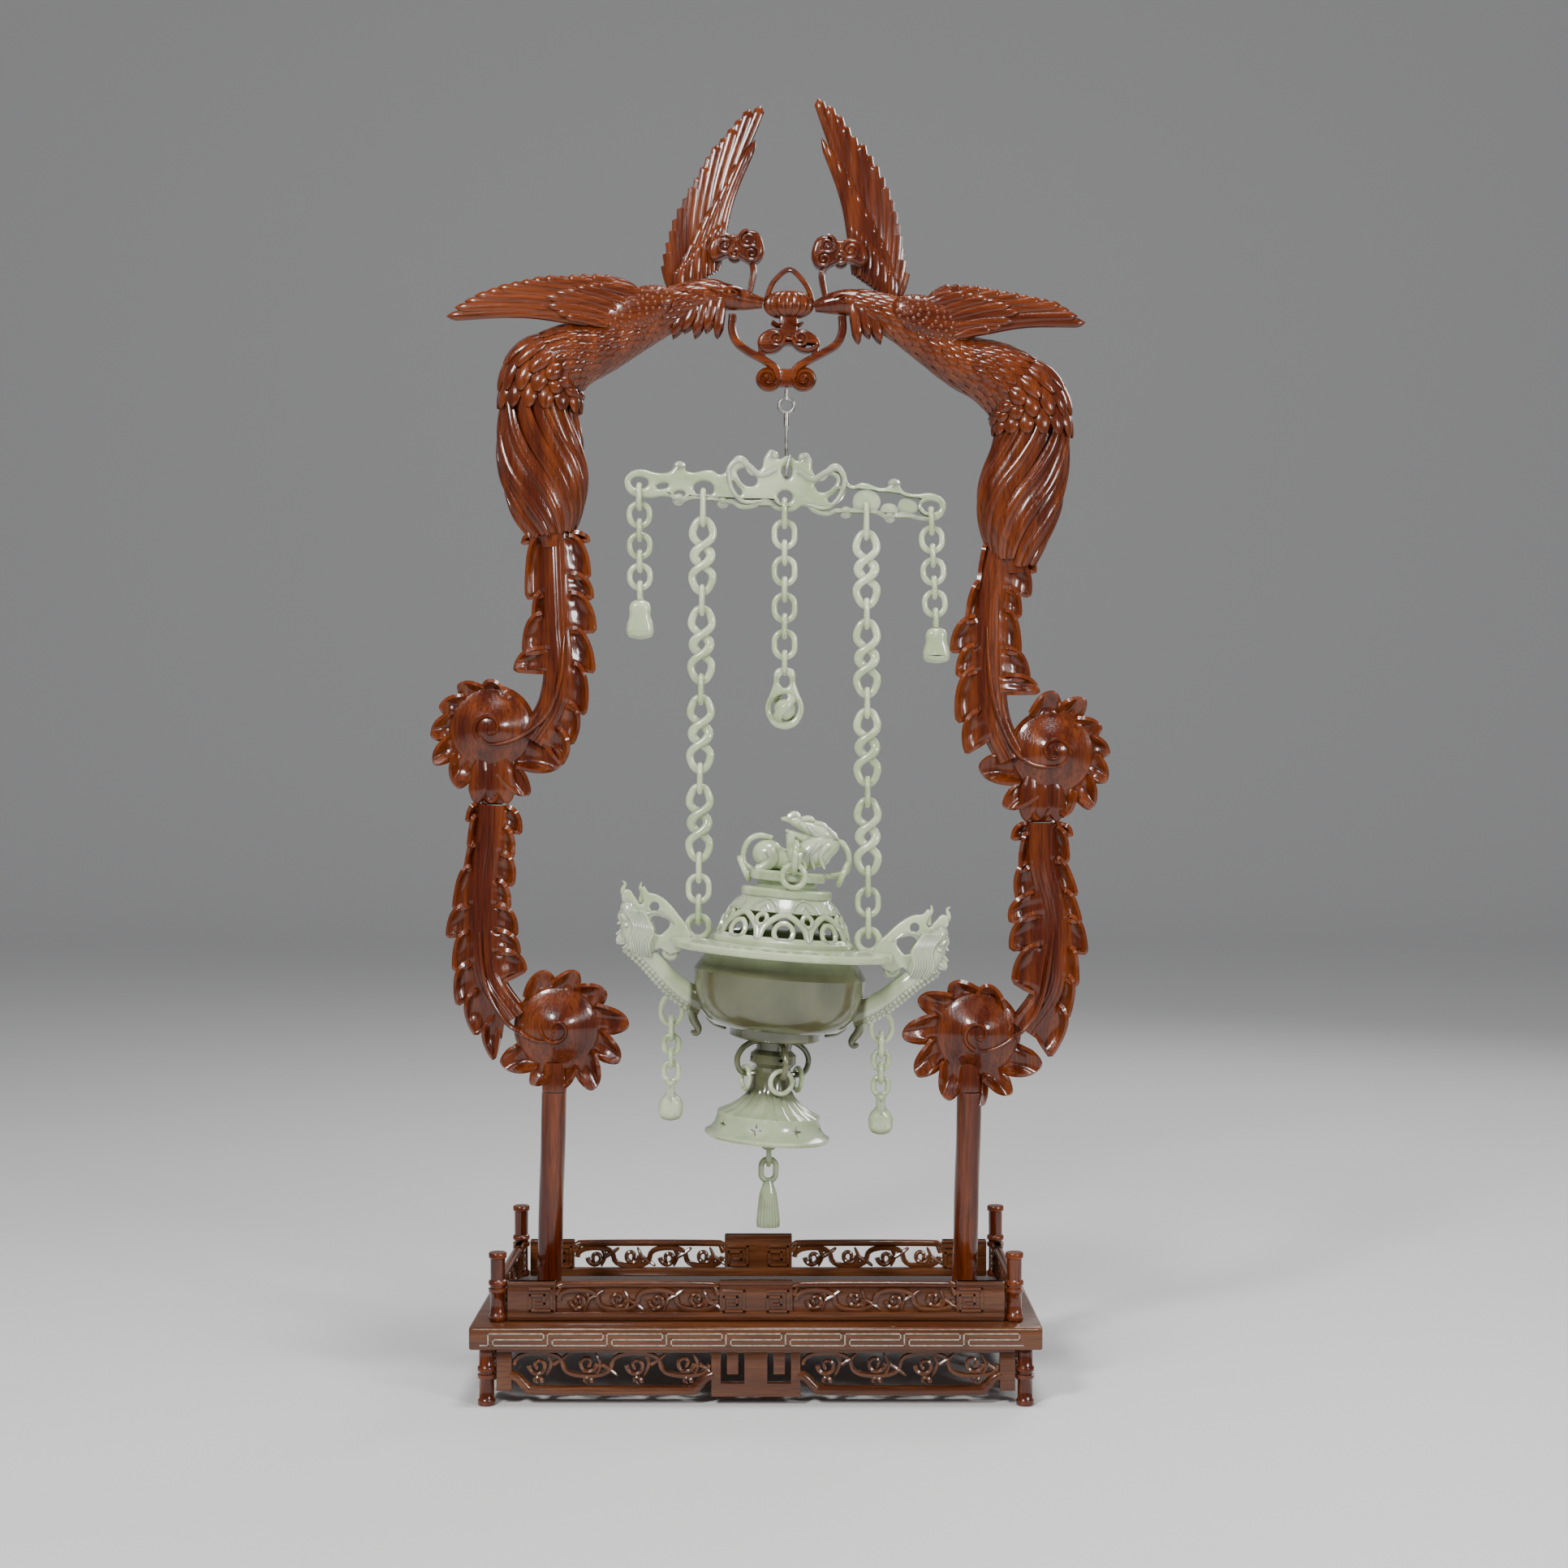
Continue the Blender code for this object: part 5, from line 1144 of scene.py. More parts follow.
# Places on the two birds as (x, z). A body's sections also have half height and half depth.
BIRDS = {
    "left": dict(
        body=[(3, 580.6, 2.9, 2.2), (-7, 582.2, 5.6, 4.2), (-17, 584, 7.5, 6.5),
              (-30, 584, 8.8, 8.0), (-48, 577, 11, 9.5), (-66, 567, 12, 11), (-84, 558, 14.5, 13),
              (-102, 551, 18, 15), (-115, 540, 21.5, 15), (-118, 522, 20.5, 13.5),
              (-118, 503, 22, 12.5), (-115, 484, 21.5, 12.5), (-113, 466, 17.5, 11),
              (-111, 448, 8, 8)],
        roots=[(-22, 600), (-44, 586)],
        upright=[(2, 690), (-2.5, 689), (-7, 685), (-12, 679), (-18, 672), (-23, 666.5),
                 (-29, 655.5), (-34, 647), (-39, 638), (-43.5, 629), (-46, 620), (-48.5, 612),
                 (-50, 603)],
        shorts=[(-1, 671), (-6.5, 664), (-11, 657), (-15, 649), (-20, 640), (-25.5, 631),
                (-31, 621), (-36, 611)],
        small=[(-18, 626), (-23, 623), (-28, 617), (-33, 611), (-38, 605), (-43, 600)],
        level_roots=[(-62, 584), (-80, 566)],
        level=[(-83, 592), (-95, 592.5), (-106, 591.5), (-118, 591.5), (-127, 589.5), (-135, 588),
               (-142, 586), (-149, 583.5), (-155, 581), (-160, 577.5), (-164, 575),
               (-167, 571.5)],
        covers=[(-80, 588), (-92, 587.5), (-104, 585), (-114, 581.5), (-112, 576), (-103, 571)],
        shoulder=(-66, 575), eye=(-15, 585.2), beak=(3, 582.5), collar=(-20, 575),
        crest=(-3.5, 601.5),
    ),
    "right": dict(
        body=[(31, 578.6, 2.9, 2.2), (39, 580.2, 5.6, 4.2), (49, 581, 7.3, 6.5),
              (61, 578, 8.8, 8.0), (78, 571, 11, 9.5), (94, 560, 12, 11), (111, 549, 14, 13),
              (130, 541, 17.5, 15), (145, 528, 20.5, 15), (149, 511, 19.5, 13.5),
              (147, 494, 20.5, 12.5), (142, 474, 21.5, 12.5), (140, 454, 17, 11),
              (140, 434, 8, 8)],
        roots=[(53, 598), (74, 582)],
        upright=[(33, 694), (38, 690.5), (43, 686), (48, 678), (52, 673), (57, 668.5),
                 (61.5, 661), (65.5, 654), (70, 644), (73.5, 633), (76, 622), (78, 610),
                 (80.5, 599)],
        shorts=[(35, 672), (40, 665), (45, 657), (50, 649), (55, 640), (60, 630), (65, 620),
                (69, 610)],
        small=[(51, 625), (56, 621), (61, 615), (66, 608), (70, 602), (74, 596)],
        level_roots=[(92, 580), (106, 560)],
        level=[(104, 587), (114, 587), (124, 585.5), (134, 583.5), (143, 582), (152, 580),
               (162, 578), (169, 574), (176.5, 568)],
        covers=[(106, 583), (118, 582), (129, 579), (140, 575), (138, 569), (126, 564)],
        shoulder=(94, 570), eye=(48, 581.5), beak=(31, 579.5), collar=(53, 572),
        crest=(36.5, 598.5),
    ),
}


def bird_head(sign, eye, beak):
    """Eye, beak edges and brow of one bird, on both sides of its head."""
    pieces = []
    for face in (-1, 1):
        ex, ez = eye
        eyelids = [(ex - 3.6, ez), (ex - 1.2, ez + 1.5), (ex + 2, ez + 1.3), (ex + 4, ez - 0.6),
                   (ex + 1, ez - 1.5), (ex - 2, ez - 1.3)]
        lids = flat_path([*eyelids, eyelids[0]], 24, face * 6.2)[:-1]
        pieces.append(swept(lids, 0.7, 0.9, around=6, closed=True))
        ball = [(0, 1.5), (0.8, 1.3), (1.3, 0.6), (1.5, 0), (1.3, -0.6), (0.8, -1.3), (0, -1.5)]
        pieces.append(turned(ball, 12, standing(ex, face * 6.0, ez)))
        y = face * np.interp(np.linspace(0, 1, 5), [0, 1], [2.0, 4.9])
        line = [(beak[0] - sign * 1, beak[1]), (beak[0] + sign * 5, beak[1] + 1.2),
                (beak[0] + sign * 11, beak[1] + 0.6), (beak[0] + sign * 16, beak[1] - 1.5),
                (beak[0] + sign * 19, beak[1] - 1.2)]
        pieces.append(swept(smooth(at_depth(line, y), 20), 0.75, 0.9, around=6))
        brow = [(ex - sign * 7, ez + 1.6), (ex - sign * 2, ez + 3.0), (ex + sign * 5, ez + 2.2),
                (ex + sign * 14, ez + 3.6)]
        pieces.append(rod(brow, 0.9, 1.2, face * 5.4, 16))
    return pieces


def crest(x, z, sign):
    """The cloud scroll on a bird's head, on its thin stem."""
    shape = [(-21, 2), (-23, 9), (-17, 16), (-8, 15.5), (2, 18), (6.5, 12), (6, 3), (1, 0), (-6, 3),
             (-13, 4)]
    outline = [(x - sign * a, z + b) for a, b in shape]
    pieces = [flat_shape(outline, [], 5.0, 2.5)]
    for a, b, r, hand in ((-14, 9.5, 5.6, 1), (-1.5, 12.5, 5.2, -1), (0.5, 4.8, 4.4, 1),
                          (-8.5, 5.4, 3.6, -1)):
        for face in (-1, 1):
            pieces.append(curl(x - sign * a, z + b, r, math.pi * 0.5, face * 5, 1.1, 1.7,
                               hand * sign, 1.6, 40))
    stem = [(x, z + 3), (x - sign * 1.5, z - 3), (x - sign * 0.5, z - 10), (x + sign * 1, z - 17)]
    pieces.append(rod(stem, 1.9, 2.2, 0, 16, end=0.8))
    return pieces


def feathered_body(body, sign):
    """A bird's body under its scales, with the lock of its tail."""
    pieces = [body_skin(body[:52])]
    # Core of the lock, thinner than its strands.
    core = body[48:].copy()
    core[:, 5:] *= 0.8
    pieces.append(body_skin(core))
    for layer, count, lift, wide in ((0, 15, -0.6, 4.6), (1, 11, 0.6, 2.6)):
        for k in range(count):
            angle = TAU * (k + 0.5 * layer) / count
            start = 0.645 + 0.015 * math.sin(5 * k + layer)
            stop = 0.985 - 0.02 * abs(math.sin(3 * k))
            pieces.append(strand(body, start, stop, angle, -sign * 1.5, wide, 2.3, lift))
    # Three rows of broad feathers over the lock's root, then small scales up to the head.
    for row in range(3):
        for k in range(14):
            angle = TAU * (k + 0.5 * (row % 2)) / 14
            pieces.append(petal(body, 0.612 - 0.038 * row, angle, 0.055, 4.4, 2.3))
    rows = 26
    for row in range(rows):
        share = 0.5 - 0.42 * row / rows
        k_at = int(share * (len(body) - 1))
        girth = TAU * math.sqrt(body[k_at, 5] * body[k_at, 6])
        count = max(8, round(girth / 5.2))
        for k in range(count):
            angle = TAU * (k + 0.5 * (row % 2)) / count
            pieces.append(petal(body, share, angle, 0.034, 2.4, 0.9, 6, 4))
    return pieces


def level_wing(bird, sign):
    """The wing that is held level in front of the body, with its scaly shoulder."""
    bow = sign * 0.05
    pieces = fan(bird["level_roots"], bird["level"], 15, bow, -9.0, -9.6, 2.7, 2.1, 36)
    pieces += fan(bird["level_roots"], bird["covers"], 10, bow * 0.6, -11.6, -11.8, 2.5, 1.7, 16,
                  0.88)
    bulge = [(math.sin(t), -5.2 * math.cos(t)) for t in np.linspace(0, math.pi, 15)]
    lean = -sign * math.radians(22)

    def on_shoulder(px, py, depth):
        """A point of the shoulder from its unit disc."""
        x, z = 23 * px, 11.5 * py
        return (bird["shoulder"][0] + x * math.cos(lean) - z * math.sin(lean), depth - 8.6,
                bird["shoulder"][1] + x * math.sin(lean) + z * math.cos(lean))

    pieces.append(turned(bulge, 40, on_shoulder))
    scale = [(0, -1.1), (1.0, -0.6), (1.4, 0), (0, 0.6)]
    for share in (0.16, 0.34, 0.52, 0.7, 0.86):
        count = round(TAU * share * 4.2)
        depth = -5.0 * math.sqrt(1 - share**2)
        for k in range(count):
            a = TAU * (k + 3 * share) / count
            spot = on_shoulder(share * math.cos(a), share * math.sin(a), depth)
            pieces.append(turned(scale, 6, lying(*spot)))
    return pieces


def phoenix(side):
    """One bird: body, lock, wings, collar, head, crest and upper plume."""
    bird = BIRDS[side]
    sign = -1 if side == "left" else 1
    bow = -sign * 0.05
    pieces = feathered_body(round_body(bird["body"]), sign)
    pieces += fan(bird["roots"], bird["upright"], 17, bow, 8.6, 7.2, 2.9, 2.1, 36, 0.985)
    pieces += fan(bird["roots"], bird["shorts"], 15, bow, 6.4, 5.4, 2.1, 1.8, end=0.9)
    pieces += fan(bird["roots"], bird["small"], 11, bow, 4.4, 3.8, 2.0, 1.5, 14, 0.85)
    level = level_wing(bird, sign)
    for k in range(7):
        x, z = bird["collar"][0] + sign * (k * 4.8), bird["collar"][1]
        tip = (x + sign * (2 + k * 1.2), z - 13 + 3 * (k % 2))
        depth = -5.5 - 0.6 * (k % 2)
        for face in (1, -1):
            pieces.append(blade([(x - sign, z + 9), (x, z), tip], 2.7, 2.0, face * depth, 12))
    pieces += bird_head(sign, bird["eye"], bird["beak"])
    pieces += crest(*bird["crest"], sign)
    pieces += plume(**PLUMES[side + "_upper"])
    x0, z0 = PLUMES[side + "_lower"]["band"][0]
    high = (x0 + 6, 4.0, PLUMES[side + "_upper"]["centre"][1] - 12)
    pieces.append(block((x0 - 6, -1.5, z0 + 0.3), high, 1.2))
    for k in (-1, 1, 0):
        x, z = x0 + 5.5 * k, z0 + 0.5
        line = [(x, z + 26), (x + 1.5 * k, z + 12), (x + 3 * k, z)]
        pieces.append(blade(line, 5.4, 2.6, -1.6 - 0.8 * abs(k), 18, 0.25, tip=0.7))
    for group, skin in ((pieces, "upright_rosewood"), (level, "long_rosewood")):
        for piece in group:
            piece.data.materials.clear()
            piece.data.materials.append(surface(skin))
    return pieces + level


class CENSER_OT_phoenixes(bpy.types.Operator):
    """Carves the two phoenixes with their wings, locks and upper plumes"""

    bl_idname = "censer.phoenixes"
    bl_label = "Phoenixes"

    def execute(self, context):
        for side in ("left", "right"):
            finish("carved_phoenix_" + side, phoenix(side), None, "rosewood", "phoenix_" + side)
        return {"FINISHED"}


class CENSER_OT_centre_ornament(bpy.types.Operator):
    """Carves the handled melon, the cloud scroll and the two arms that hold the hook"""

    bl_idname = "censer.centre_ornament"
    bl_label = "Centre ornament"

    def execute(self, context):
        def ribbed(x, y, z):
            r = 0.9 + 0.12 * np.abs(np.cos(8 * np.arctan2(y, x)))
            return 17 + x * r, y * 0.55 * r, 579.6 + z

        t = np.linspace(0, math.pi, 17)
        melon = [(13.4 * math.sin(a) ** 0.7, -7.6 * math.cos(a)) for a in t]
        pieces = [turned(melon, 96, ribbed)]
        arch = [(5, 580), (6, 586), (9.5, 593), (17.5, 598.8), (25, 592.5), (28.6, 586), (30, 580)]
        pieces.append(swept(flat_path(arch, 40), 1.5, 2.0, around=12, groove=0.35))
        pieces.append(block((12, -3.4, 562), (22, 3.4, 575), 1.5))
        for x0, x1 in ((8, 15), (17.5, 25)):
            pieces.append(rod([(x0, 570), ((x0 + x1) / 2, 568.2), (x1, 570)], 1.5, 5, 0, 10))
        scroll = [(0, 559), (4, 565), (12, 566), (17, 562), (22, 566), (29, 564.5), (34, 558),
                  (30, 554), (23, 554), (17, 558), (10, 553.5), (3, 554)]
        pieces.append(flat_shape(scroll, [], 4.2, 2.2))
        for face in (-1, 1):
            for sign in (-1, 1):
                pieces.append(curl(17 + sign * 6.5, 561, 4.6, math.pi * (0.5 + sign * 0.4),
                                   face * 4.2, 0.9, 1.6, sign, 1.7, 40))
        arms = (
            [(-13.2, 574.5), (-13.6, 566), (-11, 559.5), (-5, 554.5), (4, 549.5), (9.5, 545.5),
             (12, 540)],
            [(46, 573.5), (46, 565), (42.5, 558), (34, 552.8), (26, 548.5), (21, 545), (19.2, 540)],
        )
        for arm in arms:
            pieces.append(swept(flat_path(arm, 60), 2.3, 3.2, around=14, groove=0.4))
        for x, hand in ((5.8, -1), (25.4, 1)):
            start = 0 if hand < 0 else math.pi
            pieces.append(curl(x, 539.4, 6.2, start, 0, 1.6, 3.6, hand, 1.7, 60, 0.6))
            disc = [(0, -1.8), (5, -1.6), (6.6, 0), (5, 1.6), (0, 1.8)]
            pieces.append(turned(disc, 24, lying(x, 0, 539.4)))
        pieces.append(block((11, -2.6, 535), (20.3, 2.6, 545), 1.5))
        for x in (2.5, 31.5):
            pieces.append(block((x - 2, -2.4, 551), (x + 2, 2.4, 560), 1.2))
        finish("carved_centre", pieces, "long_rosewood", "rosewood", "centre_ornament")
        return {"FINISHED"}


# Yoke, hook and chains.

YOKE_TILT = math.radians(4.7)
YOKE_CENTRE = (15.5, 481.0)


def yoke_place(x, z):
    """From the yoke's own level frame to the drawing."""
    c, s = math.cos(YOKE_TILT), math.sin(YOKE_TILT)
    return YOKE_CENTRE[0] + x * c + z * s, YOKE_CENTRE[1] + z * c - x * s


YOKE_TOP_EDGE = [
    (0, 17), (-5.7, 14.6), (-9.1, 19.4), (-12.6, 15.5), (-14.6, 8), (-19.4, 7.4), (-21.6, 12.4),
    (-26.4, 14.9), (-30.8, 11.2), (-35.2, 3.8), (-41, 5.6), (-53.6, 3.8), (-58.6, 8), (-63.4, 3.0),
    (-69, 1.8), (-80.2, 2.9), (-86, -0.4),
]
YOKE_LOWER_EDGE = [
    (-87.3, -5.1), (-83.6, -10.8), (-75, -12.1), (-62, -10.6), (-57.4, -13.8), (-51, -11),
    (-37, -10.6), (-33.2, -13.4), (-30, -11.4), (-23.6, -13.8), (-15.4, -12.4), (-10.4, -9.4),
    (-5.2, -12.6), (0, -13.3),
]
YOKE_SIDE_HOLES = [
    [(-84, -4.2), (-79.2, -1), (-74.4, -4.2), (-79.2, -7.5)],
    [(-49.7, -4.6), (-47.5, -1.2), (-41, -1.0), (-38.8, -4.2), (-40.2, -7.5), (-48, -7.5)],
    [(-29.6, 0.4), (-26, -1.8), (-23.6, -6), (-27.4, -5.4)],
    [(-26.2, 7.4), (-16, 3.4), (-17.5, -1), (-25.2, 1.6)],
    [(-70, -6), (-67, -3.4), (-63.5, -4.4), (-66.5, -6.6)],
    [(-60, -9), (-57, -6.6), (-54, -8.4), (-57, -10.2)],
]
YOKE_CHAIN_HOLES = {"short": (-79.2, -7.4), "long": (-44.3, -7.5), "centre": (0, -9)}


def oval(cx, cz, rx, rz, count=8):
    """Points round an ellipse."""
    turns = [TAU * k / count for k in range(count)]
    return [(cx + rx * math.cos(a), cz + rz * math.sin(a)) for a in turns]


class CENSER_OT_yoke(bpy.types.Operator):
    """Cuts and rounds the jade bar that the chains hang from"""

    bl_idname = "censer.yoke"
    bl_label = "Yoke"

    def execute(self, context):
        left = YOKE_TOP_EDGE + YOKE_LOWER_EDGE
        right = [(-x, z) for x, z in reversed(left[1:-1])]
        outline = [yoke_place(x, z) for x, z in left + right]
        holes = []
        for hole in YOKE_SIDE_HOLES:
            holes.append([yoke_place(x, z) for x, z in hole])
            holes.append([yoke_place(-x, z) for x, z in hole])
        holes.append([yoke_place(x, z) for x, z in oval(0, 7.8, 2.6, 3.9)])
        holes.append([yoke_place(x, z) for x, z in oval(0, -5.4, 4, 3.6)])
        pieces = [flat_shape(outline, holes, 3.0, 2.0, resolution=5)]
        knob = [(0, -3.2), (2.2, -2.6), (3.4, 0), (2.2, 2.6), (0, 3.2)]
        for side in (-1, 1):
            for x, z in ((-8.6, 16), (-58.4, 6), (-57.4, -11.4), (-33.4, -11)):
                cx, cz = yoke_place(-side * x, z)
                pieces.append(turned(knob, 20, lying(cx, 0, cz)))
            scroll = [(-6, 9), (-14, 5), (-21, 9.5), (-27, 12), (-31.5, 6), (-29, -4), (-22, -10),
                      (-12, -9)]
            line = [yoke_place(-side * x, z) for x, z in scroll]
            for face in (-1, 1):
                pieces.append(rod(line, 1.6, 1.2, face * 2.6, 50, around=10))
        finish("cloud_yoke", pieces, "pale_jade", "jade", "yoke")
        return {"FINISHED"}


class CENSER_OT_hook(bpy.types.Operator):
    """Bends the steel wire that carries the yoke"""

    bl_idname = "censer.hook"
    bl_label = "Hook"

    def execute(self, context):
        x, z = yoke_place(0, 4)
        seat = z + CLEAR + HOOK_HALF + CLEAR
        back = 3 + CLEAR + HOOK_HALF + 0.4
        wire = [
            (x, 0, 521), (x, 0, 512), (x, back, 501), (x, back, seat + 2.6),
            (x, back * 0.55, seat + 0.3), (x, -back * 0.55, seat + 0.3), (x, -back, seat + 2.8),
            (x + 2, -back, seat + 11),
        ]
        path = smooth(wire, 60)
        pieces = [swept(path, 1.0, 1.0, facing=(1, 0, 0), around=12)]
        pieces.append(ring((x, 0, 525), (0, 1, 0), 4.0, 1.9))
        pieces.append(swept(flat_path([(x, 534), (x, 531), (x, 528)], 6), 1.1, 1.1, around=12))
        pieces.append(swept(flat_path([(x, 521.5), (x, 518), (x, 514)], 12), 1.5, 1.5, around=12))
        finish("steel_hook", pieces, "dull_steel", "hook_wire", "hook")
        return {"FINISHED"}


def ring(centre, face, radius, wire, sides=40):
    """A round ring. face is the direction its hole looks along."""
    bpy.ops.object.select_all(action="DESELECT")
    bpy.ops.mesh.primitive_torus_add(
        major_radius=radius * MM, minor_radius=wire / 2 * MM, major_segments=sides,
        minor_segments=12,
    )
    obj = bpy.context.object
    turn = Vector(face).to_track_quat("Z", "Y").to_matrix().to_4x4()
    obj.data.transform(Matrix.Translation(settle(centre)) @ turn)
    return obj


# Height and width of each kind of link.
KINDS = {
    "link": (17.5, 12.5), "long": (21.5, 12.5), "oval": (17, 14), "twist": (42.5, 14),
    "small": (14.5, 11),
}


def link_path(half, side):
    """A loop of straight sides and round ends, as across and up."""
    straight = max(half - side, 0)
    a = np.linspace(0, TAU, 36, endpoint=False)
    up = np.sin(a) * min(side, half) + np.sign(np.sin(a)) * straight
    return np.cos(a) * side, up


def twist_path(half, side):
    """A loop whose two strands cross twice, as across, up, depth and how wide each strand is."""
    a = np.linspace(0, TAU, 96, endpoint=False)
    level, hand = np.cos(a), np.sign(np.sin(a))
    far = np.abs(level)
    cross = 0.27
    inside = -0.82 * np.cos(math.pi / 2 * far / cross) ** 0.8
    outside = np.sin(math.pi / 2 * np.clip((far - cross) / 0.3, 0, 1))
    swing = np.where(far < cross, inside, outside)
    fall = np.clip(np.abs(np.sin(a)) / 0.75, 0, 1) ** 0.8
    depth = -1.2 * (hand * np.sin(math.pi * np.clip(level / 0.54, -1, 1)))
    wide = np.interp(far, [0, 0.14, cross, 0.6, 1], [1.75, 1.6, 1.35, 1.45, 1.3])
    return side * swing * fall * hand, half * level, depth, wide


def hung_link(top, bottom, width, kind, turned_on):
    """One chain link between its outer ends, given as (x, z)."""
    (x0, z0), (x1, z1) = top, bottom
    half = math.hypot(x1 - x0, z1 - z0) / 2
    lean = math.atan2(x0 - x1, z0 - z1)
    wire = bpy.context.scene.censer_jade.link_wire / MM / 2
    if kind == "twist":
        across, up, depth, wide = twist_path(half - wire, width / 2 - wire)
        wide, deep = wire * wide, wire * 1.1
    else:
        across, up = link_path(half - wire, width / 2 - wire)
        depth = np.zeros_like(across)
        wide, deep = wire * 1.06, wire
    if turned_on:
        x, y = -depth, across
        facing = (math.cos(lean), 0, -math.sin(lean))
    else:
        x, y = across, depth
        facing = (0, -1, 0)
    spots = np.stack([(x0 + x1) / 2 + x * math.cos(lean) + up * math.sin(lean), y,
                      (z0 + z1) / 2 - x * math.sin(lean) + up * math.cos(lean)], axis=1)
    return swept(spots, wide, deep, facing=facing, around=12, closed=True)


def hang(kinds, top, bottom):
    """Links of a straight chain whose outer ends are at top and bottom."""
    lengths = [KINDS[kind][0] for kind in kinds]
    shared = 2 * LINK_WIRE - LINK_TOUCH
    natural = sum(lengths) - shared * (len(kinds) - 1)
    reach = math.hypot(top[0] - bottom[0], top[1] - bottom[1])
    stretch = (reach + shared * (len(kinds) - 1)) / (natural + shared * (len(kinds) - 1))
    pieces = []
    at = 0.0
    turned_on = True

    def along(distance):
        share = distance / reach
        return (top[0] + (bottom[0] - top[0]) * share, top[1] + (bottom[1] - top[1]) * share)

    for kind, size in zip(kinds, lengths):
        end = at + size * stretch
        pieces.append(hung_link(along(at), along(end), KINDS[kind][1], kind, turned_on))
        turned_on = not turned_on
        at = end - shared
    return pieces


def drop(x, top, bottom, width, bulb=False):
    """A smooth pendant on the last link: a bottle, or a bulb on a neck."""
    h = top - bottom
    w = width / 2
    outline = [(0.5, 1.0), (0.78, 0.86), (0.8, 0.6), (1.0, 0.3), (0.94, 0.08), (0.55, 0.0)]
    if bulb:
        outline = [(0.34, 1.0), (0.4, 0.84), (0.42, 0.68), (0.82, 0.52), (1.0, 0.3), (0.84, 0.08),
                   (0.4, 0.0)]
    right = [(x + w * a, bottom + h * b) for a, b in outline]
    left = [(x - w * a, bottom + h * b) for a, b in reversed(outline)]
    return flat_shape(right + left, [], 5.8, 4.2 if bulb else 3.6, resolution=6)


HANDLE_RING = (-32.0, 242.5)
LOWER_RING = (-46.5, 197.5)
CENSER_TILT = math.radians(4.6)
RIM_CENTRE = (13.6, 233.0)


def tilted_mirror(x, z):
    """The point on the censer's other side."""
    c, s = math.cos(2 * CENSER_TILT), math.sin(2 * CENSER_TILT)
    dx, dz = x - RIM_CENTRE[0], z - RIM_CENTRE[1]
    return RIM_CENTRE[0] - dx * c + dz * s, RIM_CENTRE[1] + dx * s + dz * c


def hung(x, y, z):
    """From the censer's own upright frame to the drawing, in millimetres."""
    c, s = math.cos(CENSER_TILT), math.sin(CENSER_TILT)
    return RIM_CENTRE[0] + x * c + z * s, y, RIM_CENTRE[1] - x * s + z * c


def yoke_hole_top(name, right=False):
    """Top of the first link in a hole of the yoke."""
    x, z = YOKE_CHAIN_HOLES[name]
    x, z = yoke_place(-x if right else x, z)
    return x, z + CLEAR + LINK_WIRE + SLACK


class CENSER_OT_chains(bpy.types.Operator):
    """Carves the jade chains, their pendants and the caged ball"""

    bl_idname = "censer.chains"
    bl_label = "Chains"

    def execute(self, context):
        for side in ("left", "right"):
            right = side == "right"
            spot = tilted_mirror(*HANDLE_RING) if right else HANDLE_RING
            bottom = (spot[0], spot[1] + 4.2 - CLEAR - LINK_WIRE - SLACK)
            kinds = ["long"] + ["twist", "link"] * 4 + ["oval", "link"]
            pieces = hang(kinds, yoke_hole_top("long", right), bottom)
            finish("jade_long_chain_" + side, pieces, "pale_jade", "jade", "long_chain_" + side)
            end, low, cap = (97, 386, 404) if right else (-63.5, 399, 419)
            kinds = ["link", "oval", "small", "oval", "small", "oval", "small"]
            pieces = hang(kinds, yoke_hole_top("short", right), (end, cap - 1.5))
            pieces.append(drop(end, cap, low, 14.5))
            finish("jade_short_chain_" + side, pieces, "pale_jade", "jade", "short_chain_" + side)
            spot = tilted_mirror(*LOWER_RING) if right else LOWER_RING
            end = spot[0] - 0.4
            cap = 151.5 if right else 159
            top = (spot[0], spot[1] - 5.3 + CLEAR + LINK_WIRE)
            pieces = hang(["link", "small", "small", "small"], top, (end, cap - 1.5))
            pieces.append(drop(end, cap, cap - 21, 13.5, True))
            finish("jade_lower_chain_" + side, pieces, "pale_jade", "jade", "lower_chain_" + side)
        x, high, low = 14.8, 383.0, 350.5
        kinds = ["link", "oval", "small", "oval", "small", "oval", "small", "oval", "small"]
        pieces = hang(kinds, yoke_hole_top("centre"), (x, high - 1.5 - LINK_WIRE))
        half = [(0.22, 1), (0.5, 0.88), (0.57, 0.5), (0.78, 0.1), (1, -0.32), (0.85, -0.72),
                (0.4, -1)]
        shackle = half + [(-a, b) for a, b in reversed(half)]
        middle = (high + low) / 2
        rise = (high - low) / 2
        outline = [(x + 10.4 * a, middle + rise * b) for a, b in shackle]
        slot = oval(x, low + 25.2, 2.9, 3.6)
        heart = (x, low + 10.6)
        holes = [slot, oval(*heart, 7.3, 7.3, 14)]
        pieces.append(flat_shape(outline, holes, 3.5, 1.9, resolution=6))
        t = np.linspace(0, 1, 24)
        for face in (-1, 1):
            rise_angle = np.radians(58 - 116 * t)
            turn = face * math.pi / 2 + rise_angle
            out = np.stack([np.cos(turn) * np.cos(rise_angle), np.sin(turn) * np.cos(rise_angle),
                            np.sin(rise_angle)], axis=1)
            spots = np.array([heart[0], 0, heart[1]]) + 7.9 * out
            pieces.append(swept(spots, 2.1 + 0.9 * (2 * t - 1) ** 2, 1.0, facing=out, around=10))
        finish("jade_centre_chain", pieces, "pale_jade", "jade", "centre_chain")
        ball = [(6 * math.sin(a), 6 * math.cos(a)) for a in np.linspace(0, math.pi, 15)]
        whole = turned(ball, 28, standing(x, 0, low + 9.8))
        finish("jade_ball", [whole], "pale_jade", "jade", "caged_ball")
        return {"FINISHED"}


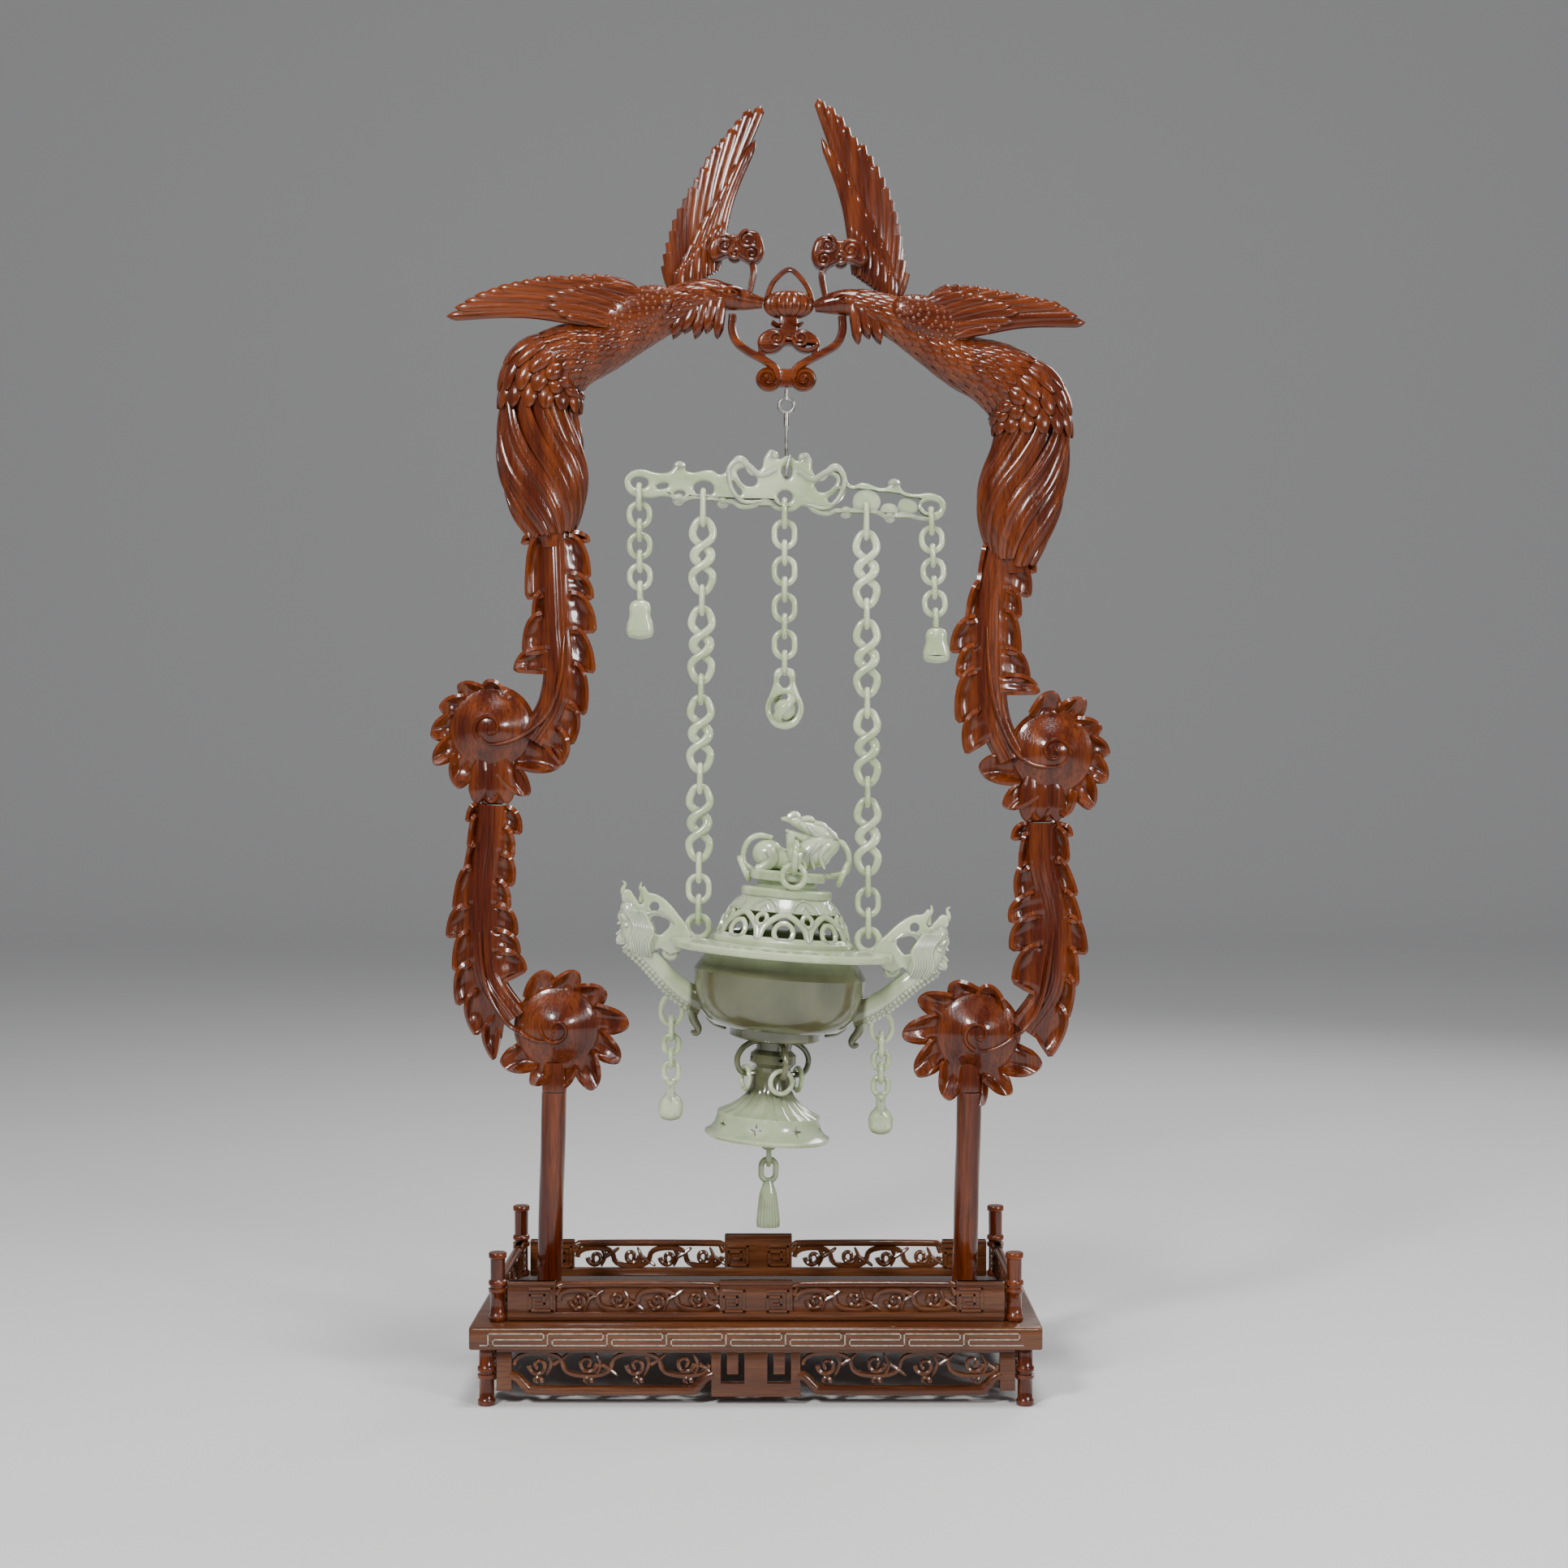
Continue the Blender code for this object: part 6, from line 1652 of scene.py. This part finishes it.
class CENSER_OT_tassel(bpy.types.Operator):
    """Carves the short chain and tassel under the foot"""

    bl_idname = "censer.tassel"
    bl_label = "Tassel"

    def execute(self, context):
        # The first link hangs in the ring under the foot.
        drop_by = 3.8 * 0.86 - 1 - LINK_WIRE - 0.45
        x, _, z = hung(0, 0, FOOT_EYE - drop_by)
        end, cap, low = 5.9, 105.0, 80.0
        pieces = hang(["long", "small", "small", "small"], (x, z), (end, cap - 1.5))
        heights = np.linspace(cap, low, 26)
        size = np.interp(heights, [80, 83, 98, 105], [5.8, 6.1, 4.7, 2.4])
        profile = [(0, cap), *zip(size, heights), (0, low)]

        def combed(px, py, pz):
            fine = np.clip((99 - pz) / 6, 0, 1) * 0.05
            r = 1 + fine * np.cos(20 * np.arctan2(py, px))
            return px * r + end, py * r * 0.8, pz

        pieces.append(turned(profile, 120, combed))
        finish("jade_tassel", pieces, "russet_jade", "jade", "tassel_chain")
        return {"FINISHED"}


# Censer.


class CENSER_OT_bowl(bpy.types.Operator):
    """Turns and hollows the bowl, its rim and foot, and carves its handles"""

    bl_idname = "censer.bowl"
    bl_label = "Bowl"

    def execute(self, context):
        rim_top = [(36, 0), (38.8, 0), (39.2, 0.5), (40, 0.2), (58, 0), (59.6, -0.3), (60.3, -1.4)]
        rim_low = [(60.3, -3.4), (59.6, -4.4), (58, -4.6), (41, -4.6), (40, -4.9)]
        side = [(41.5, -7.5), (44.2, -11.6), (46.8, -15.6), (46.7, -17), (46.4, -19.2),
                (45.9, -24), (44.8, -30), (42.6, -36), (39.4, -41), (35, -44.4), (27, -45.6),
                (25.2, -45.7), (24.9, -46.4), (24.7, -50.2), (24, -51), (20, -51.4), (11, -51.8)]
        stem = [(9.8, -53), (9.6, -57), (12.4, -59.5), (12.6, -64), (10, -66.5), (9.6, -70),
                (10.4, -74), (11.2, -78)]
        foot = [(13, -81.5), (17, -85.5), (22, -89), (27.8, -91.6), (28.0, -94.5),
                (29, -98), (31, -101), (33.8, -102.6), (34, -103.6), (33.2, -105)]
        under = [(30.2, -105), (27.8, -101), (25, -97), (21, -92), (12, -84.5), (6.7, -81.3),
                 (0, -80.2)]
        inside = [(0, -42), (10, -42), (23, -41.3), (31, -38.4), (38, -30.5), (41.4, -24),
                  (42.6, -16), (40, -9), (36.4, -4.8), (36, 0)]

        def carved(x, y, z):
            turn = np.arctan2(y, x)
            r = np.hypot(x, y)
            flute = np.clip((z + 92) / 2, 0, 1) * np.clip((-79 - z) / 3, 0, 1) * (r > 11.5)
            outer = (z > -96) & (z < -78) & (r > 11)
            wave = 1 + 0.075 * flute * outer * (np.abs(np.cos(10 * turn)) ** 0.7 - 0.75)
            return hung(x * wave, y * wave, z)

        outer = rim_top + rim_low + side + stem + foot + under
        shell = turned(outer, 120, carved)
        cup = turned(inside, 120, hung)
        vessel = joined("vessel", [shell, cup])
        for k in range(8):
            pierce(vessel, TAU * (k + 0.5) / 8 + math.radians(10), 29, -97.4, 3.4)
        for k in range(4):
            pierce(vessel, math.radians(-70 + 90 * k), 12, -61.6, 2.2)
        pieces = [vessel]
        for right in (False, True):
            pieces += handle(right)
        for k in range(4):
            pieces += bracket(math.radians(BRACKET_TURN + 90 * k))
        pieces.append(ring(hung(0, 0, FOOT_EYE), (0, 1, 0), 3.8, 2.0, 24))
        finish("jade_bowl", pieces, "bowl_jade", "jade", "censer_bowl", angle=30)
        return {"FINISHED"}


def pierce(vessel, angle, radius, height, size):
    """Cuts a four-pointed star through the vessel's wall at an angle round its axis."""
    bpy.ops.object.select_all(action="DESELECT")
    bpy.ops.mesh.primitive_cylinder_add(vertices=8, radius=1, depth=1)
    star = bpy.context.object
    for vertex in star.data.vertices:
        turn = math.atan2(vertex.co.y, vertex.co.x)
        reach = size if round(turn / (math.pi / 4)) % 2 == 0 else size * 0.36
        a, b, c = math.cos(turn) * reach, math.sin(turn) * reach, vertex.co.z * 9
        x = (radius + c) * math.cos(angle) - a * math.sin(angle)
        y = (radius + c) * math.sin(angle) + a * math.cos(angle)
        vertex.co = settle(hung(x, y, height + b))
    cutter = joined("star", [star])
    cut = vessel.modifiers.new("star", "BOOLEAN")
    cut.operation = "DIFFERENCE"
    cut.solver = "EXACT"
    cut.object = cutter
    apply_modifiers(vessel)
    bpy.data.objects.remove(cutter)


def hung_path(path):
    """A path of the censer's own frame in the drawing."""
    return np.stack(hung(*path.T), axis=1)


def bracket(angle):
    """A curled arm on the stem."""
    points = [(8.5, -52.5), (13, -53.5), (18, -57), (BRACKET_REACH, -62), (19.8, -67),
              (17, BRACKET_LOW), (12, -70.4), (8.5, -69.5)]
    c, s = math.cos(angle), math.sin(angle)
    out, up = smooth(points, 30).T
    path = hung_path(np.stack([out * c, out * s, up], axis=1))
    return [swept(path, 1.6, 1.6, facing=(-s, c, 0), around=12)]


def handle(right):
    """A dragon head on a scaly neck, with the rings for the chains."""

    def spots(points):
        """Points drawn on the left, on this handle's side."""
        return [tilted_mirror(x, z) for x, z in points] if right else list(points)

    return dragon_head(spots) + scaly_neck(spots)


def dragon_head(spots):
    """The head with its horns, mane, brow, eye and teeth."""

    def carve(points, half, deep, y, count, end=0.5):
        pieces.append(rod(spots(points), half, deep, y, count, end))

    head = [
        (-36, 236), (-38, 243), (-41, 247), (-48.5, 256), (-54, 260), (-59, 261.5), (-61.8, 264.5),
        (-62.6, 255), (-66, 258.5), (-70.5, 263), (-73.4, 259), (-72, 254), (-75.5, 249),
        (-73.5, 243), (-75.5, 239), (-76, 234), (-70, 233), (-64, 229), (-58, 226), (-53, 231),
        (-50, 229.5), (-46, 228), (-40, 231),
    ]
    holes = [
        [(-58, 246.2), (-56, 248.4), (-50.8, 247.6), (-47.4, 245), (-49.8, 240.4), (-53.7, 238.4)],
        oval(-55.6, 253.6, 2.5, 2.6, 6),
    ]
    pieces = [flat_shape(spots(head), [spots(h) for h in holes], 3.2, 1.0, resolution=5)]
    cx, cz = spots([HANDLE_RING])[0]
    pieces.append(ring((cx, 0, cz), (0, 1, 0), 5.9, 3.8, 36))
    for points in ([(-71, 258), (-73, 262), (-71.6, 266), (-73, 267.6)],
                   [(-63, 256), (-62.4, 261), (-63.4, 264), (-62.6, 267)]):
        carve(points, 1.5, 1.8, 0, 14, 0.25)
    skull = [(-71, 258, 1.6, 2.2), (-70, 253.5, 4.6, 4.8), (-68, 247, 6.8, 6.4),
             (-66, 240, 8.2, 7), (-62.5, 233, 7.6, 6.6), (-59.5, 227.5, 5.6, 5.6), (-58, 224, 2, 3)]
    placed = spots([(x, z) for x, z, _, _ in skull])
    sections = [(x, z, tall, deep) for (x, z), (_, _, tall, deep) in zip(placed, skull)]
    pieces.append(body_skin(round_body(sections, 40), 28))
    swell = np.sin(math.pi * np.linspace(0.12, 0.9, 25))
    for face in (-1, 1):
        for k in range(8):
            t = k / 7
            line = [(-70.5 + 9 * t, 252 - t), (-66.5 + 10 * t, 243 - 2 * t),
                    (-68.5 + 10 * t, 234.5 - t), (-66.5 + 9.5 * t, 227 - t)]
            carve(line, 1.15, 1.5, face * (3.6 + 3.2 * swell), 24, 0.45)
        carve([(-63, 251), (-66.5, 247.5), (-71, 247), (-73.5, 250)], 1.3, 1.6, face * 5.0, 16)
        carve([(-62.5, 247), (-58, 250.2), (-51, 249.6), (-44.5, 244)], 1.2, 1.4, face * 2.4, 20)
        sx, sz = spots([(-70.5, 244)])[0]
        ball = [(0, -1.5), (1.3, -0.8), (1.6, 0), (1.3, 0.8), (0, 1.5)]
        pieces.append(turned(ball, 12, standing(sx, face * 6.0, sz)))
    for x, z in ((-72.5, 252), (-73.4, 246), (-74, 240.5), (-73.6, 235.5), (-70, 231)):
        tooth = [(x + 5, z + 2.4), (x + 1.4, z + 0.8), (x - 2.4, z - 1.8)]
        for depth in (-2.6, 0, 2.6):
            carve(tooth, 1.5, 1.6, depth, 10, 0.3)
    for x, z in ((-44, 238), (-47, 229)):
        sx, sz = spots([(x, z)])[0]
        pieces.append(ring((sx, 0, sz), (0, 1, 0), 3.1, 3.4, 20))
        pieces.append(block((sx - 2.2, -1.4, sz - 2.2), (sx + 2.2, 1.4, sz + 2.2), 0.8))
    return pieces


def scaly_neck(spots):
    """The neck with its scales, the curls under it and the loop for the lower chain."""
    neck = [(-68, 236), (-62, 229), (-55, 221.5), (-47, 213), (-39, 206.5), (-29, 201.5)]
    path = flat_path(spots(neck), 40)
    t = np.linspace(0, 1, 41)
    thickness = np.interp(t, [0, 0.25, 0.6, 1], [7.2, 5.8, 6.2, 7.4])
    pieces = [swept(path, thickness, np.interp(t, [0, 0.3, 1], [5.4, 5.6, 6.6]), around=24)]
    run = unit(np.gradient(path, axis=0))
    side = np.stack([-run[:, 2], np.zeros(41), run[:, 0]], axis=1)
    below = side * (1 if side[20, 2] < 0 else -1)
    for k in range(2, 36, 2):
        for turn in (-1.0, -0.45, 0.0, 0.45, 1.0):
            spot = path[k] + below[k] * thickness[k] * math.cos(turn) * 0.97
            spot = spot + np.array([0, 5.6 * math.sin(turn) * 0.97, 0])
            bead = [(0, 1.5), (1.2, 0.9), (1.6, 0), (1.2, -0.9), (0, -1.5)]
            pieces.append(turned(bead, 7, standing(*spot)))
    tail = [(-37, 206), (-36, 199), (-34.6, 192.5), (-32, 187.5), (-33, 184.8), (-36, 186)]
    pieces.append(rod(spots(tail), 3.0, 3.0, 0, 24, 0.45, 12))
    tail = [(-30, 204), (-28, 197), (-24, 191), (-17, 187.5)]
    pieces.append(rod(spots(tail), 2.2, 3.6, 0, 24, around=12))
    sx, sz = spots([LOWER_RING])[0]
    loop = at_depth(oval(sx, sz, 5.8, 8, 40), 0)
    pieces.append(swept(loop, 1.5, 1.5, around=12, closed=True))
    return pieces


class CENSER_OT_lid(bpy.types.Operator):
    """Carves the pierced lid and the beast on its top"""

    bl_idname = "censer.lid"
    bl_label = "Lid"

    def execute(self, context):
        base = [(33, 4.6), (34.5, 5.6), (36.2, 5.2), (37.4, 3.6), (38.2, 3.0), (38.2, 0.5),
                (37.8, 0.3), (33, 0.3), (33, 4.6)]
        crown = [(0, 40), (19.6, 40), (20.5, 39.4), (20.7, 36.6), (20.2, 35), (16.4, 34.4),
                 (16, 33.8), (16, 31.6), (17, 30.8), (23.6, 30.6), (24.6, 29.8), (24.8, 26.8),
                 (24.2, 26), (23.6, 24.6), (0, 24.4)]
        pieces = [turned(base, 96, hung), turned(crown, 96, hung)]

        def wall_radius(h):
            return np.interp(h, [3, 7.5, 12, 15, 18, 21.5, 24, 27.5],
                             [36.9, 35.6, 34.1, 32.5, 30.6, 28.0, 25.8, 22.6])

        top_band = [(wall_radius(h), h) for h in np.linspace(27, 18.6, 9)]
        top_band += [(wall_radius(h) - 2.4, h) for h in np.linspace(18.6, 26, 9)]
        pieces.append(turned([*top_band, top_band[0]], 96, hung))

        def on_wall(across, up, turn):
            """Points on the lid's wall from a flat pattern in millimetres."""
            r = wall_radius(up) - 1.0
            angle = turn - math.pi / 2 + across / 33.0
            spot = hung_path(np.stack([r * np.cos(angle), r * np.sin(angle), up], axis=1))
            out = np.stack([np.cos(angle), np.sin(angle), np.full_like(angle, 0.35)], axis=1)
            return spot, unit(out)

        def strap(points, turn, half, closed=False, count=36):
            flat = smooth([*points, points[0]], count) if closed else smooth(points, count)
            flat = flat[:-1] if closed else flat
            spot, out = on_wall(flat[:, 0], flat[:, 1], turn)
            return swept(spot, half, 1.3, facing=out, around=8, closed=closed)

        for turn in np.arange(8) * TAU / 8:
            arch = [(-12.8, 3), (-10.2, 11.6), (0, 17.6), (10.2, 11.6), (12.8, 3)]
            pieces.append(strap(arch, turn, 1.8))
            pieces.append(strap(oval(0, 8.4, 4.9, 4.9, 10), turn, 1.4, True))
            pieces.append(strap(oval(13, 14.6, 3.1, 2.9, 8), turn, 1.3, True))
            scallop = [(-8.6, 18.4), (-6.4, 22.4), (0, 25), (6.4, 22.4), (8.6, 18.4)]
            pieces.append(strap(scallop, turn + TAU / 16, 1.2))
            pieces.append(strap([(-3, 19.4), (0, 22), (3, 19.4)], turn + TAU / 16, 1.0))
        pieces += beast()
        side_loop = [(7, 55), (17, 56), (24, 53), (25.6, 47), (23, 41.5), (16, 38)]
        loops = (
            [(-10, 0, 57), (-17, 0, 58), (-22.5, 0, 55), (-25, 0, 48), (-23.4, 0, 41.5),
             (-15, 0, 38)],
            [(22, 0, 58), (27.5, 0, 57.6), (31.4, 0, 53), (32.4, 0, 46.5), (30, 0, 41),
             (18, 0, 38)],
            *([(3, face * y, z) for y, z in side_loop] for face in (-1, 1)),
        )
        for loop in loops:
            facing = (0, -1, 0) if abs(loop[0][1]) < 1 else (1, 0, 0)
            path = hung_path(smooth(loop, 30))
            pieces.append(swept(path, 1.6, 1.8, facing=facing, around=12))
        finish("jade_lid", pieces, "pale_jade", "jade", "lid")
        return {"FINISHED"}


def beast():
    """The crouching beast with its head turned back, drawn as it hangs."""

    def blob(sections, around=28):
        return body_skin(round_body(sections, 44), around)

    pieces = [
        blob([(-2.2, 280.5, 2, 3), (0.8, 281.4, 6.4, 7), (6, 281.8, 8.2, 8.6),
              (11.5, 279.5, 6.8, 8), (18, 278.4, 6.2, 7.6), (25, 280.4, 7.4, 8.4),
              (31, 283.5, 9.2, 8.6),
              (37, 286, 8.4, 7.4), (42, 286.5, 4.4, 5), (44.6, 286.6, 1.4, 2)]),
        blob([(13, 301.2, 0.8, 1.2), (16.4, 301.0, 1.7, 2.6), (20.4, 300.2, 3.1, 4.2),
              (25, 297.6, 3.3, 4.8), (31, 295, 4.6, 5.6), (37, 292, 5, 5.4), (42, 288.5, 2.6, 3)]),
        blob([(15.4, 295.2, 0.7, 1.2), (18.6, 293.2, 1.8, 2.8), (24, 291, 2.6, 3.6),
              (30, 289.5, 3.4, 4.4), (35, 288, 2, 3)]),
    ]
    for face in (-1, 1):
        pieces.append(rod([(18, 293), (18.2, 285), (19.6, 274)], 2.4, 2.4, face * 6.2, 16, end=0.8))
        for horn in ([(24, 300.5), (28, 301.5), (31.5, 300)],
                     [(31, 298.6), (35.5, 297.8), (39, 295)],
                     [(36.5, 294.6), (41, 293), (44, 290)], [(17, 302), (20.6, 304.0), (24, 301)]):
            pieces.append(rod(horn, 1.7, 1.8, face * 2.6, 12, end=0.35))
        for fold in ([(34, 288), (29, 281), (31, 274)], [(30, 286), (25.5, 280), (26.5, 274)],
                     [(38, 287), (34, 281), (36.5, 274)], [(27, 297), (31, 293), (38, 290.5)],
                     [(23.5, 299), (28, 294.6), (33, 292.5)]):
            out = 7.4 if fold[0][1] < 290 else 4.8
            pieces.append(rod(fold, 1.5, 1.7, face * out, 16))
        haunch = [(7, 285), (8.6, 279.5), (3.4, 275), (-1, 274)]
        pieces.append(rod(haunch, 3.4, 2.6, face * 7.2, 18, 0.7, 12))
        paw = [(22, 279), (19, 275.4), (13.5, 274)]
        pieces.append(rod(paw, 2.6, 2.6, face * 7.4, 14, 0.8, 12))
    return pieces


class CENSER_OT_rings(bpy.types.Operator):
    """Turns the loose rings of the lid and the stem"""

    bl_idname = "censer.rings"
    bl_label = "Loose rings"

    def execute(self, context):
        places = {
            "left": ((-24.0, 0, 39.6), (1, 0, 0.55)),
            "right": ((29.6, 0, 40.6), (1, 0, -0.35)),
            "front": ((3, -23.4, 38.2), (0, 1, 0)),
            "back": ((3, 23.4, 38.2), (0, 1, 0)),
        }
        turn = Matrix.Rotation(CENSER_TILT, 4, "Y")
        for name, (centre, face) in places.items():
            piece = ring(hung(*centre), turn @ Vector(face), 6.1, 3.1)
            finish("jade_lid_ring_" + name, [piece], "pale_jade", "jade", "lid_ring_" + name)
        # The stem's rings hang on the brackets' outer ends.
        hang_by = 6.2 - 1.3 - 1.6 - 0.48
        for k, name in enumerate(("right", "back", "left", "front")):
            angle = math.radians(BRACKET_TURN + 90 * k)
            c, s = math.cos(angle), math.sin(angle)
            out = BRACKET_REACH - 5.4
            centre = hung(out * c, out * s, BRACKET_LOW - hang_by)
            piece = ring(centre, turn @ Vector((c, s, 0)), 6.1, 2.7)
            finish("jade_stem_ring_" + name, [piece], "pale_jade", "jade", "stem_ring_" + name)
        return {"FINISHED"}


# Stage.

CAMERA_X = 14.5
CAMERA_AWAY = 1.25
CAMERA_HEIGHT = 0.32
CAMERA_LENS = 52.94


class CENSER_OT_stage(bpy.types.Operator):
    """Lays the pale floor and sets the soft lights and the camera"""

    bl_idname = "censer.stage"
    bl_label = "Stage"

    def execute(self, context):
        stage = context.scene.censer_stage

        flat_end, bend_length, bend_radius = 3500, 3000, 1900

        def sweep(u, v):
            """A floor that runs back and bends up into a wall."""
            run = v * 14000 - 4000
            bend = np.clip((run - flat_end) / bend_length, 0, 1) * math.pi / 2
            y = np.where(run < flat_end, run, flat_end + bend_radius * np.sin(bend))
            above = np.clip(run - flat_end - bend_length, 0, None)
            return (u - 0.5) * 12000, y, bend_radius * (1 - np.cos(bend)) + above

        floor = shaped(8, 56, sweep)
        floor.name = "floor"
        floor.data.name = "floor"
        bpy.ops.object.shade_smooth()
        material = bpy.data.materials.new("floor_paper")
        material.use_nodes = True
        shader = material.node_tree.nodes["Principled BSDF"]
        shader.inputs["Base Color"].default_value = (*stage.floor, 1)
        shader.inputs["Roughness"].default_value = 0.55
        floor.data.materials.append(material)
        floor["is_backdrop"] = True
        x = (MIDDLE_X + CAMERA_X) * MM
        # Each light's name, place, size and share of the main light's strength.
        lights = (
            ("key", (x - 0.7, -1.25, 1.25), 0.32, 1.1),
            ("fill", (x + 1.1, -1.2, 0.75), 0.3, 0.6),
            ("top", (x + 0.1, -0.25, 1.6), 0.4, 0.6),
            ("rim", (x + 0.8, 1.2, 1.1), 0.6, 0.35),
        )
        target = Vector((x, 0, 0.36))
        for name, spot, size, share in lights:
            bpy.ops.object.light_add(type="AREA", location=spot)
            light = context.object
            light.name = name
            light.data.shape = "DISK"
            light.data.size = size
            light.data.energy = stage.key * share
            light.rotation_euler = (target - Vector(spot)).to_track_quat("-Z", "Y").to_euler()
        world = bpy.data.worlds.new("soft_room")
        world.use_nodes = True
        sky = world.node_tree.nodes["Background"]
        sky.inputs["Color"].default_value = (0.95, 0.96, 1, 1)
        sky.inputs["Strength"].default_value = 0.24
        context.scene.world = world
        spot = (x, -CAMERA_AWAY, CAMERA_HEIGHT)
        bpy.ops.object.camera_add(location=spot, rotation=(math.pi / 2, 0, 0))
        camera = context.object
        camera.name = "camera"
        camera.data.sensor_width = 36
        camera.data.lens = CAMERA_LENS
        camera.data.clip_end = 100
        context.scene.camera = camera
        return {"FINISHED"}


class CENSER_PT_panel(bpy.types.Panel):
    bl_idname = "CENSER_PT_panel"
    bl_label = "Jade hanging censer"
    bl_space_type = "VIEW_3D"
    bl_region_type = "UI"
    bl_category = "Censer"

    def draw(self, context):
        scene = context.scene
        for settings in (scene.censer_wood, scene.censer_jade, scene.censer_stage):
            box = self.layout.box()
            for key in settings.__annotations__:
                box.prop(settings, key)
        for operator in OPERATORS:
            self.layout.operator(operator.bl_idname)


OPERATORS = (
    CENSER_OT_board,
    CENSER_OT_feet,
    CENSER_OT_aprons,
    CENSER_OT_galleries,
    CENSER_OT_posts,
    CENSER_OT_lower_plumes,
    CENSER_OT_phoenixes,
    CENSER_OT_centre_ornament,
    CENSER_OT_hook,
    CENSER_OT_yoke,
    CENSER_OT_chains,
    CENSER_OT_tassel,
    CENSER_OT_bowl,
    CENSER_OT_lid,
    CENSER_OT_rings,
    CENSER_OT_stage,
)
CLASSES = (CENSER_PG_wood, CENSER_PG_jade, CENSER_PG_stage, *OPERATORS, CENSER_PT_panel)


def register():
    for cls in CLASSES:
        bpy.utils.register_class(cls)
    bpy.types.Scene.censer_wood = bpy.props.PointerProperty(type=CENSER_PG_wood)
    bpy.types.Scene.censer_jade = bpy.props.PointerProperty(type=CENSER_PG_jade)
    bpy.types.Scene.censer_stage = bpy.props.PointerProperty(type=CENSER_PG_stage)


def unregister():
    del bpy.types.Scene.censer_wood
    del bpy.types.Scene.censer_jade
    del bpy.types.Scene.censer_stage
    for cls in reversed(CLASSES):
        bpy.utils.unregister_class(cls)


def main():
    register()
    for operator in OPERATORS:
        group, name = operator.bl_idname.split(".")
        if getattr(getattr(bpy.ops, group), name)() != {"FINISHED"}:
            raise RuntimeError("not finished: " + operator.bl_idname)
    boxes = {"packed": PACKED_BOX, "dressed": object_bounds()}
    plain = {key: [list(corner) for corner in value] for key, value in boxes.items()}


if __name__ == "__main__":
    main()
